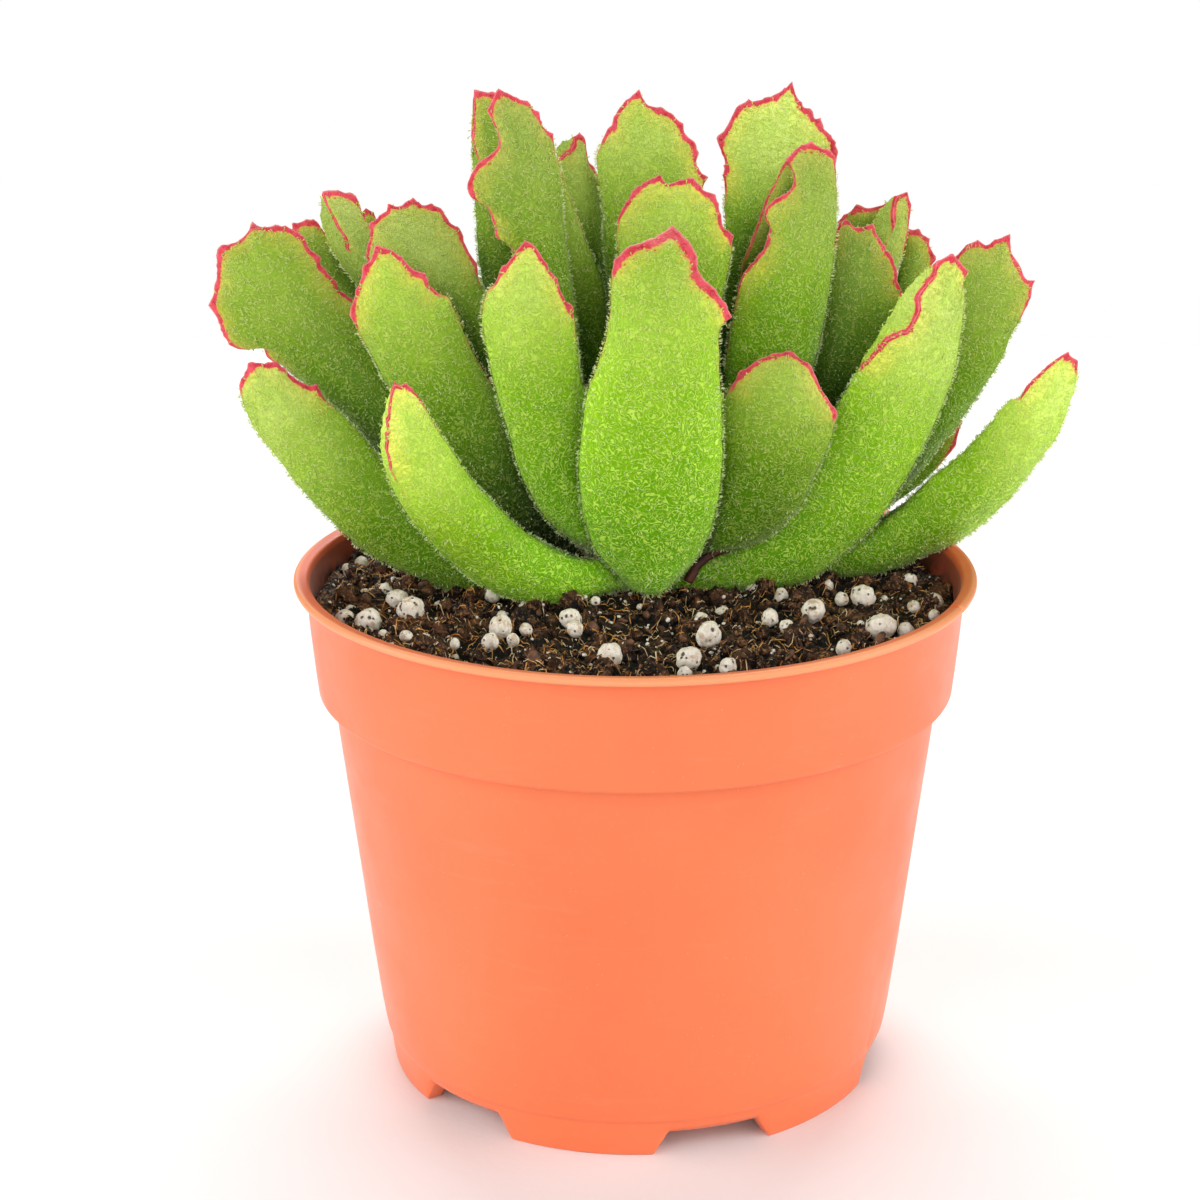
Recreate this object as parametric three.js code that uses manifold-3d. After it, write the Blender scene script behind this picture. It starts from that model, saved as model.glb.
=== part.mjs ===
// Potted succulent: a three-headed rosette plant with thick, toothed leaves in a
// round nursery pot filled with potting mix and perlite.
// Units: millimetres. +Z up. Origin: centre of the pot's footprint on the standing surface.
// +X right, -Y towards the front (the side with the large upright leaf).
import * as THREE from 'three';
import { mergeVertices } from 'three/addons/utils/BufferGeometryUtils.js';
import Module from 'manifold-3d';

const wasm = await Module();
wasm.setup();

// ---------------------------------------------------------------- driving dimensions
const RIM_R = 52.5;        // outer radius of the rolled lip (pot is sold as 10.5 cm)
const RIM_H = 80.3;        // height of the pot
const LIP_DROP = 1.05;     // depth of the lip below the rim plane
const BAND_TOP_R = 50.67;  // collar radius right under the lip
const BAND_LOW_R = 49.15;  // collar radius at its lower edge
const BAND_LOW_Z = 62.4;   // height of the collar's lower edge
const WALL_TOP_R = 47.0;   // wall radius just under the collar
const WALL_LOW_R = 39.75;  // wall radius just above the foot line
const FOOT_LINE_Z = 5.6;   // fine moulded line above the feet
const FOOT_R = 38.97;      // outer radius of the foot ring at the standing surface
const FOOT_IN_R = 36.4;    // inner radius of the foot ring
const FOOT_H = 3.7;        // height of the gaps between the feet
const FOOT_COUNT = 6;
const FOOT_TOP_DEG = 40;   // angular width of one foot where it meets the wall
const FOOT_LOW_DEG = 32;   // angular width of one foot at the standing surface
const FOOT_PHASE = -12.3;  // first foot, degrees from the front towards +X
const WALL_T = 1.0;        // wall thickness
const FLOOR_Z = 3.85;      // underside of the pot floor
const FLOOR_T = 1.2;       // floor thickness
const DRAIN_R = 3.4;       // drain hole radius
const DRAIN_RING_R = 29.5; // drain hole circle
const POT_SEG = 66;
const SOIL_SEG = 40;
const SOIL_GAP = 0.35;     // clearance between mix and wall
const SOIL_Z = 74.8;       // mean level of the mix
const GAP = 0.3;           // clearance kept between neighbouring solids

// ---------------------------------------------------------------- colours
const POT_ORANGE = 0xe9774a, SOIL_BROWN = 0x2c1c12, PERLITE_WHITE = 0xe4dfd4;
const LEAF_GREEN = 0x7fae2b, LEAF_PALE = 0x9dbf45, LEAF_DEEP = 0x5f9422, STEM_GREEN = 0x56782a, STEM_DRY = 0x5a3222;

// ---------------------------------------------------------------- leaf table
// L / R: the two margins of a leaf from base to tip, x y z in mm (fourth value 1 = tooth).
// outer / inner: swelling of the two faces over the plane of the margins. cup: bend of the
// blade out of that plane. side: 1 when the outer (lower) face is the one seen from the front.
const LEAVES = [
  { name: 'leaf_01', outer: 4.2, inner: 2.2, cup: 0.8, side: 1,
    L: [[1.97,4.00,75.00],[-0.99,1.75,76.38],[-3.59,-0.96,80.31],[-6.30,-3.59,84.48],[-7.88,-6.58,90.88],[-8.38,-9.35,98.33],[-7.86,-11.14,104.61],[-7.08,-12.24,110.17],[-5.59,-12.77,114.63],[-4.11,-12.89,119.25],[-3.52,-12.47,124.61],[-3.37,-11.82,128.28],[-2.94,-11.42,129.96,1],[-0.78,-10.59,131.84],[1.83,-9.68,132.55],[3.57,-8.96,133.15],[5.31,-8.00,134.43,1]],
    R: [[4.16,4.00,75.17],[6.45,1.50,78.25],[9.30,-1.48,82.23],[11.19,-4.07,86.68],[12.28,-6.61,91.99],[12.78,-8.49,96.55],[12.79,-10.65,103.12],[12.54,-12.10,109.38],[12.17,-12.82,115.53],[12.27,-12.85,120.28],[13.99,-12.68,121.86,1],[12.82,-12.33,124.29],[11.52,-11.95,125.82],[9.20,-11.17,127.86],[8.77,-10.20,130.75],[7.19,-9.18,132.75],[5.31,-8.00,134.43,1]] },
  { name: 'leaf_02', outer: 3.6, inner: 1.8, cup: 0, side: 1,
    L: [[-5.36,5.00,80.09],[-8.58,3.26,82.73],[-11.32,1.87,84.92],[-14.16,0.24,88.44],[-17.19,-2.10,95.11],[-19.11,-4.23,102.84],[-20.59,-5.63,109.03],[-21.64,-6.59,114.41],[-22.41,-7.22,118.91],[-22.42,-7.53,121.81],[-21.70,-7.74,124.39],[-20.35,-7.89,126.34],[-19.44,-7.97,128.12,1],[-18.55,-8.00,129.16],[-16.92,-8.02,131.13],[-16.04,-8.00,132.14,1]],
    R: [[-2.71,5.00,80.09],[-2.84,2.93,85.09],[-4.03,0.15,92.28],[-5.64,-2.51,100.07],[-7.22,-4.66,107.57],[-8.23,-5.53,111.13],[-8.63,-6.41,115.58],[-8.88,-7.04,119.47],[-9.29,-7.40,122.23,1],[-10.31,-7.57,123.46],[-11.16,-7.79,125.87],[-12.88,-7.96,128.56],[-13.88,-8.01,130.13],[-15.02,-8.02,131.80],[-16.04,-8.00,132.14,1]] },
  { name: 'leaf_03', outer: 3.6, inner: 2, cup: 0.5, side: 1,
    L: [[9.18,7.00,80.95],[9.91,1.09,90.43],[11.53,-3.55,101.12],[13.23,-4.91,107.63],[14.83,-5.03,110.71],[15.71,-4.94,111.99,1],[18.98,-4.30,114.04],[21.23,-3.65,114.50],[23.05,-3.00,114.66,1]],
    R: [[12.00,7.00,80.62],[16.10,3.95,82.03],[20.27,1.12,84.50],[22.75,-0.63,87.26],[25.19,-2.29,90.75],[27.11,-3.90,96.08],[28.63,-4.65,99.86],[29.59,-4.98,103.03],[30.12,-5.04,105.97,1],[28.28,-4.85,108.53],[26.16,-4.09,112.55],[23.05,-3.00,114.66,1]] },
  { name: 'leaf_04', outer: 3.8, inner: 3.4, cup: 0, side: 1,
    L: [[2.30,7.00,73.88],[-1.31,4.66,75.12],[-7.50,0.92,74.85],[-11.63,-1.43,74.48],[-16.00,-3.72,75.54],[-20.32,-5.91,77.46],[-24.98,-8.33,81.02],[-28.82,-10.45,85.30],[-32.02,-12.24,89.65],[-34.33,-13.60,93.60],[-36.91,-15.50,100.60],[-37.16,-16.32,104.44],[-36.40,-17.07,108.36],[-35.42,-17.61,111.62],[-34.68,-17.89,113.45,1],[-33.88,-18.00,112.89]],
    R: [[3.08,7.00,77.67],[-1.15,4.20,79.52],[-5.16,1.62,80.64],[-8.67,-0.57,81.64],[-12.94,-3.32,84.23],[-17.13,-6.12,87.84],[-21.27,-9.13,92.86],[-24.48,-11.49,97.38],[-27.32,-13.81,102.73],[-29.33,-15.33,106.58],[-30.63,-16.41,109.69],[-31.68,-17.09,111.64],[-32.95,-17.68,113.17,1],[-33.88,-18.00,112.89]] },
  { name: 'leaf_05', outer: 3.8, inner: 4.2, cup: 0, side: 1,
    L: [[5.12,7.00,78.16],[10.12,6.75,79.71],[15.56,6.38,82.44],[23.17,5.44,90.80],[28.31,4.17,99.75],[30.87,2.99,104.92],[32.41,2.25,107.91],[33.50,1.45,110.58,1],[34.70,0.51,113.41],[36.33,-0.59,116.41],[37.99,-1.01,119.70],[39.94,-1.40,123.18],[41.97,-1.13,125.53],[43.75,-0.66,127.02],[44.94,-0.38,127.79],[46.74,0.00,128.62,1]],
    R: [[5.76,7.00,74.37],[10.17,7.02,74.03],[13.63,7.02,74.04],[18.50,6.98,74.38],[23.84,6.88,74.74],[28.35,6.75,76.59],[32.79,6.54,80.43],[37.62,6.20,85.58],[41.35,6.36,91.67],[44.29,6.54,97.07],[46.63,7.11,102.48],[48.61,7.81,107.84],[49.35,7.18,112.53],[49.69,6.38,117.06],[49.69,5.02,121.04],[49.34,3.12,124.47],[49.77,2.44,125.54,1],[47.50,0.48,128.30],[46.74,0.00,128.62,1]] },
  { name: 'leaf_06', outer: 3.4, inner: 1.8, cup: 0, side: 1,
    L: [[-10.92,8.00,76.70],[-17.24,6.40,81.62],[-24.82,4.49,88.66],[-31.39,2.48,98.77],[-35.41,1.34,105.17],[-37.94,0.61,109.69],[-39.86,-0.02,113.99],[-41.39,-0.43,116.83],[-42.46,-0.77,119.49,1],[-42.33,-0.93,120.89],[-41.76,-1.19,123.21],[-40.72,-1.43,125.22],[-40.36,-1.61,126.90,1],[-38.79,-1.86,128.89],[-38.29,-2.00,130.26,1]],
    R: [[-6.82,8.00,78.34],[-9.91,6.97,82.26],[-12.34,5.90,87.12],[-14.41,4.75,92.92],[-16.77,3.65,98.62],[-19.40,2.64,103.91],[-22.02,1.76,108.65],[-24.17,1.02,112.99],[-25.72,0.44,116.64],[-26.97,-0.05,119.95],[-28.09,-0.39,122.29],[-29.11,-0.54,122.78],[-30.55,-0.81,124.34],[-31.23,-1.03,126.04,1],[-32.84,-1.24,126.53],[-34.12,-1.46,127.92],[-35.54,-1.69,129.45],[-38.29,-2.00,130.26,1]] },
  { name: 'leaf_07', outer: 3.6, inner: 3, cup: 0, side: 1,
    L: [[-11.89,8.00,73.72],[-18.16,7.04,73.37],[-25.33,6.07,74.06],[-29.84,5.52,74.71],[-32.75,5.17,76.11],[-37.19,4.67,78.39],[-42.04,4.18,81.39],[-45.76,3.81,84.91],[-50.33,3.42,90.09],[-55.09,3.10,96.86],[-58.53,2.98,101.94],[-60.13,2.96,106.96],[-59.95,2.97,108.98,1],[-58.91,2.99,110.53],[-58.57,3.00,111.35,1]],
    R: [[-11.07,8.00,77.85],[-18.04,6.70,81.53],[-27.22,5.24,86.83],[-34.75,4.23,92.74],[-38.63,3.82,95.72],[-41.85,3.46,99.93],[-44.33,3.27,102.81],[-47.12,3.11,105.67],[-48.40,3.04,107.87,1],[-49.91,3.01,108.04],[-51.69,2.98,108.98],[-53.00,2.96,110.38],[-54.38,2.96,111.84,1],[-55.99,2.97,111.46],[-57.35,2.98,111.62],[-58.57,3.00,111.35,1]] },
  { name: 'leaf_08', outer: 3.8, inner: 3.6, cup: 0, side: 1,
    L: [[21.38,12.50,77.95],[30.75,10.95,80.24],[37.63,9.52,84.28],[41.39,8.62,86.99],[45.04,7.48,91.20],[50.12,5.91,96.12],[54.23,3.60,101.79],[56.60,2.01,105.63],[58.42,1.19,106.76],[58.89,0.67,108.13],[60.25,0.85,109.71],[62.12,1.09,111.43],[64.05,1.29,112.77,1],[65.24,1.40,113.41,1]],
    R: [[22.27,13.00,73.79],[33.39,12.61,74.42],[37.02,12.29,74.85],[39.99,11.98,75.62],[45.38,11.24,78.34],[51.18,10.25,81.28],[57.63,8.60,87.65],[61.93,6.92,94.25],[65.12,5.31,100.09],[66.64,3.46,106.99],[67.09,2.55,110.16],[66.72,2.07,111.83,1],[65.24,1.40,113.41,1]] },
  { name: 'leaf_09', outer: 3, inner: 1.6, cup: 0, side: 1,
    L: [[-15.10,13.00,83.76],[-22.67,10.14,95.96],[-28.59,8.58,105.92],[-33.72,7.85,113.94],[-37.35,7.67,120.19],[-39.82,7.73,124.49],[-40.80,7.85,127.37],[-40.38,7.95,129.19],[-40.09,8.14,131.89,1],[-37.79,8.39,133.73],[-37.32,8.51,134.75,1],[-35.54,8.71,134.30],[-33.59,9.00,135.59,1]],
    R: [[-11.92,13.00,85.41],[-14.11,10.60,95.84],[-17.77,8.65,107.48],[-20.69,7.89,115.49],[-22.74,7.69,120.49],[-23.61,7.67,122.65],[-24.01,7.71,125.87,1],[-25.40,7.81,127.99],[-26.58,8.01,131.00],[-28.00,8.17,132.19],[-29.33,8.40,134.04],[-30.58,8.56,134.62,1],[-32.45,8.80,134.81],[-33.59,9.00,135.59,1]] },
  { name: 'leaf_10', outer: 3.6, inner: 1.8, cup: 0, side: 1,
    L: [[-18.37,12.00,73.28],[-29.29,11.45,81.74],[-38.47,11.43,92.38],[-45.30,11.78,100.36],[-50.31,12.19,105.06],[-54.43,12.61,108.46],[-57.19,12.90,110.14],[-58.08,13.09,111.84],[-60.31,13.32,111.15],[-63.12,13.64,111.87],[-64.30,13.95,114.18],[-64.66,14.14,115.59],[-66.03,14.50,117.92,1],[-65.00,14.98,121.19],[-64.69,15.41,123.98],[-64.51,15.78,126.30,1],[-63.52,15.99,127.10,1],[-61.53,16.34,127.66],[-59.66,16.80,129.44],[-59.06,17.00,130.35,1]],
    R: [[-14.35,12.00,76.61],[-21.33,11.47,85.85],[-27.43,11.41,95.62],[-33.50,11.79,104.36],[-37.24,12.36,111.37],[-40.71,12.96,116.28],[-43.76,13.46,119.16],[-45.44,13.74,120.35],[-46.19,13.98,121.87],[-47.56,14.26,123.22],[-48.47,14.50,124.42],[-48.45,14.68,125.55,1],[-49.88,14.96,126.45],[-51.04,15.38,128.51],[-52.92,15.79,129.74],[-55.55,16.29,130.12,1],[-57.62,16.69,129.92],[-59.06,17.00,130.35,1]] },
  { name: 'leaf_11', outer: 4, inner: 1.8, cup: 0, side: 1,
    L: [[-9.06,13.00,87.05],[-13.49,7.68,101.39],[-16.70,3.89,116.36],[-17.87,2.30,125.84],[-18.83,1.79,130.01],[-20.60,1.60,130.79],[-21.15,1.41,133.07],[-22.14,1.25,135.48],[-24.32,1.14,136.99],[-24.89,1.10,138.18,1],[-24.71,1.08,139.51],[-23.79,1.07,141.34],[-21.33,1.12,143.34],[-20.05,1.20,145.23],[-20.90,1.35,147.84],[-21.83,1.52,149.71,1],[-20.05,2.00,152.85,1]],
    R: [[-5.59,13.00,87.05],[-7.38,11.23,100.50],[-8.96,9.08,113.67],[-9.92,7.48,123.31],[-11.02,5.88,132.89],[-11.10,5.03,138.14],[-11.36,4.61,140.74],[-11.92,4.17,143.47],[-12.18,3.79,145.89,1],[-13.42,3.54,146.95],[-14.24,3.20,148.96,1],[-15.21,2.97,150.10],[-15.57,2.88,150.60],[-17.89,2.48,151.57],[-20.05,2.00,152.85,1]] },
  { name: 'leaf_12', outer: 4.2, inner: 1.8, cup: 0, side: 1,
    L: [[17.83,14.00,86.76],[14.29,10.63,97.44],[13.98,8.70,105.89],[14.17,7.39,113.26],[15.27,6.47,120.43],[16.12,6.12,124.34],[17.01,6.02,125.58],[18.93,5.87,127.89],[19.95,5.81,130.26,1],[20.08,5.79,131.70],[19.23,5.80,133.36],[19.58,5.82,134.86],[20.62,5.86,135.61],[22.95,5.98,137.16],[23.87,6.09,138.72,1],[23.40,6.24,140.54],[22.49,6.37,141.73,1],[23.08,6.48,142.53],[24.41,6.69,143.69],[26.32,7.00,144.09,1]],
    R: [[21.64,14.00,86.76],[24.53,12.88,98.47],[27.51,11.48,109.20],[29.12,10.42,117.29],[29.95,9.46,124.92],[30.35,8.68,131.49],[30.34,8.07,136.89],[29.93,7.71,140.26],[29.73,7.52,142.08],[29.03,7.40,142.93,1],[26.32,7.00,144.09,1]] },
  { name: 'leaf_13', outer: 3.2, inner: 1.6, cup: 0, side: 1,
    L: [[5.15,12.00,84.05],[1.96,9.17,96.21],[-0.52,6.98,107.88],[-2.18,5.41,119.11],[-2.46,4.65,126.91],[-2.66,4.24,133.18],[-1.64,4.14,135.22],[-0.50,4.06,137.47,1],[1.58,4.01,138.90],[3.66,4.00,139.94,1]],
    R: [[8.94,12.00,84.05],[10.06,9.42,96.15],[11.46,7.34,107.79],[12.56,5.95,117.46],[13.68,5.23,123.75],[14.37,4.80,128.40],[14.55,4.63,130.47,1],[12.97,4.45,132.58],[12.42,4.29,135.42],[11.72,4.22,136.84,1],[10.00,4.14,137.83],[8.62,4.07,139.44,1],[6.64,4.03,139.04],[4.56,4.01,138.68],[3.66,4.00,139.94,1]] },
  { name: 'leaf_14', outer: 3.2, inner: 1.8, cup: 0, side: 1,
    L: [[26.34,16.00,78.72],[31.74,15.71,86.28],[37.01,15.36,96.21],[41.00,15.07,104.37],[44.62,14.78,112.41],[47.30,14.53,119.57],[48.38,14.40,123.50],[49.37,14.32,125.62],[50.75,14.25,127.29],[52.59,14.18,128.25,1],[53.78,14.14,127.55],[55.53,14.07,128.46],[57.46,14.00,129.12,1]],
    R: [[28.80,16.00,75.87],[35.85,15.74,81.30],[42.78,15.44,88.50],[47.91,15.19,95.28],[51.20,15.02,99.54],[54.77,14.82,105.23],[56.98,14.68,109.16],[58.41,14.55,113.10],[59.83,14.46,115.96],[60.94,14.37,118.50],[61.59,14.27,121.81,1],[60.61,14.24,122.05],[59.35,14.17,124.02],[57.80,14.07,126.83],[57.46,14.00,129.12,1]] },
  { name: 'leaf_15', outer: 2.6, inner: 1.6, cup: 0, side: -1,
    L: [[21.54,18.00,84.80],[24.15,16.70,95.86],[26.30,16.09,105.73],[27.73,16.00,112.14],[29.01,16.16,118.45],[30.15,16.55,124.65],[30.87,16.85,127.72],[31.11,17.14,130.31,1],[32.78,17.35,130.65],[34.01,17.57,129.46],[35.38,17.77,129.73],[36.87,18.00,130.07,1]],
    R: [[24.76,18.00,83.97],[30.04,16.65,94.24],[34.97,16.04,104.13],[38.98,16.08,112.13],[41.52,16.35,116.83],[41.67,16.55,119.47],[40.69,16.74,121.32,1],[40.77,16.88,122.74],[40.03,17.11,124.61],[38.33,17.50,127.16],[37.26,17.79,128.80],[36.87,18.00,130.07,1]] },
  { name: 'leaf_16', outer: 3.4, inner: 1.6, cup: -1.2, side: -1,
    L: [[15.91,19.00,90.32],[13.71,18.67,101.88],[13.13,18.66,113.16],[13.68,18.84,121.07],[14.09,19.11,127.31],[14.00,19.26,130.17],[13.80,19.39,132.28],[13.79,19.58,135.02],[13.54,19.75,137.31],[13.75,19.84,138.38,1],[13.57,19.98,140.05],[12.85,20.14,141.72],[12.67,20.24,142.78,1],[13.95,20.47,144.74],[15.11,20.71,146.77],[16.35,20.92,148.15],[17.47,21.06,148.74,1],[18.09,21.15,148.38],[20.40,21.43,149.04],[22.55,21.74,150.07],[24.11,22.00,151.24,1]],
    R: [[19.91,19.00,90.32],[24.47,18.65,101.88],[28.20,18.70,113.15],[30.33,19.10,124.17],[30.79,19.70,133.44],[30.70,20.12,138.33],[31.21,20.34,140.46,1],[30.73,20.56,142.58],[29.93,20.69,143.48],[28.76,20.90,144.83],[28.48,21.02,145.89,1],[27.78,21.11,145.85],[27.32,21.25,146.93,1],[25.90,21.46,147.72],[24.48,21.83,150.06],[24.11,22.00,151.24,1]] },
  { name: 'leaf_17', outer: 3.2, inner: 1.6, cup: 0, side: 1,
    L: [[4.73,17.00,85.91],[1.52,16.76,99.10],[-2.09,16.85,113.55],[-4.10,17.05,121.42],[-4.71,17.23,126.09],[-4.85,17.44,130.88],[-5.22,17.63,134.41],[-5.75,17.80,137.16],[-5.90,17.93,139.13,1],[-5.89,18.03,140.65],[-4.35,18.31,144.13],[-3.43,18.41,145.03,1],[-2.90,18.59,147.28],[-0.44,18.89,149.71],[0.62,19.00,150.23,1]],
    R: [[8.71,17.00,85.91],[9.39,16.75,102.35],[10.07,16.91,118.29],[10.30,17.27,129.20],[10.34,17.58,135.65],[11.02,17.68,137.18,1],[9.52,17.82,139.15],[9.61,17.94,141.02,1],[8.88,18.06,142.64],[7.61,18.18,143.84],[7.29,18.30,145.35,1],[5.91,18.44,146.70],[3.77,18.63,147.73,1],[1.63,18.82,148.47],[0.62,19.00,150.23,1]] },
  { name: 'leaf_18', outer: 2.4, inner: 2, cup: 0, side: -1,
    L: [[-12.88,19.00,85.35],[-16.97,16.77,97.47],[-20.86,15.23,107.53],[-22.58,14.45,114.07],[-23.51,13.78,121.28],[-24.22,13.34,127.58],[-24.41,13.07,133.02],[-24.61,12.92,138.39],[-24.68,12.88,142.18],[-24.84,12.89,145.95],[-24.48,12.94,148.94],[-24.24,13.00,151.06,1]],
    R: [[-8.88,19.00,85.35],[-12.55,16.87,97.45],[-15.63,14.85,112.40],[-16.95,13.55,126.77],[-17.27,13.07,136.08],[-17.79,12.91,142.18],[-18.93,12.88,147.00],[-20.54,12.91,150.29],[-22.19,12.95,150.95],[-24.24,13.00,151.06,1]] },
  { name: 'leaf_19', outer: 1.8, inner: 1.4, cup: 0, side: 1,
    L: [[-6.90,16.00,86.20],[-9.93,14.54,102.89],[-11.65,13.83,118.93],[-12.64,13.76,128.28],[-12.75,13.83,133.66],[-12.10,13.93,137.16],[-11.18,14.00,138.67,1]],
    R: [[-3.72,16.00,86.20],[-4.29,14.57,102.88],[-4.85,13.82,119.95],[-5.30,13.78,122.38],[-6.21,13.76,124.79],[-7.12,13.75,126.73],[-8.18,13.77,129.67],[-9.16,13.81,132.59],[-10.29,13.89,135.64],[-11.18,14.00,138.67,1]] },
  { name: 'leaf_20', outer: 2.2, inner: 1.6, cup: 0, side: 1,
    L: [[-5.05,22.00,87.84],[-7.97,21.04,109.42],[-10.69,21.11,125.37],[-12.09,21.47,136.26],[-12.30,21.61,139.34],[-12.19,21.71,141.23,1],[-11.20,21.78,142.17],[-9.65,21.89,142.80],[-8.64,22.00,143.51,1]],
    R: [[-1.83,22.00,87.84],[-2.92,22.97,108.99],[-4.15,22.91,123.45],[-4.91,22.74,129.80],[-5.51,22.49,136.10],[-6.46,22.39,138.04],[-7.17,22.33,138.95],[-7.77,22.13,142.35,1],[-8.64,22.00,143.51,1]] },
  { name: 'leaf_21', outer: 1.4, inner: 1, cup: 0, side: -1,
    L: [[18.52,18.00,95.52],[16.95,15.21,110.73],[16.18,14.08,118.87],[16.25,13.52,123.98],[17.19,13.24,126.83],[18.89,12.87,131.64],[20.05,12.67,135.18],[21.52,12.56,137.84],[22.25,12.52,139.57],[22.83,12.50,140.73,1]],
    R: [[21.69,18.00,95.52],[24.12,15.17,110.74],[25.42,13.86,120.49],[26.11,12.98,129.96],[25.98,12.68,135.38],[24.84,12.55,138.90],[22.83,12.50,140.73,1]] },
  { name: 'leaf_22', outer: 2.2, inner: 1.6, cup: 0, side: 1,
    L: [[26.58,22.00,84.49],[29.52,21.88,97.81],[32.14,22.47,110.72],[34.18,23.20,120.21],[35.49,23.71,125.68],[36.93,24.08,129.09],[38.39,24.33,130.94],[39.99,24.59,132.63,1],[41.33,24.79,133.54],[42.65,25.00,133.79,1]],
    R: [[29.49,22.00,84.49],[34.53,24.46,97.16],[39.04,25.62,111.65],[41.84,25.66,122.76],[42.39,25.62,124.21],[43.01,25.50,127.16],[43.28,25.37,129.66],[43.32,25.22,131.73,1],[42.65,25.00,133.79,1]] },
  { name: 'leaf_23', outer: 2.2, inner: 1.6, cup: 0, side: -1,
    L: [[-16.93,20.00,85.06],[-24.86,21.27,94.67],[-34.33,22.66,104.18],[-42.17,23.81,112.04],[-49.19,24.84,119.08],[-52.27,25.37,122.98],[-54.09,25.75,126.10],[-54.09,26.00,128.53,1]],
    R: [[-14.50,20.00,86.73],[-20.03,21.10,96.37],[-29.18,22.44,106.19],[-36.53,23.52,114.04],[-41.69,24.24,118.88],[-45.54,24.88,123.87],[-48.80,25.35,127.12],[-50.03,25.57,128.85],[-50.75,25.66,129.45,1],[-52.40,25.83,129.10],[-54.09,26.00,128.53,1]] },
  { name: 'leaf_24', outer: 2.2, inner: 1.6, cup: 0, side: -1,
    L: [[-16.85,19.00,88.67],[-24.95,18.75,99.91],[-32.97,18.92,109.58],[-40.81,19.39,117.47],[-44.62,19.75,121.68],[-46.43,19.99,124.32],[-48.23,20.29,127.41],[-48.97,20.55,130.03],[-48.91,20.79,132.48],[-48.49,21.00,134.44,1]],
    R: [[-14.43,19.00,90.32],[-19.85,18.76,101.86],[-27.54,18.90,113.11],[-34.44,19.32,120.97],[-38.23,19.72,126.41],[-42.00,20.12,130.05],[-42.89,20.38,132.86],[-43.35,20.48,133.92,1],[-44.60,20.61,134.38],[-46.16,20.76,134.71],[-48.49,21.00,134.44,1]] },
  { name: 'leaf_25', outer: 1.8, inner: 1.4, cup: 0, side: -1,
    L: [[-14.61,24.00,88.96],[-21.72,24.39,100.48],[-29.55,25.08,111.77],[-35.77,25.77,119.70],[-39.65,26.28,124.41],[-42.27,26.67,127.84],[-43.17,26.91,130.18],[-42.64,27.00,130.91,1]],
    R: [[-12.17,24.00,90.64],[-16.89,24.34,102.14],[-23.16,24.87,111.81],[-31.00,25.57,119.74],[-35.68,26.08,124.44],[-39.60,26.48,126.76],[-41.29,26.74,129.10],[-41.32,26.86,130.33,1],[-42.64,27.00,130.91,1]] },
  { name: 'leaf_26', outer: 2, inner: 1.4, cup: 0, side: -1,
    L: [[24.36,26.00,85.05],[27.54,28.32,96.19],[29.82,30.08,109.04],[31.23,30.88,120.32],[32.41,31.04,128.14],[34.80,31.01,130.12,1],[35.26,31.00,130.71,1]],
    R: [[26.80,26.00,85.05],[31.91,28.19,96.23],[36.26,29.88,109.09],[38.96,30.65,118.74],[40.27,30.91,124.35],[40.48,31.01,128.36],[40.55,31.04,131.39],[38.93,31.04,130.59],[37.00,31.03,130.34],[35.26,31.00,130.71,1]] },
  { name: 'leaf_27', outer: 2, inner: 1.4, cup: 0, side: -1,
    L: [[30.02,25.00,83.64],[34.21,28.04,94.59],[38.30,30.05,105.75],[41.01,30.94,115.42],[42.61,31.12,121.57],[43.07,31.11,124.80],[43.65,31.06,126.74,1],[45.16,31.00,126.80,1]],
    R: [[32.48,25.00,82.80],[37.80,28.20,94.55],[42.19,30.11,105.74],[44.60,30.86,113.80],[45.90,31.08,118.98],[47.09,31.12,120.46],[48.21,31.12,121.92,1],[47.11,31.10,124.16],[47.04,31.08,125.18,1],[45.92,31.04,126.17],[45.16,31.00,126.80,1]] },
  { name: 'leaf_28', outer: 3.2, inner: 1.7, cup: 0.4, side: 1,
    L: [[-18.28,16.35,82.00],[-22.86,17.94,84.03],[-29.95,20.43,87.69],[-36.61,22.25,91.95],[-42.30,23.49,96.78],[-45.97,25.38,101.98,1],[-47.13,26.56,104.89],[-47.29,27.86,106.66,1],[-47.09,29.62,108.54],[-46.75,30.97,109.80],[-46.00,33.00,111.00,1]],
    R: [[-15.72,21.65,82.00],[-19.82,24.25,84.03],[-26.17,28.25,87.69],[-32.21,32.56,92.33],[-36.43,35.92,96.90],[-40.15,37.82,102.26,1],[-41.77,37.73,104.97],[-42.68,37.62,106.91,1],[-44.04,35.91,108.51],[-45.03,34.84,110.54],[-46.00,33.00,111.00,1]] },
  { name: 'leaf_29', outer: 3.2, inner: 1.7, cup: 0.4, side: 1,
    L: [[-16.13,21.97,84.00],[-19.70,24.90,85.95],[-25.18,29.43,89.50],[-30.88,33.57,94.04],[-35.26,36.51,98.70],[-37.56,39.02,103.14,1],[-38.00,40.81,106.15],[-38.23,41.58,107.98,1],[-37.13,43.28,109.54],[-36.33,44.50,111.02],[-35.00,46.00,112.00,1]],
    R: [[-11.87,26.03,84.00],[-14.64,29.74,85.95],[-18.90,35.42,89.50],[-22.76,41.29,94.02],[-25.16,45.62,98.29],[-27.65,48.60,103.29,1],[-29.51,48.95,106.23],[-30.49,48.79,107.63,1],[-32.07,48.10,109.52],[-33.44,47.34,111.31],[-35.00,46.00,112.00,1]] },
  { name: 'leaf_30', outer: 3.2, inner: 1.7, cup: 0.4, side: 1,
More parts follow.
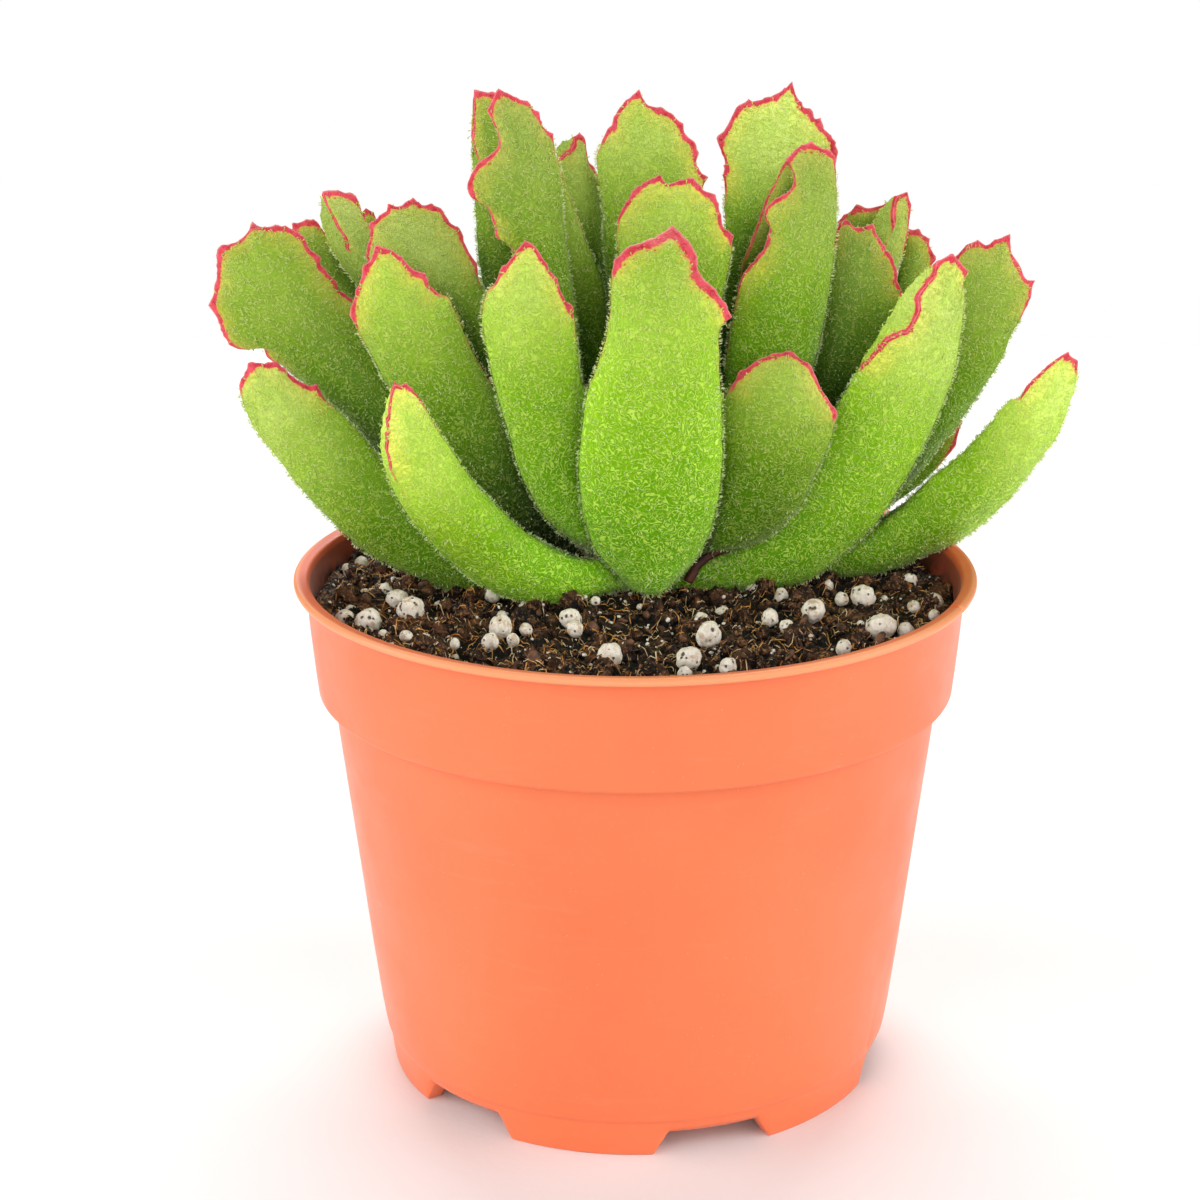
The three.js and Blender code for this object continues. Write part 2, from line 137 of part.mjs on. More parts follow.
    L: [[-10.80,22.79,84.00],[-13.09,26.65,86.02],[-16.49,32.34,89.94],[-20.05,37.29,94.76],[-22.89,41.07,99.84],[-24.70,43.85,104.97,1],[-24.03,45.36,107.42],[-23.88,46.29,109.58,1],[-22.29,47.58,111.57],[-21.01,48.53,113.37],[-19.00,49.50,114.00,1]],
    R: [[-5.20,25.21,84.00],[-6.43,29.52,86.02],[-8.24,35.90,89.94],[-9.40,41.89,94.76],[-9.94,46.57,99.74],[-10.97,49.65,104.76,1],[-12.52,50.58,108.00],[-13.53,50.96,110.22,1],[-15.49,50.47,111.41],[-16.99,50.25,113.33],[-19.00,49.50,114.00,1]] },
  { name: 'leaf_31', outer: 3.2, inner: 1.7, cup: 0.4, side: 1,
    L: [[-2.14,23.76,84.00],[-3.05,27.75,85.78],[-4.42,33.77,89.13],[-6.19,39.27,93.21],[-7.38,43.60,97.57],[-8.57,46.60,101.95,1],[-7.46,48.06,104.74],[-6.94,48.59,106.05,1],[-4.58,49.23,107.57],[-3.13,49.67,109.00],[-1.00,50.00,110.00,1]],
    R: [[4.14,24.24,84.00],[4.43,28.32,85.78],[4.86,34.48,89.13],[5.76,40.33,93.33],[6.40,44.80,97.74],[6.81,47.82,102.01,1],[5.63,49.00,104.58],[4.86,49.55,106.19,1],[2.73,49.86,107.84],[1.16,49.98,108.89],[-1.00,50.00,110.00,1]] },
  { name: 'leaf_32', outer: 3.2, inner: 1.7, cup: 0.4, side: 1,
    L: [[6.91,24.59,85.00],[7.12,28.89,86.94],[7.42,35.23,90.74],[7.15,40.97,95.33],[7.26,45.84,100.82],[7.04,48.59,105.11,1],[8.21,49.60,107.78],[9.22,50.14,109.81,1],[11.16,50.30,111.73],[12.83,50.28,113.14],[15.00,50.00,114.00,1]],
    R: [[13.09,23.41,85.00],[14.49,27.48,86.94],[16.56,33.48,90.74],[19.01,39.07,95.69],[20.62,43.13,100.63],[21.53,46.03,105.56,1],[21.00,47.24,108.02],[20.68,48.04,110.12,1],[18.50,48.80,111.37],[17.25,49.48,113.44],[15.00,50.00,114.00,1]] },
  { name: 'leaf_33', outer: 3.2, inner: 1.7, cup: 0.4, side: 1,
    L: [[18.35,29.01,84.00],[19.16,32.66,85.73],[20.32,37.97,89.16],[20.94,43.00,93.54],[21.54,46.60,97.94],[21.54,49.23,102.13,1],[22.94,49.98,105.00],[24.04,50.10,106.57,1],[25.71,49.88,108.10],[27.06,49.59,109.13],[29.00,49.00,110.00,1]],
    R: [[23.65,26.99,84.00],[25.47,30.26,85.73],[28.14,34.99,89.16],[30.98,39.02,93.39],[33.14,42.39,98.22],[34.48,44.30,102.14,1],[33.94,45.60,104.52],[33.71,46.30,106.20,1],[32.03,47.52,108.31],[30.89,48.10,108.97],[29.00,49.00,110.00,1]] },
  { name: 'leaf_34', outer: 3.2, inner: 1.7, cup: 0.4, side: 1,
    L: [[25.79,28.94,82.00],[27.86,32.15,83.88],[30.67,36.64,87.79],[32.85,41.05,93.08],[34.11,43.83,97.62],[35.32,46.14,103.09,1],[36.46,46.03,105.04],[37.54,45.87,107.10,1],[39.12,45.12,109.20],[40.40,44.27,110.36],[42.00,43.00,111.00,1]],
    R: [[30.21,25.06,82.00],[33.13,27.54,83.88],[37.20,30.92,87.79],[41.23,33.61,92.97],[43.97,35.34,97.80],[45.82,36.94,103.08,1],[45.68,38.02,105.17],[45.73,38.79,107.35,1],[44.41,40.43,108.98],[43.44,41.62,110.39],[42.00,43.00,111.00,1]] },
  { name: 'leaf_35', outer: 2.6, inner: 1.7, cup: 0.4, side: 1,
    L: [[29.05,26.33,78.00],[32.14,28.12,79.47],[36.95,30.86,82.12],[41.58,33.92,85.48],[44.84,36.53,88.90],[47.49,37.45,92.40,1],[48.66,37.23,94.18],[49.56,36.86,95.82,1],[50.58,35.55,97.23],[51.25,34.61,98.46],[52.00,33.00,99.00,1]],
    R: [[30.95,21.67,78.00],[34.41,22.56,79.47],[39.77,23.98,82.12],[45.17,25.02,85.45],[49.19,25.96,88.92],[51.98,26.48,92.40,1],[52.53,27.73,94.14],[52.95,28.31,95.55,1],[52.87,30.01,97.35],[52.50,31.35,98.06],[52.00,33.00,99.00,1]] },
  { name: 'leaf_36', outer: 3.2, inner: 1.7, cup: 0.4, side: 1,
    L: [[0.86,21.76,90.00],[-0.05,25.74,92.25],[-1.26,29.72,97.07],[-2.78,31.89,103.56],[-4.09,32.83,110.36],[-4.23,33.44,118.11,1],[-3.56,33.77,122.22],[-2.95,33.96,124.21,1],[-0.57,34.43,127.83],[0.83,34.68,129.41],[3.00,35.00,131.00,1]],
    R: [[7.14,22.24,90.00],[7.43,26.31,92.25],[8.01,30.43,97.07],[9.19,32.81,103.55],[10.35,33.98,110.80],[10.39,34.52,117.39,1],[9.66,34.76,121.79],[8.77,34.90,124.78,1],[6.68,34.94,127.28],[5.28,35.06,129.79],[3.00,35.00,131.00,1]] },
  { name: 'leaf_37', outer: 3.2, inner: 1.7, cup: 0.4, side: 1,
    L: [[-10.35,22.24,90.00],[-13.30,25.23,92.26],[-16.63,28.28,97.04],[-19.32,29.76,103.60],[-20.94,30.39,110.61],[-21.63,31.01,118.15,1],[-21.10,31.80,121.34],[-21.03,32.28,125.13,1],[-19.70,33.62,128.06],[-18.64,34.59,129.55],[-17.00,36.00,131.00,1]],
    R: [[-5.65,25.76,90.00],[-7.70,29.43,92.26],[-9.69,33.49,97.04],[-10.31,36.41,103.29],[-10.49,38.21,110.49],[-10.61,39.19,117.44,1],[-11.53,39.04,121.98],[-12.11,38.89,124.41,1],[-13.97,37.87,127.66],[-15.26,37.13,129.58],[-17.00,36.00,131.00,1]] },
  { name: 'leaf_38', outer: 3.2, inner: 1.7, cup: 0.4, side: 1,
    L: [[17.21,25.93,90.00],[17.92,29.84,92.20],[18.38,33.85,96.90],[17.87,36.33,103.14],[17.13,37.66,110.07],[17.39,38.20,117.60,1],[17.83,38.27,120.81],[18.62,38.29,124.48,1],[20.45,37.81,126.08],[22.00,37.51,128.49],[24.00,37.00,130.00,1]],
    R: [[22.79,24.07,90.00],[24.56,27.62,92.20],[26.61,31.11,96.90],[28.50,32.79,103.17],[30.04,33.39,110.36],[30.08,33.94,117.29,1],[29.26,34.45,120.56],[29.18,34.72,123.88,1],[27.11,35.64,126.66],[25.98,36.25,129.09],[24.00,37.00,130.00,1]] },
  { name: 'leaf_39', outer: 3.2, inner: 1.7, cup: 0.4, side: 1,
    L: [[23.90,34.40,92.00],[25.27,37.32,93.82],[26.50,40.46,97.83],[26.66,42.65,103.03],[26.64,43.85,108.74],[26.61,44.54,114.28,1],[27.29,44.43,117.69],[27.84,44.22,119.30,1],[29.32,43.48,121.57],[30.46,42.95,123.45],[32.00,42.00,124.00,1]],
    R: [[28.10,31.60,92.00],[30.27,33.99,93.82],[32.69,36.33,97.83],[34.64,37.31,102.98],[35.96,37.68,109.06],[36.68,37.83,114.42,1],[36.06,38.54,117.35],[35.79,38.95,119.62,1],[34.43,40.04,121.28],[33.44,40.94,123.20],[32.00,42.00,124.00,1]] },
  { name: 'leaf_40', outer: 3.2, inner: 1.7, cup: 0.4, side: 1,
    L: [[-19.87,27.31,93.00],[-22.14,29.12,94.46],[-25.04,31.26,97.49],[-27.66,32.56,101.45],[-29.58,33.30,105.73],[-30.53,34.04,109.90,1],[-30.29,34.99,112.58],[-30.03,35.61,114.30,1],[-29.03,36.85,116.08],[-28.28,37.77,117.49],[-27.00,39.00,118.00,1]],
    R: [[-16.13,30.69,93.00],[-17.68,33.13,94.46],[-19.51,36.24,97.49],[-20.53,38.98,101.45],[-21.25,40.94,106.04],[-21.61,42.13,110.13,1],[-22.72,41.79,112.54],[-23.19,41.80,114.46,1],[-24.55,40.91,116.17],[-25.67,40.10,117.35],[-27.00,39.00,118.00,1]] },
];
// perlite: x, y, z, radius
const PERLITE = [
  [-36.43, -3.20, 75.86, 1.69],
  [-33.97, -8.99, 75.99, 1.97],
  [-39.94, -14.70, 75.97, 1.94],
  [-19.96, -17.03, 75.97, 1.93],
  [-9.66, -12.88, 75.84, 1.65],
  [-3.66, -29.44, 75.88, 1.73],
  [7.69, -31.36, 75.94, 1.86],
  [10.84, -20.71, 75.96, 1.91],
  [13.21, -33.82, 75.74, 1.42],
  [35.00, -2.42, 75.93, 1.84],
  [36.47, -17.23, 76.04, 2.08],
  [26.88, -9.26, 75.92, 1.81],

];
// stems: name, foot x y z, head x y z, radius
const STEMS = [
  ['stem_centre', [5, 14, 62], [5, 15, 88], 6.5],
  ['stem_left', [-12, 16, 62], [-12, 18, 88], 5.2],
  ['stem_right', [24, 20, 62], [24, 21, 87], 5.2],

];
// dry stalk: x, y, z, radius along its length
const DRY_STALK = [
  [15.21, 5.00, 81.39, 0.60],
  [13.17, 4.60, 81.19, 0.80],
  [11.15, 4.20, 80.33, 1.00],
  [9.43, 3.60, 78.89, 1.10],
  [8.19, 3.20, 76.57, 1.30],

];

// ---------------------------------------------------------------- small vector helpers
const add = (a, b) => [a[0] + b[0], a[1] + b[1], a[2] + b[2]];
const sub = (a, b) => [a[0] - b[0], a[1] - b[1], a[2] - b[2]];
const mul = (a, s) => [a[0] * s, a[1] * s, a[2] * s];
const dot = (a, b) => a[0] * b[0] + a[1] * b[1] + a[2] * b[2];
const cross = (a, b) => [a[1] * b[2] - a[2] * b[1], a[2] * b[0] - a[0] * b[2], a[0] * b[1] - a[1] * b[0]];
const len = (a) => Math.hypot(a[0], a[1], a[2]);
const unit = (a) => mul(a, 1 / Math.max(len(a), 1e-9));
const mix = (a, b, t) => add(mul(a, 1 - t), mul(b, t));
const interp = (x, xs, ys) => {
  if (x <= xs[0]) return ys[0];
  for (let i = 1; i < xs.length; i++) if (x <= xs[i]) return ys[i - 1] + (ys[i] - ys[i - 1]) * (x - xs[i - 1]) / (xs[i] - xs[i - 1]);
  return ys[ys.length - 1];
};
// fraction of the length run at each point of a polyline
const lengths = (P) => {
  const d = [0];
  for (let i = 1; i < P.length; i++) d.push(d[i - 1] + len(sub(P[i], P[i - 1])));
  return d.map((v) => v / d[d.length - 1]);
};
const resample = (P, n) => {
  const t = lengths(P), out = [];
  for (let i = 0; i < n; i++) {
    const u = i / (n - 1);
    out.push([0, 1, 2].map((k) => interp(u, t, P.map((p) => p[k]))));
  }
  return out;
};
const relax = (P, times) => {
  let Q = P;
  for (let k = 0; k < times; k++) Q = Q.map((p, i) => (i === 0 || i === Q.length - 1 ? p : add(mul(p, 0.5), mul(add(Q[i - 1], Q[i + 1]), 0.25))));
  return Q;
};

// ---------------------------------------------------------------- leaf solid
const NC = 25;                                        // stations along the midrib
const THICK_AT = [0, 0.1, 0.3, 0.55, 0.75, 0.9, 1.0]; // swelling along the leaf
const THICK = [0.85, 0.95, 1.0, 1.0, 0.8, 0.55, 0.4];
const RIB_START = 0.05, RIB_END = 0.9;
const MID_COUNT = 7;
const RINGS = [0.7];

function midrib(L, R) {
  const a = resample(L, NC), b = resample(R, NC);
  const M = relax(a.map((p, i) => mix(p, b[i], 0.5)), 12);
  const W = relax(a.map((p, i) => sub(b[i], p)), 12);
  let T = M.map((p, i) => (i === 0 ? sub(M[1], M[0]) : i === NC - 1 ? sub(M[i], M[i - 1]) : mul(sub(M[i + 1], M[i - 1]), 0.5)));
  T = relax(T, 4).map(unit);
  let N = T.map((t, i) => unit(cross(W[i], t)));
  for (let i = NC - 4; i < NC; i++) N[i] = N[NC - 5];
  for (let i = 0; i < 2; i++) N[i] = N[2];
  N = relax(N, 4).map((n, i) => unit(sub(n, mul(T[i], dot(n, T[i])))));
  const width = a.map((p, i) => len(sub(b[i], p)));
  return { M, N, width };
}
const along = (A, t) => {
  const s = Math.min(Math.max(t, 0), 1) * (NC - 1), i = Math.min(Math.floor(s), NC - 2), f = s - i;
  return Array.isArray(A[0]) ? mix(A[i], A[i + 1], f) : A[i] * (1 - f) + A[i + 1] * f;
};

// strip of triangles between two rows that run side by side
function zip(A, ta, B, tb) {
  const tri = []; let i = 0, j = 0;
  while (i < A.length - 1 || j < B.length - 1) {
    if (j === B.length - 1 || (i < A.length - 1 && ta[i + 1] < tb[j + 1] - 1e-9)) { tri.push([A[i], B[j], A[i + 1]]); i++; }
    else { tri.push([A[i], B[j], B[j + 1]]); j++; }
  }
  return tri;
}

function leafMesh(leaf, grow = 0) {
  const L = leaf.L.map((p) => p.slice(0, 3)), R = leaf.R.map((p) => p.slice(0, 3));
  const { M, N, width } = midrib(L, R);
  const tL = lengths(L), tR = lengths(R);
  let loop = L.concat(R.slice(0, -1).reverse());
  const tl = tL.concat(tR.slice(0, -1).reverse());
  const K = loop.length;
  let soft = loop;
  for (let k = 0; k < 3; k++) soft = soft.map((p, i) => add(mul(p, 0.5), mul(add(soft[(i + K - 1) % K], soft[(i + 1) % K]), 0.25)));
  const f = tl.map((t) => RIB_START + (RIB_END - RIB_START) * t);
  const C0 = f.map((t) => along(M, t)), Nn = f.map((t) => along(N, t));
  if (grow) loop = loop.map((p, i) => add(p, mul(unit(sub(p, C0[i])), grow)));
  const nearOut = leaf.side > 0 ? leaf.outer : leaf.inner, farOut = leaf.side > 0 ? leaf.inner : leaf.outer;
  const swell = (t) => {
    const k = interp(t, THICK_AT, THICK), lim = Math.min(1, 0.62 * Math.max(along(width, t), 2) / (leaf.outer + leaf.inner));
    return [nearOut * k * lim + leaf.cup * k + grow, farOut * k * lim - leaf.cup * k + grow];
  };
  const b = f.map(swell);
  const fm = [...Array(MID_COUNT).keys()].map((i) => RIB_START + (RIB_END - RIB_START) * i / (MID_COUNT - 1));
  const tm = fm.map((_, i) => i / (MID_COUNT - 1));
  const V = loop.slice(), F = [];
  for (const s of [0, 1]) {
    const sg = s === 0 ? 1 : -1, rows = [];
    for (const r of RINGS) {
      const base = V.length;
      for (let k = 0; k < K; k++) {
        const edge = mix(soft[k], loop[k], r ** 3);
        V.push(add(mix(C0[k], edge, r), mul(Nn[k], sg * b[k][s] * (1 - r * r))));
      }
      rows.push([...Array(K).keys()].map((k) => base + k));
    }
    const mb = V.length;
    fm.forEach((t) => V.push(add(along(M, t), mul(along(N, t), sg * swell(t)[s]))));
    const mid = fm.map((_, i) => mb + i);
    rows.push([...Array(K).keys()]);
    const tri = [];
    for (let q = 0; q < rows.length - 1; q++) for (let k = 0; k < K; k++) {
      const k2 = (k + 1) % K, a = rows[q], c = rows[q + 1];
      tri.push([a[k], c[k], c[k2]], [a[k], c[k2], a[k2]]);
    }
    const r0 = rows[0], kt = L.length - 1;
    zip(r0.slice(0, kt + 1), tL, mid, tm).forEach((t) => tri.push([t[0], t[2], t[1]]));
    zip(r0.slice(kt).reverse(), tl.slice(kt).reverse(), mid, tm).forEach((t) => tri.push(t));
    tri.push([r0[0], mid[0], r0[K - 1]]);
    tri.forEach((t) => F.push(sg > 0 ? t : [t[0], t[2], t[1]]));
  }
  let vol = 0;
  for (const t of F) vol += dot(V[t[0]], cross(V[t[1]], V[t[2]]));
  return { V, F: vol < 0 ? F.map((t) => [t[0], t[2], t[1]]) : F };
}

// ---------------------------------------------------------------- solids and meshes
const solidOf = ({ V, F }) => new wasm.Manifold(new wasm.Mesh({ numProp: 3, vertProperties: new Float32Array(V.flat()), triVerts: new Uint32Array(F.flat()) }));
function solidFromGeometry(g) {
  g.deleteAttribute('normal'); g.deleteAttribute('uv');
  const m = mergeVertices(g, 1e-4), p = m.attributes.position.array, ix = m.index.array, tri = [];
  for (let i = 0; i < ix.length; i += 3) if (ix[i] !== ix[i + 1] && ix[i + 1] !== ix[i + 2] && ix[i] !== ix[i + 2]) tri.push(ix[i], ix[i + 1], ix[i + 2]);
  return new wasm.Manifold(new wasm.Mesh({ numProp: 3, vertProperties: new Float32Array(p), triVerts: new Uint32Array(tri) }));
}
const largest = (s) => {
  const parts = s.decompose();
  return parts.reduce((a, c) => (c.volume() > a.volume() ? c : a));
};
// welds the short edges that a cut leaves behind, so that every face has real size
function tidy(V, F, tol) {
  let pos = V.map((p) => p.slice()), tri = F.map((t) => t.slice());
  for (let pass = 0; pass < 12; pass++) {
    let done = false;
    const use = new Map();
    tri.forEach((t, i) => t.forEach((v) => { if (!use.has(v)) use.set(v, []); use.get(v).push(i); }));
    const locked = new Set();
    for (let i = 0; i < tri.length; i++) {
      const t = tri[i]; if (!t) continue;
      for (let k = 0; k < 3; k++) {
        const a = t[k], b = t[(k + 1) % 3];
        if (locked.has(a) || locked.has(b) || len(sub(pos[a], pos[b])) > tol) continue;
        // link condition: the two ends share exactly two neighbours
        const na = new Set(use.get(a).filter((q) => tri[q]).flatMap((q) => tri[q])), nb = new Set(use.get(b).filter((q) => tri[q]).flatMap((q) => tri[q]));
        const both = [...na].filter((v) => nb.has(v) && v !== a && v !== b);
        if (both.length !== 2) continue;
        const m = mix(pos[a], pos[b], 0.5);
        // no face may flip
        const ok = [...use.get(a), ...use.get(b)].filter((q) => tri[q] && !(tri[q].includes(a) && tri[q].includes(b))).every((q) => {
          const o = tri[q].map((v) => pos[v]), n = tri[q].map((v) => (v === a || v === b ? m : pos[v]));
          const c0 = cross(sub(o[1], o[0]), sub(o[2], o[0])), c1 = cross(sub(n[1], n[0]), sub(n[2], n[0]));
          return len(c1) > 1e-5 && (len(c0) < 1e-5 || dot(c0, c1) > 0);
        });
        if (!ok) continue;
        pos[a] = m;
        use.get(b).forEach((q) => { if (tri[q]) { tri[q] = tri[q].map((v) => (v === b ? a : v)); if (new Set(tri[q]).size < 3) tri[q] = null; } });
        [...na, ...nb].forEach((v) => locked.add(v));
        done = true; break;
      }
    }
    tri = tri.filter(Boolean);
    if (!done) break;
  }
  const map = new Map(), out = [];
  const G = tri.map((t) => t.map((v) => { if (!map.has(v)) { map.set(v, out.length); out.push(pos[v]); } return map.get(v); }));
  return { V: out, F: G };
}
function meshOf(solid, tol = 0.06) {
  const m = solid.getMesh(), n = m.numProp, V = [], F = [];
  for (let i = 0; i < m.vertProperties.length; i += n) V.push([m.vertProperties[i], m.vertProperties[i + 1], m.vertProperties[i + 2]]);
  for (let i = 0; i < m.triVerts.length; i += 3) F.push([m.triVerts[i], m.triVerts[i + 1], m.triVerts[i + 2]]);
  return tidy(V, F, tol);
}
const object = new THREE.Group();
function put(name, { V, F }, color, roughness = 0.7, metalness = 0) {
  const g = new THREE.BufferGeometry();
  g.setAttribute('position', new THREE.Float32BufferAttribute(V.flat(), 3));
  g.setIndex(F.flat());
  g.computeVertexNormals();
  const mesh = new THREE.Mesh(g, new THREE.MeshStandardMaterial({ color, roughness, metalness }));
  mesh.name = name;
  object.add(mesh);
}

// ---------------------------------------------------------------- pot
function lathe(points, seg) {
  const g = new THREE.LatheGeometry(points.map(([r, z]) => new THREE.Vector2(r, z)), seg);
  g.rotateX(Math.PI / 2);
  return solidFromGeometry(g);
}
const IN = WALL_T;
const potProfile = [
  [0, FLOOR_Z], [FOOT_IN_R, FLOOR_Z], [FOOT_IN_R + 0.3, 0], [FOOT_R - 0.2, 0],
  [WALL_LOW_R - 0.45, FOOT_LINE_Z - 0.35], [WALL_LOW_R, FOOT_LINE_Z],
  [WALL_TOP_R, BAND_LOW_Z], [BAND_LOW_R, BAND_LOW_Z + 0.1], [BAND_TOP_R, RIM_H - LIP_DROP],
  [RIM_R - 0.25, RIM_H - LIP_DROP], [RIM_R, RIM_H - LIP_DROP + 0.3], [RIM_R, RIM_H - 0.3], [RIM_R - 0.3, RIM_H],
  [BAND_TOP_R + 0.25, RIM_H], [BAND_TOP_R - 0.55, RIM_H - 0.35], [BAND_TOP_R - IN - 0.05, RIM_H - 1.9],
  [BAND_LOW_R - IN, BAND_LOW_Z + 0.6], [WALL_TOP_R - IN, BAND_LOW_Z - 1.0], [WALL_LOW_R - IN + 0.1, FLOOR_Z + FLOOR_T + 1.0], [WALL_LOW_R - IN - 0.9, FLOOR_Z + FLOOR_T], [0, FLOOR_Z + FLOOR_T],
];
let pot = lathe(potProfile, POT_SEG);
const rad = (d) => d * Math.PI / 180;
const dirAt = (deg) => [Math.sin(rad(deg)), -Math.cos(rad(deg))];
// gaps between the feet: a wedge-shaped notch through the foot ring, wider at the bottom
for (let k = 0; k < FOOT_COUNT; k++) {
  const c = FOOT_PHASE + (k + 0.5) * 360 / FOOT_COUNT;
  const halfTop = (360 / FOOT_COUNT - FOOT_TOP_DEG) / 2, halfLow = (360 / FOOT_COUNT - FOOT_LOW_DEG) / 2;
  const V = [], steps = 6;
  for (const [r, z, h] of [[33, -1, halfLow + 1], [43, -1, halfLow + 1], [43, FOOT_H, halfTop], [33, FOOT_H, halfTop]]) for (let i = 0; i <= steps; i++) {
    const d = dirAt(c - h + 2 * h * i / steps);
    V.push([d[0] * r, d[1] * r, z]);
  }
  const F = [], n = steps + 1;
  for (let q = 0; q < 4; q++) for (let i = 0; i < steps; i++) {
    const a = q * n + i, b = ((q + 1) % 4) * n + i;
    F.push([a, a + 1, b + 1], [a, b + 1, b]);
  }
  F.push([0, n, 2 * n], [0, 2 * n, 3 * n], [steps, 2 * n + steps, n + steps], [steps, 3 * n + steps, 2 * n + steps]);
  let vol = 0; F.forEach((t) => { vol += dot(V[t[0]], cross(V[t[1]], V[t[2]])); });
  pot = pot.subtract(solidOf({ V, F: vol < 0 ? F.map((t) => [t[0], t[2], t[1]]) : F }));
  // drain hole behind each gap
  const d = dirAt(c), g = new THREE.CylinderGeometry(DRAIN_R, DRAIN_R, 6, 14).rotateX(Math.PI / 2).translate(d[0] * DRAIN_RING_R, d[1] * DRAIN_RING_R, FLOOR_Z);
  pot = pot.subtract(solidFromGeometry(g));
}
pot = pot.subtract(solidFromGeometry(new THREE.CylinderGeometry(DRAIN_R, DRAIN_R, 6, 14).rotateX(Math.PI / 2).translate(0, 0, FLOOR_Z)));
put('pot', meshOf(pot, 0.02), POT_ORANGE, 0.42);

// ---------------------------------------------------------------- leaves, front ones first
const placed = [];
const boxesTouch = (a, b, m) => [0, 1, 2].every((k) => a.min[k] - m < b.max[k] && b.min[k] - m < a.max[k]);
for (const leaf of LEAVES) {
  let s = solidOf(leafMesh(leaf));
  const bb = s.boundingBox();
  for (const other of placed) {
    if (!boxesTouch(bb, other.box, GAP + 0.2)) continue;
    const hit = s.intersect(other.fat);
    if (hit.isEmpty() || hit.volume() < 1e-6) continue;
    s = largest(s.subtract(other.fat));
  }
  const fat = solidOf(leafMesh(leaf, GAP));
  placed.push({ name: leaf.name, solid: s, fat, box: fat.boundingBox() });
  put(leaf.name, meshOf(s), [LEAF_GREEN, LEAF_PALE, LEAF_DEEP][placed.length % 3], 0.62);
}

// ---------------------------------------------------------------- stems
function stemSolid([, a, b, r], grow = 0) {
  const n = 10, V = [], F = [], rows = [[0, 1.0], [0.55, 1.04], [0.86, 0.9], [1, 0.45]];
  for (const [t, k] of rows) for (let i = 0; i < n; i++) {
    const c = mix(a, b, t), q = 2 * Math.PI * i / n, rr = r * k + grow * 1.1;
    V.push([c[0] + Math.cos(q) * rr, c[1] + Math.sin(q) * rr, c[2] + (t === 0 ? -grow : t === 1 ? grow : 0)]);
  }
  for (let q = 0; q < rows.length - 1; q++) for (let i = 0; i < n; i++) {
    const i2 = (i + 1) % n;
    F.push([q * n + i, q * n + i2, (q + 1) * n + i2], [q * n + i, (q + 1) * n + i2, (q + 1) * n + i]);
  }
  const top = (rows.length - 1) * n;
  for (let i = 1; i < n - 1; i++) F.push([0, i + 1, i], [top, top + i, top + i + 1]);
  return solidOf({ V, F });
}
for (const stem of STEMS) {
  let s = stemSolid(stem);
  const bb = s.boundingBox();
  for (const other of placed) if (boxesTouch(bb, other.box, 0.5)) s = s.subtract(other.fat);
  put(stem[0], meshOf(largest(s)), STEM_GREEN, 0.8);
}
// the dry stalk left where an old leaf has dropped
{
  const n = 6, V = [], F = [], rows = DRY_STALK.length;
  DRY_STALK.forEach(([x, y, z, r], q) => {
    const p = DRY_STALK[Math.max(0, q - 1)], e = DRY_STALK[Math.min(rows - 1, q + 1)], t = unit(sub(e.slice(0, 3), p.slice(0, 3)));
    const u = unit(cross(t, [0, 1, 0])), v = cross(t, u);
    for (let i = 0; i < n; i++) { const a = 2 * Math.PI * i / n; V.push(add([x, y, z], add(mul(u, Math.cos(a) * r), mul(v, Math.sin(a) * r)))); }
  });
  for (let q = 0; q < rows - 1; q++) for (let i = 0; i < n; i++) {
    const i2 = (i + 1) % n;
    F.push([q * n + i, q * n + i2, (q + 1) * n + i2], [q * n + i, (q + 1) * n + i2, (q + 1) * n + i]);
  }
  const e = (rows - 1) * n;
  for (let i = 1; i < n - 1; i++) F.push([0, i + 1, i], [e, e + i, e + i + 1]);
  let vol = 0; F.forEach((t) => { vol += dot(V[t[0]], cross(V[t[1]], V[t[2]])); });
  let s = solidOf({ V, F: vol < 0 ? F.map((t) => [t[0], t[2], t[1]]) : F });
  const bb = s.boundingBox();
  for (const other of placed) if (boxesTouch(bb, other.box, 0.5)) s = s.subtract(other.fat).subtract(other.solid);
  for (const stem of STEMS) s = s.subtract(stemSolid(stem, GAP));
  put('dry_leaf_stalk', meshOf(largest(s)), STEM_DRY, 0.9);
}

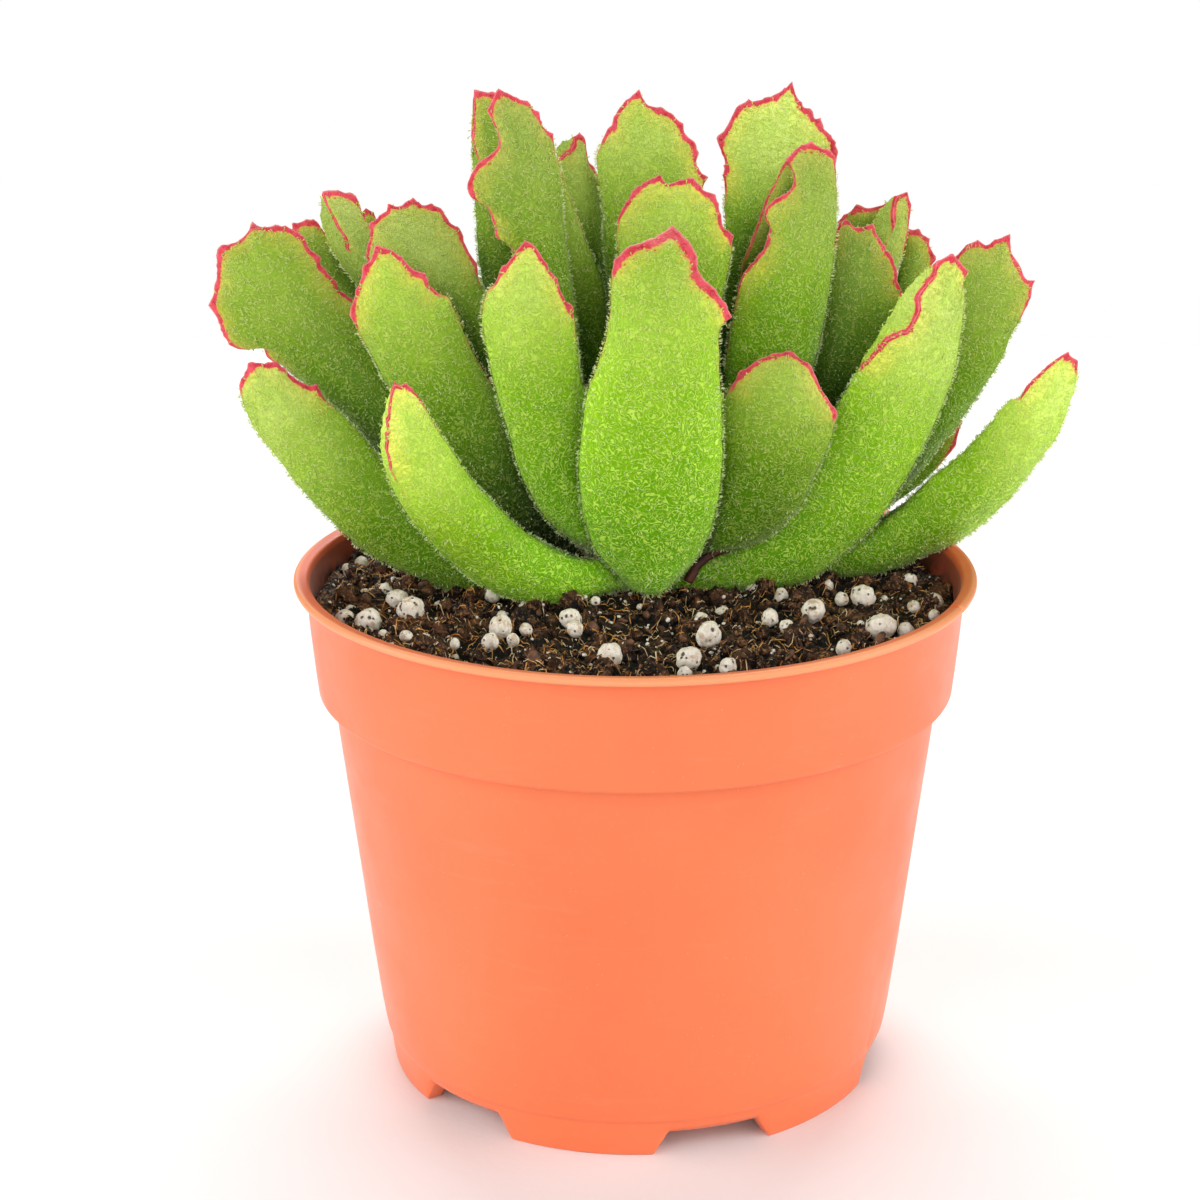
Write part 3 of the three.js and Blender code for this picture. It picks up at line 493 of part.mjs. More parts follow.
// ---------------------------------------------------------------- potting mix
// a gently lumpy top over a plug that follows the inside of the pot
const lump = (x, y) => 0.45 * Math.sin(x * 0.31 + 1.3) * Math.cos(y * 0.27 - 0.6) + 0.35 * Math.sin(x * 0.13 - y * 0.21 + 2.1) + 0.2 * Math.sin(y * 0.55 + x * 0.4);
{
  const side = [[WALL_LOW_R - IN - 1.6, FLOOR_Z + FLOOR_T + SOIL_GAP], [WALL_LOW_R - IN - SOIL_GAP + 0.1, FLOOR_Z + FLOOR_T + 1.5], [WALL_TOP_R - IN - SOIL_GAP - 0.1, BAND_LOW_Z - 1.0], [BAND_LOW_R - IN - SOIL_GAP, BAND_LOW_Z + 1.1]];
  const topR = BAND_LOW_R - IN - SOIL_GAP + (BAND_TOP_R - BAND_LOW_R) * (SOIL_Z - BAND_LOW_Z) / (RIM_H - BAND_LOW_Z) - 0.1;
  const V = [[0, 0, FLOOR_Z + FLOOR_T + SOIL_GAP]], F = [], n = SOIL_SEG, rows = [];
  const row = (r, zf) => { const base = V.length; for (let i = 0; i < n; i++) { const q = 2 * Math.PI * i / n, x = Math.cos(q) * r, y = Math.sin(q) * r; V.push([x, y, zf(x, y)]); } rows.push(base); };
  side.forEach(([r, z]) => row(r, () => z));
  row(topR, (x, y) => SOIL_Z - 0.3 + 0.6 * lump(x, y));
  for (const k of [0.86, 0.68, 0.48, 0.26]) row(topR * k, (x, y) => SOIL_Z + lump(x, y));
  const last = V.length; V.push([0, 0, SOIL_Z + lump(0, 0)]);
  for (let i = 0; i < n; i++) {
    const i2 = (i + 1) % n;
    F.push([0, rows[0] + i2, rows[0] + i]);
    for (let q = 0; q < rows.length - 1; q++) F.push([rows[q] + i, rows[q] + i2, rows[q + 1] + i2], [rows[q] + i, rows[q + 1] + i2, rows[q + 1] + i]);
    F.push([rows[rows.length - 1] + i, rows[rows.length - 1] + i2, last]);
  }
  let soil = solidOf({ V, F });
  const sb = soil.boundingBox();
  for (const other of placed) if (boxesTouch(sb, other.box, 0.1) && other.box.min[2] < SOIL_Z + 1.3) soil = soil.subtract(other.fat);
  // a socket for each stem, a little wider than the stem itself
  for (const stem of STEMS) soil = soil.subtract(stemSolid(stem, GAP));
  // perlite grains half sunk in the surface
  PERLITE.forEach(([x, y, z, r], i) => {
    const make = (rr) => {
      const g = new THREE.IcosahedronGeometry(rr, 1), p = g.attributes.position;
      for (let k = 0; k < p.count; k++) {
        const v = new THREE.Vector3().fromBufferAttribute(p, k), s = 1 + 0.05 * Math.sin(v.x / rr * 3 + i) + 0.05 * Math.cos(v.y / rr * 2.3 - i);
        p.setXYZ(k, v.x * s, v.y * s, v.z * s * 0.92);
      }
      return solidFromGeometry(g.rotateZ(i * 0.9).translate(x, y, z));
    };
    put(`perlite_${String(i + 1).padStart(2, '0')}`, meshOf(make(r), 0.01), PERLITE_WHITE, 0.9);
    soil = soil.subtract(make(r + GAP + 0.1));
  });
  put('potting_mix', meshOf(largest(soil), 0.06), SOIL_BROWN, 0.95);
}

export default object;
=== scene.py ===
import bpy, math
import numpy as np
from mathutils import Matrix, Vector, noise


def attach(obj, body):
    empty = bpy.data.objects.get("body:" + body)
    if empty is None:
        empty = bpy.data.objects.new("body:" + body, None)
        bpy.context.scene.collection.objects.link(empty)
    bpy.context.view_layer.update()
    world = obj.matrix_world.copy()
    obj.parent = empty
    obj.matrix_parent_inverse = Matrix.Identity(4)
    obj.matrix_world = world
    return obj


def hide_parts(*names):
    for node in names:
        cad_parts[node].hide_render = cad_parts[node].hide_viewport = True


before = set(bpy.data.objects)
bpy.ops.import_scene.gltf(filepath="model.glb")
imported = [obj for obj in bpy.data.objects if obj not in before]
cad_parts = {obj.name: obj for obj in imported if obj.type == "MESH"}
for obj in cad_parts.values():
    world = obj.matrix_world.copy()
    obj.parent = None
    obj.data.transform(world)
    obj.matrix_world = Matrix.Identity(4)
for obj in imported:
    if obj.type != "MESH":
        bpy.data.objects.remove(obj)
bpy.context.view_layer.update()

# Potted succulent: looks built around the fixed frame. Numbers are in millimetres
# until make() turns them into metres.
MM = 0.001
sc = bpy.context.scene
RNG = np.random.default_rng(20241)

# ------------------------------------------------------------------ camera, light, floor
cam_d = bpy.data.cameras.new("camera")
cam = bpy.data.objects.new("camera", cam_d)
sc.collection.objects.link(cam)
cam.location = (0.0, -0.393782, 0.202456)
cam.rotation_euler = (math.radians(72.02), 0.0, 0.0)
cam_d.sensor_width = 36.0
cam_d.lens = 80.25
cam_d.shift_x = -0.02948
cam_d.clip_start = 0.01
cam_d.clip_end = 60.0
sc.camera = cam
sc.view_settings.view_transform = "Standard"
sc.view_settings.look = "None"

world = bpy.data.worlds.new("studio")
sc.world = world
world.use_nodes = True
wt = world.node_tree
bg = wt.nodes["Background"]
bg.inputs["Color"].default_value = (1.0, 1.0, 1.0, 1.0)
bg.inputs["Strength"].default_value = 0.03
# the white sweep behind the floor is plain white to look at and gives almost no light
bg2 = wt.nodes.new("ShaderNodeBackground")
bg2.inputs["Color"].default_value = (1.0, 1.0, 1.0, 1.0)
bg2.inputs["Strength"].default_value = 1.0
lp = wt.nodes.new("ShaderNodeLightPath")
wm = wt.nodes.new("ShaderNodeMixShader")
wt.links.new(lp.outputs["Is Camera Ray"], wm.inputs[0])
wt.links.new(bg.outputs[0], wm.inputs[1])
wt.links.new(bg2.outputs[0], wm.inputs[2])
wt.links.new(wm.outputs[0], wt.nodes["World Output"].inputs["Surface"])


def area(name, loc, aim, size, watt, color=(1, 1, 1)):
    d = bpy.data.lights.new(name, "AREA")
    d.shape = "RECTANGLE"
    d.size, d.size_y = size
    d.energy = watt
    d.color = color
    o = bpy.data.objects.new(name, d)
    sc.collection.objects.link(o)
    o.location = loc
    o.rotation_euler = (Vector(aim) - Vector(loc)).to_track_quat("-Z", "Y").to_euler()
    return o


area("key_left", (-0.6, -0.8, 0.75), (0, 0, 0.08), (0.7, 0.7), 4.1)
area("key_right", (0.6, -0.8, 0.75), (0, 0, 0.08), (0.7, 0.7), 3.8)
area("front_soft", (0.0, -1.3, 0.35), (0, 0, 0.08), (1.2, 0.6), 6.1)
area("side_left", (-1.2, -0.1, 0.45), (0, 0, 0.08), (0.8, 0.8), 9.0)
area("side_right", (1.2, -0.1, 0.45), (0, 0, 0.08), (0.8, 0.8), 8.8)
area("back_soft", (0.0, 0.9, 0.9), (0, 0, 0.1), (1.2, 0.6), 16.0)


# ------------------------------------------------------------------ mesh helpers
def make(name, V, F, mat, attrs=None, smooth=True, node=None, more=(), uv=None):
    me = bpy.data.meshes.new(name)
    V = np.ascontiguousarray(np.asarray(V, float) * MM, dtype=np.float32)
    F = np.ascontiguousarray(F, dtype=np.int32)
    k = F.shape[1]
    me.vertices.add(len(V))
    me.vertices.foreach_set("co", V.ravel())
    me.loops.add(F.size)
    me.loops.foreach_set("vertex_index", F.ravel())
    me.polygons.add(len(F))
    me.polygons.foreach_set("loop_start", np.arange(0, F.size, k, dtype=np.int32))
    me.update(calc_edges=True)
    for key, arr in (attrs or {}).items():
        a = me.attributes.new(key, "FLOAT", "POINT")
        a.data.foreach_set("value", np.ascontiguousarray(arr, dtype=np.float32))
    if uv is not None:   # a place of its own for each small piece, one value per corner
        lay = me.uv_layers.new(name="OFBake", do_init=False)
        lay.uv.foreach_set("vector", np.ascontiguousarray(uv, dtype=np.float32).ravel())
    me.validate()
    if smooth:
        me.polygons.foreach_set("use_smooth", np.ones(len(me.polygons), dtype=bool))
    me.materials.append(mat)
    ob = bpy.data.objects.new(name, me)
    sc.collection.objects.link(ob)
    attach(ob, "root")
    for n in ([node] if node else []) + list(more):
        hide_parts(n)
    return ob


def fbm(p, s, oct_=3, seed=0.0):
    return noise.fractal(Vector((p[0] * s + seed, p[1] * s - seed, p[2] * s + 0.37 * seed)), 1.0, 2.0, oct_)


class G:
    """Small builder for node materials."""

    def __init__(self, name):
        self.m = bpy.data.materials.new(name)
        self.m.use_nodes = True
        self.t = self.m.node_tree
        self.t.nodes.clear()
        self.out = self.t.nodes.new("ShaderNodeOutputMaterial")

    def n(self, typ, ins=None, **kw):
        x = self.t.nodes.new("ShaderNode" + typ)
        for k, v in kw.items():
            setattr(x, k, v)
        for k, v in (ins or {}).items():
            s = x.inputs[k]
            if isinstance(v, bpy.types.NodeSocket):
                self.t.links.new(v, s)
            else:
                s.default_value = v
        return x

    def math(self, op, a, b=0.0, c=0.0, clamp=False):
        x = self.n("Math", {0: a, 1: b, 2: c}, operation=op)
        x.use_clamp = clamp
        return x.outputs[0]

    def mix(self, f, a, b, blend="MIX"):
        x = self.n("Mix", {0: f, 6: a, 7: b}, data_type="RGBA", blend_type=blend)
        return x.outputs[2]

    def step(self, v, a, b, c=0.0, d=1.0, kind="SMOOTHSTEP"):
        x = self.n("MapRange", {0: v, 1: a, 2: b, 3: c, 4: d}, interpolation_type=kind)
        return x.outputs[0]

    def att(self, name):
        return self.n("Attribute", attribute_name=name).outputs["Fac"]

    def pos(self, scale=1.0):
        c = self.n("TexCoord").outputs["Object"]
        if scale == 1.0:
            return c
        return self.n("Mapping", {0: c, 3: (scale, scale, scale)}).outputs[0]

    def noise(self, vec, scale, detail=2.0, rough=0.5, dist=0.0):
        x = self.n("TexNoise", {"Vector": vec, "Scale": scale, "Detail": detail, "Roughness": rough, "Distortion": dist})
        return x.outputs[0]

    def voro(self, vec, scale, feature="F1", rnd=1.0):
        x = self.n("TexVoronoi", {"Vector": vec, "Scale": scale, "Randomness": rnd}, feature=feature)
        return x

    def bump(self, h, dist, strength=1.0, normal=None):
        x = self.n("Bump", {"Strength": strength, "Distance": dist, "Height": h})
        if normal is not None:
            self.t.links.new(normal, x.inputs["Normal"])
        return x.outputs[0]

    def surf(self, shader):
        self.t.links.new(shader, self.out.inputs["Surface"])
        return self.m


def rgb(r, g, b):
    return (r, g, b, 1.0)


def srgb(r, g, b):
    f = lambda c: (c / 255 / 12.92) if c / 255 <= 0.04045 else ((c / 255 + 0.055) / 1.055) ** 2.4
    return (f(r), f(g), f(b), 1.0)


# ------------------------------------------------------------------ floor
g = G("floor_paper")
p = g.pos()
col = g.mix(g.step(g.noise(p, 3.0, 2.0), 0.3, 0.7), rgb(0.86, 0.86, 0.86), rgb(0.88, 0.88, 0.88))
bs = g.n("BsdfPrincipled", {"Base Color": col, "Roughness": 0.7, "Specular IOR Level": 0.2,
                            "Normal": g.bump(g.noise(p, 900.0, 2.0), 0.00003)})
FLOOR_MAT = g.surf(bs.outputs[0])
me = bpy.data.meshes.new("floor")
NF, RF = 96, 0.55
me.from_pydata([(RF * math.cos(2 * math.pi * k / NF), RF * math.sin(2 * math.pi * k / NF), 0.0) for k in range(NF)], [], [tuple(range(NF))])
me.materials.append(FLOOR_MAT)
floor = bpy.data.objects.new("floor", me)
sc.collection.objects.link(floor)

# ------------------------------------------------------------------ materials
def pot_material():
    g = G("pot_moulded_plastic")
    p = g.pos()
    sep = g.n("SeparateXYZ", {0: p})
    rad = g.math("SQRT", g.math("ADD", g.math("POWER", sep.outputs[0], 2.0), g.math("POWER", sep.outputs[1], 2.0)))
    z = sep.outputs[2]
    big = g.noise(p, 28.0, 3.0, 0.55)
    mott = g.noise(p, 700.0, 3.0, 0.6)
    c = g.mix(g.step(big, 0.3, 0.7), srgb(*(240, 117, 70)), srgb(*(245, 123, 76)))
    c = g.mix(g.math("MULTIPLY", g.step(mott, 0.5, 0.8), 0.10), c, srgb(255, 150, 108))
    # fine pale specks in the moulded plastic
    v = g.voro(p, 1100.0).outputs["Distance"]
    pick = g.step(g.noise(p, 260.0, 1.0), 0.60, 0.66)
    speck = g.math("MULTIPLY", g.step(v, 0.16, 0.08), pick)
    c = g.mix(g.math("MULTIPLY", speck, 0.30), c, srgb(255, 190, 160))
    # dust and handling marks: faint long streaks round the wall
    st = g.noise(g.n("Mapping", {0: p, 3: (60.0, 60.0, 420.0)}).outputs[0], 1.0, 3.0, 0.6)
    c = g.mix(g.math("MULTIPLY", g.step(st, 0.56, 0.8), 0.07), c, srgb(255, 176, 146))
    # the lip: painted shade on its inner edge, and a painted highlight along its outer roll
    lip = g.step(z, 0.0789, 0.0792)
    c = g.mix(g.math("MULTIPLY", lip, g.step(rad, 0.05165, 0.0512, 0.0, 0.75)), c, srgb(*(232, 92, 44)))
    c = g.mix(g.math("MULTIPLY", lip, g.step(rad, 0.0515, 0.05185, 0.0, 0.6)), c, srgb(*(255, 174, 120)))
    # inside wall: painted shade makes it deeper, with dark dust from the mix low down
    ins = g.math("MULTIPLY", g.att("inside"), g.step(z, 0.0796, 0.0790))
    c = g.mix(g.math("MULTIPLY", ins, 0.85), c, srgb(*(140, 48, 26)))
    dirt = g.math("MULTIPLY", ins, g.math("MULTIPLY", g.step(z, 0.0782, 0.0755), g.step(g.noise(p, 420.0, 4.0, 0.7), 0.40, 0.60)))
    c = g.mix(g.math("MULTIPLY", dirt, 0.8), c, srgb(62, 34, 22))
    rough = g.step(g.noise(p, 90.0, 3.0, 0.6), 0.25, 0.75, 0.34, 0.48)
    h = g.math("ADD", g.math("MULTIPLY", g.noise(p, 1500.0, 2.0, 0.6), 0.6), g.math("MULTIPLY", g.noise(p, 160.0, 2.0), 1.0))
    bs = g.n("BsdfPrincipled", {"Base Color": c, "Roughness": rough, "IOR": 1.46, "Specular IOR Level": 0.5,
                                "Sheen Weight": 0.15, "Sheen Roughness": 0.35, "Sheen Tint": rgb(1.0, 0.86, 0.82),
                                "Normal": g.bump(h, 0.00002, 0.7)})
    return g.surf(bs.outputs[0])


def leaf_material():
    g = G("leaf_downy_skin")
    p = g.pos()
    edge, q, red, tt, gain, inner, occ, pale = (g.att(k) for k in ("edge", "q", "red", "tt", "gain", "inner", "occ", "pale"))
    q = g.math("ABSOLUTE", q)
    big = g.noise(p, 95.0, 3.0, 0.55)
    mid = g.noise(p, 420.0, 3.0, 0.6)
    # body colour: mid green low down to lime towards the top
    c = g.mix(g.step(g.math("ADD", tt, g.math("MULTIPLY", g.math("SUBTRACT", big, 0.5), 0.5)), 0.15, 0.95), srgb(94, 144, 10), srgb(145, 186, 12))
    c = g.mix(g.step(mid, 0.45, 0.78, 0.0, 0.25), c, srgb(62, 116, 4))
    c = g.mix(g.math("MULTIPLY", inner, 0.35), c, srgb(116, 164, 36))
    # deeper along the middle of the blade
    core = g.math("MULTIPLY", g.step(g.math("ADD", edge, g.math("MULTIPLY", big, 4.0)), 3.4, 8.0), g.step(tt, 0.92, 0.55))
    c = g.mix(g.math("MULTIPLY", core, 0.30), c, srgb(62, 116, 4))
    # yellowing inside the red margin, and a pale patch under the tip
    yz = g.math("MULTIPLY", g.step(g.math("ADD", edge, g.math("MULTIPLY", g.noise(p, 260.0, 2.0), 3.0)), 6.4, 1.6), g.step(red, 0.1, 0.75))
    c = g.mix(g.math("MULTIPLY", yz, 0.72), c, srgb(226, 208, 76))
    c = g.mix(g.math("MULTIPLY", pale, g.step(g.noise(p, 130.0, 3.0, 0.6), 0.3, 0.7, 0.55, 1.0)), c, srgb(222, 234, 136))
    # down lying on the skin: short curled lines with darker skin between them
    off1 = g.n("VectorMath", {0: g.n("TexNoise", {"Vector": p, "Scale": 900.0, "Detail": 1.0}).outputs[1], 3: 0.0011}, operation="SCALE").outputs[0]
    warp = g.n("VectorMath", {0: p, 1: off1}, operation="ADD").outputs[0]
    n1 = g.noise(warp, 850.0, 0.0, 0.4)
    pp = g.n("Math", {0: g.math("MULTIPLY", n1, 5.0), 1: 0.5}, operation="PINGPONG").outputs[0]
    ridge = g.step(pp, 0.27, 0.06)
    cut = g.step(g.noise(p, 1250.0, 1.0), 0.36, 0.48)
    broken = g.math("MULTIPLY", ridge, cut)
    vall = g.step(pp, 0.24, 0.44)
    fade = g.step(tt, 0.35, 0.85, 1.0, 0.72)
    c = g.mix(g.math("MULTIPLY", g.math("MULTIPLY", vall, 0.36), fade), c, srgb(62, 116, 4))
    c = g.mix(g.math("MULTIPLY", g.math("MULTIPLY", broken, 0.52), fade), c, srgb(196, 220, 96))
    # sparse orange-brown specks
    v = g.voro(p, 210.0)
    sp = g.math("MULTIPLY", g.step(v.outputs["Distance"], 0.075, 0.03), g.step(g.noise(p, 60.0, 1.0), 0.60, 0.64))
    c = g.mix(g.math("MULTIPLY", sp, 0.8), c, srgb(206, 122, 40))
    # painted shade: a deeper green where neighbouring leaves block the sky
    occ_shade = g.step(occ, 0.32, 0.75)
    c = g.mix(occ_shade, c, g.mix(1.0, c, rgb(*(0.20, 0.28, 0.08)), "MULTIPLY"))
    # per-leaf gain on brightness: partly the leaf's own tone, partly painted light and shade
    val = g.n("CombineXYZ", {0: gain, 1: gain, 2: gain}).outputs[0]
    c = g.mix(1.0, c, val, "MULTIPLY")
    # red margin with uneven inner side, a pale outer rim and darker dots
    wob = g.math("MULTIPLY", g.math("SUBTRACT", g.noise(p, 1100.0, 3.0, 0.65), 0.5), 0.9)
    line = g.math("MULTIPLY", g.step(g.math("ADD", q, wob), 1.10, 0.84), g.step(red, 0.18, 0.5))
    redc = g.mix(g.step(g.noise(p, 650.0, 2.0), 0.35, 0.7), srgb(232, 82, 96), srgb(214, 52, 70))
    redc = g.mix(g.step(g.noise(p, 1700.0, 2.0), 0.58, 0.70, 0.0, 0.6), redc, srgb(150, 16, 34))
    redc = g.mix(g.step(q, 0.34, 0.0, 0.0, 0.7), redc, srgb(242, 150, 146))
    dots = g.voro(p, 1300.0).outputs["Distance"]
    dm = g.math("MULTIPLY", g.step(dots, 0.34, 0.18), g.math("MULTIPLY", g.step(q, 2.0, 1.15), g.step(g.noise(p, 500.0, 1.0), 0.40, 0.55)))
    dm = g.math("MULTIPLY", dm, g.step(red, 0.2, 0.7))
    c = g.mix(g.math("MULTIPLY", g.math("MULTIPLY", g.step(q, 1.7, 1.0), g.step(red, 0.3, 0.8)), 0.35), c, srgb(236, 168, 70))
    c = g.mix(g.math("MULTIPLY", dm, 0.8), c, srgb(196, 62, 28))
    c = g.mix(line, c, redc)
    # thin salmon line where the red fades out
    lo = g.math("MULTIPLY", g.step(g.math("MULTIPLY", q, 0.5), 0.55, 0.2), g.math("MULTIPLY", g.step(red, 0.02, 0.14), g.step(g.noise(p, 800.0, 2.0), 0.38, 0.58)))
    lo = g.math("MULTIPLY", lo, g.math("SUBTRACT", 1.0, line, clamp=True))
    c = g.mix(g.math("MULTIPLY", lo, 0.7), c, srgb(232, 150, 96))
    h = g.math("ADD", g.math("MULTIPLY", broken, 1.0), g.math("MULTIPLY", g.noise(p, 2600.0, 2.0), 0.25))
    bs = g.n("BsdfPrincipled", {"Base Color": c, "Roughness": 0.5, "IOR": 1.42, "Specular IOR Level": 0.28,
                                "Sheen Weight": 0.42, "Sheen Roughness": 0.35, "Sheen Tint": rgb(0.90, 1.0, 0.58),
                                "Normal": g.bump(h, 0.00009, 0.9)})
    return g.surf(bs.outputs[0])


def hair_material():
    g = G("leaf_down")
    p = g.pos()
    h, red, occ, gain, tt = g.att("hr"), g.att("red"), g.att("occ"), g.att("gain"), g.att("tt")
    up = g.step(tt, 0.45, 0.85)
    c = g.mix(g.step(h, 0.0, 0.6, kind="LINEAR"), g.mix(up, srgb(128, 172, 34), srgb(180, 204, 70)), g.mix(up, srgb(190, 216, 80), srgb(216, 230, 112)))
    # the hairs follow the leaf's gain, partly painted light and shade
    hg = g.math("MINIMUM", g.math("POWER", gain, 0.65), g.math("POWER", gain, 0.40))
    c = g.mix(1.0, c, g.n("CombineXYZ", {0: hg, 1: hg, 2: hg}).outputs[0], "MULTIPLY")
    c = g.mix(g.step(h, 0.46, 0.78, kind="LINEAR"), c, srgb(240, 244, 214))
    c = g.mix(g.step(tt, 0.20, 0.03, 0.0, 0.5), c, srgb(216, 228, 176))
    # painted shade on the hairs where neighbouring leaves block the sky
    occ_shade = g.math("MULTIPLY", g.step(occ, 0.32, 0.75), g.step(h, 0.35, 0.70, 1.0, 0.30, kind="LINEAR"))
    c = g.mix(occ_shade, c, g.mix(1.0, c, rgb(*(0.40, 0.45, 0.30)), "MULTIPLY"))
    c = g.mix(g.math("MULTIPLY", red, 0.5), c, srgb(240, 150, 140))
    d = g.n("BsdfPrincipled", {"Base Color": c, "Roughness": 0.45, "Specular IOR Level": 0.5})
    t = g.n("BsdfTranslucent", {"Color": c})
    mx = g.n("MixShader", {0: 0.4})
    g.t.links.new(d.outputs[0], mx.inputs[1])
    g.t.links.new(t.outputs[0], mx.inputs[2])
    return g.surf(mx.outputs[0])


def soil_material():
    g = G("peat_mix")
    p = g.pos()
    a = g.noise(p, 300.0, 4.0, 0.65)
    b = g.noise(p, 1500.0, 3.0, 0.65)
    z = g.n("SeparateXYZ", {0: p}).outputs[2]
    zz = g.math("ADD", z, g.math("MULTIPLY", g.math("SUBTRACT", g.noise(p, 500.0, 2.0), 0.5), 0.0022))
    c = g.mix(g.step(a, 0.42, 0.66), srgb(8, 4, 2), srgb(106, 68, 44))
    c = g.mix(g.step(b, 0.55, 0.68, 0.0, 0.85), c, srgb(184, 134, 90))
    # painted shade: mask of the low hollows of the mix
    low = g.step(zz, 0.0752, 0.0740)
    # rusty bark and fibre bits
    v = g.voro(p, 800.0)
    pick = g.step(g.noise(p, 420.0, 1.0), 0.54, 0.60)
    c = g.mix(g.math("MULTIPLY", g.math("MULTIPLY", g.step(v.outputs["Distance"], 0.36, 0.2), pick), 0.9), c, srgb(170, 104, 48))
    # pale grit
    v2 = g.voro(p, 1250.0)
    pick2 = g.step(g.noise(g.n("Mapping", {0: p, 1: (0.3, 0.1, 0.2)}).outputs[0], 420.0, 1.0), 0.60, 0.64)
    c = g.mix(g.math("MULTIPLY", g.step(v2.outputs["Distance"], 0.30, 0.18), pick2), c, srgb(228, 208, 178))
    # fibres
    wv = g.noise(g.n("Mapping", {0: p, 3: (320.0, 2400.0, 1200.0), 2: (0.4, 0.3, 0.7)}).outputs[0], 1.0, 2.0)
    wv2 = g.noise(g.n("Mapping", {0: p, 3: (2400.0, 340.0, 1200.0), 2: (0.2, 0.5, 0.4)}).outputs[0], 1.0, 2.0)
    c = g.mix(g.step(wv, 0.60, 0.70, 0.0, 0.75), c, srgb(150, 108, 70))
    c = g.mix(g.step(wv2, 0.63, 0.72, 0.0, 0.75), c, srgb(176, 132, 84))
    # painted shade: the low hollows go near black
    c = g.mix(g.math("MULTIPLY", low, 0.93), c, srgb(6, 3, 2))
    h = g.math("ADD", g.math("MULTIPLY", b, 1.2), g.math("ADD", g.math("MULTIPLY", wv, 0.8), g.math("MULTIPLY", wv2, 0.8)))
    rough = g.step(b, 0.3, 0.8, 0.85, 0.45)
    bs = g.n("BsdfPrincipled", {"Base Color": c, "Roughness": rough, "Specular IOR Level": 0.3,
                                "Normal": g.bump(h, 0.0006, 1.0)})
    return g.surf(bs.outputs[0])


def fibre_material(name, a, b):
    g = G(name)
    p = g.pos()
    c = g.mix(g.step(g.noise(p, 900.0, 3.0), 0.3, 0.7), srgb(*a), srgb(*b))
    bs = g.n("BsdfPrincipled", {"Base Color": c, "Roughness": 0.6,
                                "Normal": g.bump(g.noise(p, 3000.0, 2.0), 0.0001)})
    return g.surf(bs.outputs[0])


def perlite_material():
    g = G("perlite_grain")
    p = g.pos()
    pitv = g.att("pit")
    a = g.noise(p, 1500.0, 3.0, 0.6)
    c = g.mix(g.step(a, 0.35, 0.7), srgb(252, 243, 228), srgb(228, 214, 192))
    v = g.voro(g.n("Mapping", {0: p, 1: (0.013, 0.021, 0.005)}).outputs[0], 900.0)
    pit = g.math("MULTIPLY", g.step(v.outputs["Distance"], 0.25, 0.14), g.step(g.noise(p, 600.0, 1.0), 0.50, 0.56))
    pit = g.math("MAXIMUM", pit, g.step(pitv, 0.35, 0.75))
    stain = g.step(g.noise(p, 520.0, 3.0, 0.7), 0.53, 0.66)
    c = g.mix(g.math("MULTIPLY", stain, 0.6), c, srgb(186, 142, 96))
    # painted shade: the pits go dark brown
    c = g.mix(g.math("MULTIPLY", pit, 0.92), c, srgb(62, 40, 26))
    h = g.math("SUBTRACT", g.math("MULTIPLY", a, 0.6), g.math("MULTIPLY", pit, 1.2))
    bs = g.n("BsdfPrincipled", {"Base Color": c, "Roughness": 0.7, "Specular IOR Level": 0.4,
                                "Normal": g.bump(h, 0.0002, 1.0)})
    return g.surf(bs.outputs[0])


def stem_material():
    g = G("stem_skin")
    p = g.pos()
    c = g.mix(g.step(g.noise(p, 240.0, 4.0, 0.6), 0.3, 0.7), srgb(104, 124, 46), srgb(146, 152, 76))
    c = g.mix(g.step(g.noise(p, 620.0, 2.0), 0.55, 0.75, 0.0, 0.6), c, srgb(120, 82, 52))
    bs = g.n("BsdfPrincipled", {"Base Color": c, "Roughness": 0.65, "Sheen Weight": 0.3, "Sheen Roughness": 0.4,
                                "Normal": g.bump(g.noise(p, 1400.0, 3.0), 0.00025)})
    return g.surf(bs.outputs[0])


MAT_POT = pot_material()
MAT_LEAF = leaf_material()
MAT_HAIR = hair_material()
MAT_SOIL = soil_material()
MAT_FIB = fibre_material("fibre_gold", (244, 178, 92), (178, 108, 48))
MAT_FIB2 = fibre_material("fibre_dark", (128, 84, 54), (40, 24, 15))
MAT_FIB3 = fibre_material("fibre_pale", (255, 236, 196), (222, 178, 118))
MAT_GRIT = fibre_material("pale_grit", (255, 252, 244), (236, 222, 196))
MAT_PERL = perlite_material()
MAT_STEM = stem_material()
MAT_DRY = fibre_material("dry_stalk_skin", (96, 40, 30), (46, 20, 16))

# ------------------------------------------------------------------ pot
RIM_R, RIM_H = 52.5, 80.3
FOOT_N, FOOT_PHASE = 6, -12.3


def foot_base(theta):
    """Height of the wall's lower edge at an angle (degrees from the front towards +X)."""
    d = (theta - FOOT_PHASE + 30.0) % 60.0 - 30.0
    s = min(max((abs(d) - 16.0) / 4.0, 0.0), 1.0)
    # straight flank with small round corners
    e = 0.14
    if s < e:
        s = s * s / (2 * e)
    elif s > 1 - e:
        s = 1 - e - (1 - s) ** 2 / (2 * e)
        s = s
    else:
        s = s - e / 2
    return 3.75 * min(max(s / (1 - e), 0.0), 1.0)


def arc(cx, cz, r, a0, a1, n):
    return [(cx + r * math.cos(math.radians(a0 + (a1 - a0) * i / n)), cz + r * math.sin(math.radians(a0 + (a1 - a0) * i / n))) for i in range(n + 1)]


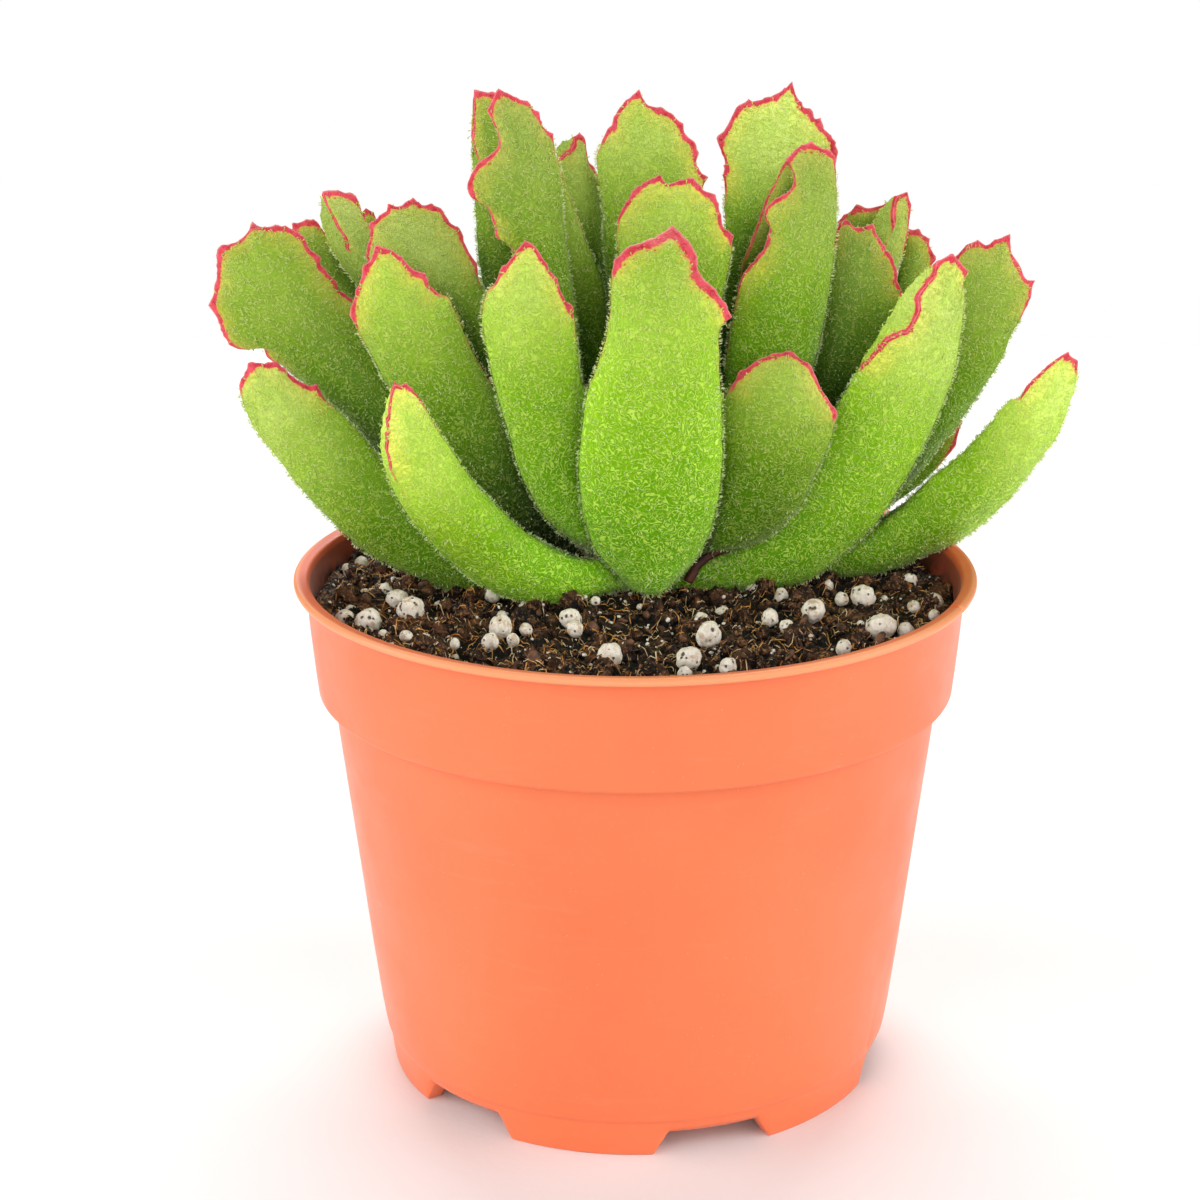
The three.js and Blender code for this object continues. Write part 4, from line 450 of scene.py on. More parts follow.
def pot_profile(zb):
    P = [(0.6, 5.05), (12.0, 5.05), (25.0, 5.05), (36.0, 5.05), (37.8, 5.25), (38.6, 6.0)]
    P += [(39.6, 16.0), (41.4, 32.0), (43.2, 46.0), (45.6, 60.6), (46.2, 61.4), (47.9, 62.2), (48.3, 63.2)]
    P += [(48.7, 67.0), (49.2, 72.0), (49.75, 77.0), (50.0, 78.8)]
    P += arc(50.75, 79.55, 0.62, 165, 90, 5)                       # inner edge of the lip
    P += [(51.3, 80.25)]
    P += arc(51.85, 79.66, 0.64, 82, -20, 7)                       # rolled outer edge
    P += [(52.36, 79.28), (52.0, 79.06), (51.2, 79.0), (50.78, 78.9), (50.62, 78.55)]
    P += [(50.46, 76.0), (50.2, 72.5), (49.85, 68.8), (49.55, 65.6), (49.3, 63.4)]
    P += arc(48.72, 62.75, 0.52, 0, -90, 5)                        # lower edge of the collar
    P += [(47.7, 62.18), (47.15, 62.0), (46.98, 61.6), (46.9, 60.9)]
    P += [(46.1, 54.0), (44.9, 44.0), (43.6, 33.0), (42.2, 21.0), (40.9, 10.6), (40.36, 7.2), (40.2, 6.35)]
    P += [(40.1, 6.08), (39.82, 5.86), (39.72, 5.6), (39.66, 5.3)]  # fine moulded line
    lo = zb
    P += [(39.5, lo + (5.3 - lo) * 0.66), (39.3, lo + (5.3 - lo) * 0.33), (39.06, lo + 0.42), (38.98, lo + 0.16), (38.78, lo + 0.0)]
    P += [(37.8, lo), (36.62, lo), (36.44, lo + 0.1), (36.38, lo + 0.1 + max(0.0, 3.8 - lo - 0.1) * 0.5), (36.34, max(lo + 0.1, 3.86))]
    P += [(35.6, 3.93), (25.0, 3.93), (12.0, 3.93), (0.6, 3.93)]
    return P


thetas = set(np.round(np.arange(0, 360, 1.0), 3))
for k in range(FOOT_N):
    for sgn in (-1, 1):
        c = FOOT_PHASE + 60 * k + sgn * 18.0
        thetas |= set(np.round((c + np.arange(-3.0, 3.01, 0.3)) % 360, 3))
thetas = np.array(sorted(thetas))
keep = [0]
for i in range(1, len(thetas)):
    if thetas[i] - thetas[keep[-1]] > 0.14:
        keep.append(i)
thetas = thetas[keep]
base = pot_profile(0.0)
NP = len(base)
V = np.zeros((len(thetas), NP, 3))
for i, th in enumerate(thetas):
    a = math.radians(th)
    pr = np.array(pot_profile(foot_base(th)))
    s, c = math.sin(a), -math.cos(a)
    # thin-walled moulding: very slight unevenness of the rim and wall
    wob = 0.10 * math.sin(2 * a + 0.8) + 0.05 * math.sin(5 * a + 2.0)
    k = np.clip(pr[:, 1] / RIM_H, 0, 1) ** 2
    r = pr[:, 0] - 0.12 * k + wob * k * (pr[:, 0] > 30) * 0.8
    z = pr[:, 1].copy()
    # moulding nick in the lip at the right
    dn = (th - 66.5 + 180) % 360 - 180
    nick = math.exp(-(dn / 0.28) ** 2)
    lip = (pr[:, 1] > 78.9) & (pr[:, 0] > 51.0)
    r = r - nick * 0.5 * lip
    z = z - nick * 0.28 * (pr[:, 1] > 80.0)
    # chipped spot low on the right side
    dc = (th - 64.0 + 180) % 360 - 180
    ch = math.exp(-(dc / 1.3) ** 2) * np.exp(-((pr[:, 1] - 8.6) / 1.3) ** 2) * (pr[:, 0] > 39.0) * (pr[:, 1] > 5.9)
    r = r - ch * 0.45
    V[i, :, 0], V[i, :, 1], V[i, :, 2] = r * s, r * c, z
nT = len(thetas)
idx = np.arange(nT * NP).reshape(nT, NP)
nx = np.roll(idx, -1, axis=0)
F = np.stack([idx[:, :-1], nx[:, :-1], nx[:, 1:], idx[:, 1:]], axis=-1).reshape(-1, 4)
V = V.reshape(-1, 3)
# centre discs of the floor, inside and below
tri = []
c_in, c_out = len(V), len(V) + 1
V = np.vstack([V, [[0, 0, 5.05], [0, 0, 3.93]]])
F2 = [[c_in, nx[i, 0], idx[i, 0], idx[i, 0]] for i in range(0)]
T1 = np.array([[c_in, nx[i, 0], idx[i, 0]] for i in range(nT)] + [[c_out, idx[i, NP - 1], nx[i, NP - 1]] for i in range(nT)])
Fq = np.vstack([F[:, [0, 1, 2]], F[:, [0, 2, 3]], T1])
flag = np.r_[np.tile([1.0] * 17 + [0.0] * (NP - 17), nT), 1.0, 0.0]
pot = make("pot_shell", V, Fq[:, ::-1], MAT_POT, attrs={"inside": flag}, node="pot")

# ------------------------------------------------------------------ potting mix
SOIL_Z = 74.8
R_SOIL = 49.35


def soil_h(x, y):
    base = 0.45 * math.sin(x * 0.31 + 1.3) * math.cos(y * 0.27 - 0.6) + 0.35 * math.sin(x * 0.13 - y * 0.21 + 2.1)
    a = noise.noise(Vector((x * 0.23, y * 0.23, 3.1)))
    b = noise.noise(Vector((x * 0.62, y * 0.62, 7.7)))
    c = noise.noise(Vector((x * 1.7, y * 1.7, 1.9)))
    rim = 1.1 * min(max((math.hypot(x, y) - 34.0) / 14.0, 0.0), 1.0) + 0.9 * math.exp(-((x + 42) ** 2 + (y - 6) ** 2) / 300.0)
    return SOIL_Z - 0.7 + rim + 0.7 * base + 1.3 * a + 1.25 * b + 0.6 * c


nr, na = 84, 330
V = [(0.0, 0.0, soil_h(0, 0))]
for i in range(1, nr + 1):
    r = R_SOIL * i / nr
    for j in range(na):
        q = 2 * math.pi * (j + 0.5 * (i % 2)) / na
        x, y = r * math.cos(q), r * math.sin(q)
        V.append((x, y, soil_h(x, y) - (0.6 if i == nr else 0.0)))
# skirt and bottom so that the plug is a closed body
prof = [(49.0, 70.0), (48.0, 63.6), (45.6, 60.4), (42.0, 40.0), (39.2, 16.0), (37.6, 5.6)]
for r, z in prof:
    for j in range(na):
        q = 2 * math.pi * (j + 0.5 * (nr % 2)) / na
        V.append((min(r, 49.2) * math.cos(q), min(r, 49.2) * math.sin(q), z))
F = []
for i in range(nr + len(prof)):
    if i == 0:
        F += [(0, 1 + j, 1 + (j + 1) % na) for j in range(na)]
        continue
    a0, b0 = 1 + (i - 1) * na, 1 + i * na
    odd = (i % 2 == 1 and i < nr)
    for j in range(na):
        j2 = (j + 1) % na
        if i >= nr:
            F += [(a0 + j, b0 + j, b0 + j2), (a0 + j, b0 + j2, a0 + j2)]
        elif odd:   # row i is shifted by half a step, row i+1 isn't
            F += [(a0 + j, b0 + j, b0 + j2), (a0 + j, b0 + j2, a0 + j2)]
        else:
            F += [(a0 + j, b0 + j, a0 + j2), (a0 + j2, b0 + j, b0 + j2)]
last = 1 + (nr + len(prof) - 1) * na
ci = len(V)
V.append((0, 0, 5.6))
F += [(ci, last + (j + 1) % na, last + j) for j in range(na)]
make("mix_body", V, F, MAT_SOIL, node="potting_mix")


def ico(sub):
    import bmesh
    bm = bmesh.new()
    bmesh.ops.create_icosphere(bm, subdivisions=sub, radius=1.0)
    v = np.array([x.co[:] for x in bm.verts])
    f = np.array([[q.index for q in t.verts] for t in bm.faces])
    bm.free()
    return v, f


ICO = {k: ico(k) for k in (1, 2, 3, 4)}


def lumps(specs, sub, rough, seed, flat=(0.75, 1.1), fine=1.4):
    """specs: x, y, z, radius -> one mesh of many rough lumps"""
    v0, f0 = ICO[sub]
    rng = np.random.default_rng(seed)
    Vs, Fs, off = [], [], 0
    for (x, y, z, r) in specs:
        ax = rng.uniform(flat[0], flat[1], 3)
        ang = rng.uniform(0, 2 * math.pi, 3)
        cx, sx, cy, sy, cz, sz = (f(a) for a in ang for f in (math.cos, math.sin))
        R = np.array([[cy * cz, -cy * sz, sy], [sx * sy * cz + cx * sz, -sx * sy * sz + cx * cz, -sx * cy], [-cx * sy * cz + sx * sz, cx * sy * sz + sx * cz, cx * cy]])
        s = rng.uniform(0, 50)
        d = np.array([noise.fractal(Vector((p[0] * fine + s, p[1] * fine, p[2] * fine - s)), 0.8, 2.1, 4) for p in v0])
        w = v0 * (1 + rough * d)[:, None] * ax * r
        Vs.append(w @ R.T + np.array([x, y, z]))
        Fs.append(f0 + off)
        off += len(v0)
    return np.vstack(Vs), np.vstack(Fs)


PERL = [
  (-36.43, -3.20, 75.86, 1.69),
  (-33.97, -8.99, 75.99, 1.97),
  (-39.94, -14.70, 75.97, 1.94),
  (-19.96, -17.03, 75.97, 1.93),
  (-9.66, -12.88, 75.84, 1.65),
  (-3.66, -29.44, 75.88, 1.73),
  (7.69, -31.36, 75.94, 1.86),
  (10.84, -20.71, 75.96, 1.91),
  (13.21, -33.82, 75.74, 1.42),
  (35.00, -2.42, 75.93, 1.84),
  (36.47, -17.23, 76.04, 2.08),
  (26.88, -9.26, 75.92, 1.81),
]
PERL_SMALL = [
  (-43.70, -11.68, 75.60, 1.51),
  (-21.31, -22.62, 75.53, 1.32),
  (-18.00, -21.37, 75.41, 1.03),
  (-8.98, -16.67, 75.54, 1.34),
  (-47.12, 18.25, 75.52, 1.29),
  (-47.98, 12.73, 75.38, 0.95),
  (-22.02, -0.07, 75.49, 1.24),
  (-16.26, -16.78, 75.42, 1.04),
  (-33.88, -19.55, 75.41, 1.03),
  (-37.34, -18.92, 75.35, 0.89),
  (-26.42, -23.01, 75.35, 0.88),
  (20.26, -11.68, 75.60, 1.51),
  (31.81, -2.07, 75.49, 1.23),
  (42.52, -5.82, 75.43, 1.07),
  (30.39, -25.31, 75.52, 1.31),
  (22.61, -15.56, 75.48, 1.19),
  (40.21, -17.13, 75.53, 1.34),
  (45.79, -3.74, 75.55, 1.38),
  (45.18, -9.52, 75.36, 0.91),
  (7.04, -35.84, 75.40, 0.99),
]


def near_perlite(x, y, r):
    return any((x - p[0]) ** 2 + (y - p[1]) ** 2 < (p[3] * 0.8 + r * 0.75) ** 2 for p in PERL + PERL_SMALL)


rng = np.random.default_rng(11)
clods, crumbs, dust = [], [], []
tries = 0
while len(clods) < 250 and tries < 8000:
    tries += 1
    q, rr = rng.uniform(0, 2 * math.pi), 46.5 * math.sqrt(rng.uniform())
    x, y, r = rr * math.cos(q), rr * math.sin(q), rng.uniform(0.9, 2.3) * (1.0 if rng.uniform() < 0.7 else 0.75)
    if rr + r > 48.3 or near_perlite(x, y, r):
        continue
    if any((x - c[0]) ** 2 + (y - c[1]) ** 2 < (0.62 * (r + c[3])) ** 2 for c in clods):
        continue
    clods.append((x, y, soil_h(x, y) + r * rng.uniform(0.05, 0.45), r))
while len(crumbs) < 620:
    q, rr = rng.uniform(0, 2 * math.pi), 48.4 * math.sqrt(rng.uniform())
    x, y, r = rr * math.cos(q), rr * math.sin(q), rng.uniform(0.3, 0.85)
    if near_perlite(x, y, r * 0.4):
        continue
    z = soil_h(x, y)
    for c in clods:
        d2 = (x - c[0]) ** 2 + (y - c[1]) ** 2
        if d2 < c[3] ** 2:
            z = max(z, c[2] + 0.85 * math.sqrt(c[3] ** 2 - d2))
    crumbs.append((x, y, z + 0.1 * r, r))
Vc, Fc = lumps(clods, 3, 0.72, 5, (0.6, 1.1), 2.1)
make("mix_clods", Vc, Fc, MAT_SOIL)
Vc, Fc = lumps(crumbs, 2, 0.7, 6, (0.5, 1.2))
make("mix_crumbs", Vc, Fc, MAT_SOIL, smooth=False)


def surface_z(x, y):
    z = soil_h(x, y)
    for c in clods:
        d2 = (x - c[0]) ** 2 + (y - c[1]) ** 2
        if d2 < c[3] ** 2:
            z = max(z, c[2] + 0.8 * math.sqrt(c[3] ** 2 - d2))
    return z


def fibres(count, seed, len0, len1, w0, w1):
    rng = np.random.default_rng(seed)
    V, F = [], []
    for _ in range(count):
        q, rr = rng.uniform(0, 2 * math.pi), 46.8 * math.sqrt(rng.uniform())
        x, y = rr * math.cos(q), rr * math.sin(q)
        L, w = rng.uniform(len0, len1), rng.uniform(w0, w1)
        d, bend = rng.uniform(0, 2 * math.pi), rng.uniform(-2.4, 2.4)
        n = 3
        pts = []
        px, py = x, y
        for i in range(n + 1):
            pts.append((px, py, surface_z(px, py) + 0.12 + 0.25 * rng.uniform() + 0.1 * i * rng.uniform(-1, 1)))
            d += bend / n
            px += math.cos(d) * L / n
            py += math.sin(d) * L / n
            if math.hypot(px, py) > 48.3:
                px, py = px * 0.97, py * 0.97
        b = len(V)
        for i, (ax, ay, az) in enumerate(pts):
            ww = w * (1 - 0.5 * abs(2 * i / n - 1))
            nxp = pts[min(i + 1, n)]
            prv = pts[max(i - 1, 0)]
            tx, ty = nxp[0] - prv[0], nxp[1] - prv[1]
            m = math.hypot(tx, ty) or 1.0
            sx, sy = -ty / m * ww / 2, tx / m * ww / 2
            V += [(ax - sx, ay - sy, az), (ax + sx, ay + sy, az), (ax, ay, az + ww * 0.6)]
        for i in range(n):
            a, c = b + 3 * i, b + 3 * i + 3
            for k in range(3):
                k2 = (k + 1) % 3
                F += [(a + k, a + k2, c + k2), (a + k, c + k2, c + k)]
        F += [(b, b + 2, b + 1), (b + 3 * n, b + 3 * n + 1, b + 3 * n + 2)]
    return V, F


Vf, Ff = fibres(1250, 21, 0.8, 2.8, 0.13, 0.28)
make("mix_fibres_gold", Vf, Ff, MAT_FIB, smooth=False)
Vf, Ff = fibres(420, 22, 1.5, 6.0, 0.14, 0.42)
make("mix_fibres_dark", Vf, Ff, MAT_FIB2, smooth=False)
Vf, Ff = fibres(1150, 23, 0.5, 2.0, 0.12, 0.25)
make("mix_fibres_pale", Vf, Ff, MAT_FIB3, smooth=False)
rng = np.random.default_rng(41)
grit = []
while len(grit) < 420:
    q, rr = rng.uniform(0, 2 * math.pi), 47.9 * math.sqrt(rng.uniform())
    x, y, r = rr * math.cos(q), rr * math.sin(q), rng.uniform(0.14, 0.42)
    grit.append((x, y, surface_z(x, y) + 0.25 * r, r))
Vg, Fg = lumps(grit, 1, 0.5, 42, (0.5, 1.2))
make("mix_grit", Vg, Fg, MAT_GRIT, smooth=False)
chips = []
while len(chips) < 120:
    q, rr = rng.uniform(0, 2 * math.pi), 47.0 * math.sqrt(rng.uniform())
    x, y, r = rr * math.cos(q), rr * math.sin(q), rng.uniform(0.5, 1.5)
    if near_perlite(x, y, r * 0.5):
        continue
    chips.append((x, y, surface_z(x, y) + 0.1 * r, r))
Vg, Fg = lumps(chips, 2, 0.35, 43, (0.22, 1.1))
make("mix_bark_chips", Vg, Fg, MAT_FIB2, smooth=False)



def grains(specs, sub, seed, npit):
    """Popcorn-like grains with pits -> mesh and how deep in a pit each point is."""
    v0, f0 = ICO[sub]
    rng = np.random.default_rng(seed)
    Vs, Fs, Ps, off = [], [], [], 0
    for (x, y, z, r) in specs:
        s = rng.uniform(0, 50)
        d = np.array([0.17 * noise.noise(Vector((p[0] * 1.1 + s, p[1] * 1.1, p[2] * 1.1 - s))) + 0.09 * noise.noise(Vector((p[0] * 2.6 + s, p[1] * 2.6, p[2] * 2.6 - s))) + 0.035 * noise.noise(Vector((p[0] * 6.0 + s, p[1] * 6.0, p[2] * 6.0))) for p in v0])
        pit = np.zeros(len(v0))
        for _ in range(npit):
            c = rng.normal(size=3)
            c /= np.linalg.norm(c)
            w = rng.uniform(0.08, 0.20)
            dist = np.linalg.norm((v0 - c) * np.array([1.0, 1.0, rng.uniform(0.5, 1.0)]), axis=1)
            pit = np.maximum(pit, np.exp(-(dist / w) ** 2))
        ax = rng.uniform(0.86, 1.08, 3)
        w = v0 * (1 + d - 0.13 * pit)[:, None] * ax * r
        Vs.append(w + np.array([x, y, z]))
        Fs.append(f0 + off)
        Ps.append(pit)
        off += len(v0)
    return np.vstack(Vs), np.vstack(Fs), np.concatenate(Ps)


for i, (x, y, z, r) in enumerate(PERL):
    Vp, Fp, Pp = grains([(x, y, z, r)], 4, 100 + i, 11)
    make("perlite_grain_%02d" % (i + 1), Vp, Fp, MAT_PERL, attrs={"pit": Pp}, node="perlite_%02d" % (i + 1))
rng = np.random.default_rng(31)
small = []
for x, y, z, r in PERL_SMALL:   # kept inside the wall
    s = min(1.0, (48.4 - 0.95 * r) / max(math.hypot(x, y), 1e-6))
    small.append((x * s, y * s, z if s > 0.999 else surface_z(x * s, y * s) + 0.2 * r, r))
while len(small) < len(PERL_SMALL) + 84:
    q, rr = rng.uniform(0, 2 * math.pi), 47.0 * math.sqrt(rng.uniform())
    x, y, r = rr * math.cos(q), rr * math.sin(q), rng.uniform(0.3, 1.4)
    if -41 < y < -8 and r > 0.65:
        continue
    if any((x - c[0]) ** 2 + (y - c[1]) ** 2 < (r + c[3]) ** 2 for c in PERL + small):
        continue
    small.append((x, y, surface_z(x, y) + 0.1 * r, r))
Vp, Fp, Pp = grains(small, 3, 77, 8)
make("perlite_small", Vp, Fp, MAT_PERL, attrs={"pit": Pp})

# ------------------------------------------------------------------ stems
STEMS = [
  ("stem_centre", (5, 14, 62), (5, 15, 88), 6.5),
  ("stem_left", (-12, 16, 62), (-12, 18, 88), 5.2),
  ("stem_right", (24, 20, 62), (24, 21, 87), 5.2),
]
for k, (nm, a, b, r) in enumerate(STEMS):
    nseg, rows = 40, 46
    V, F = [], []
    for i in range(rows + 1):
        t = i / rows
        rr = r * (1.0 if t < 0.8 else 1.0 - 0.65 * ((t - 0.8) / 0.2) ** 2)
        for j in range(nseg):
            q = 2 * math.pi * j / nseg
            x, y, z = a[0] + (b[0] - a[0]) * t, a[1] + (b[1] - a[1]) * t, a[2] + (b[2] - a[2]) * t
            scar = 0.35 * max(0.0, math.sin(z * 0.9 + 2.0 * math.sin(q * 2 + k)))
            w = rr * (1 + 0.05 * noise.noise(Vector((math.cos(q) * 1.5, math.sin(q) * 1.5, z * 0.3)))) + scar - 0.2
            V.append((x + math.cos(q) * w, y + math.sin(q) * w, z))
    for i in range(rows):
        for j in range(nseg):
            j2 = (j + 1) % nseg
            F += [(i * nseg + j, i * nseg + j2, (i + 1) * nseg + j2), (i * nseg + j, (i + 1) * nseg + j2, (i + 1) * nseg + j)]
    V += [tuple(a), tuple(b)]
    F += [(len(V) - 2, (j + 1) % nseg, j) for j in range(nseg)] + [(len(V) - 1, rows * nseg + j, rows * nseg + (j + 1) % nseg) for j in range(nseg)]
    make(nm + "_skin", V, F, MAT_STEM, node=nm)

DRY = [
  (15.21, 5.00, 81.39, 0.60),
  (13.17, 4.60, 81.19, 0.80),
  (11.15, 4.20, 80.33, 1.00),
  (9.43, 3.60, 78.89, 1.10),
  (8.19, 3.20, 76.57, 1.30),
]
P = np.array(DRY)
tt = np.linspace(0, 1, len(P))
uu = np.linspace(0, 1, 26)
C = np.c_[[np.interp(uu, tt, P[:, k]) for k in range(4)]].T
for _ in range(3):
    C[1:-1] = 0.5 * C[1:-1] + 0.25 * (C[:-2] + C[2:])
V, F, nseg = [], [], 16
for i, (x, y, z, r) in enumerate(C):
    t = C[min(i + 1, 25), :3] - C[max(i - 1, 0), :3]
    t /= np.linalg.norm(t)
    u = np.cross(t, [0, 1, 0])
    u /= np.linalg.norm(u)
    v = np.cross(t, u)
    for j in range(nseg):
        q = 2 * math.pi * j / nseg
        w = 0.62 * r * (0.92 + 0.16 * abs(math.sin(2.5 * q + i * 0.12)) + 0.12 * noise.noise(Vector((i * 0.4, q, 2.0))))
        V.append(np.array([x, y, z]) + u * math.cos(q) * w + v * math.sin(q) * w)
for i in range(25):
    for j in range(nseg):
        j2 = (j + 1) % nseg
        F += [(i * nseg + j, i * nseg + j2, (i + 1) * nseg + j2), (i * nseg + j, (i + 1) * nseg + j2, (i + 1) * nseg + j)]
V += [C[0, :3], C[-1, :3]]
F += [(len(V) - 2, (j + 1) % nseg, j) for j in range(nseg)] + [(len(V) - 1, 25 * nseg + j, 25 * nseg + (j + 1) % nseg) for j in range(nseg)]
make("dry_stalk_skin", V, F, MAT_DRY, node="dry_leaf_stalk")

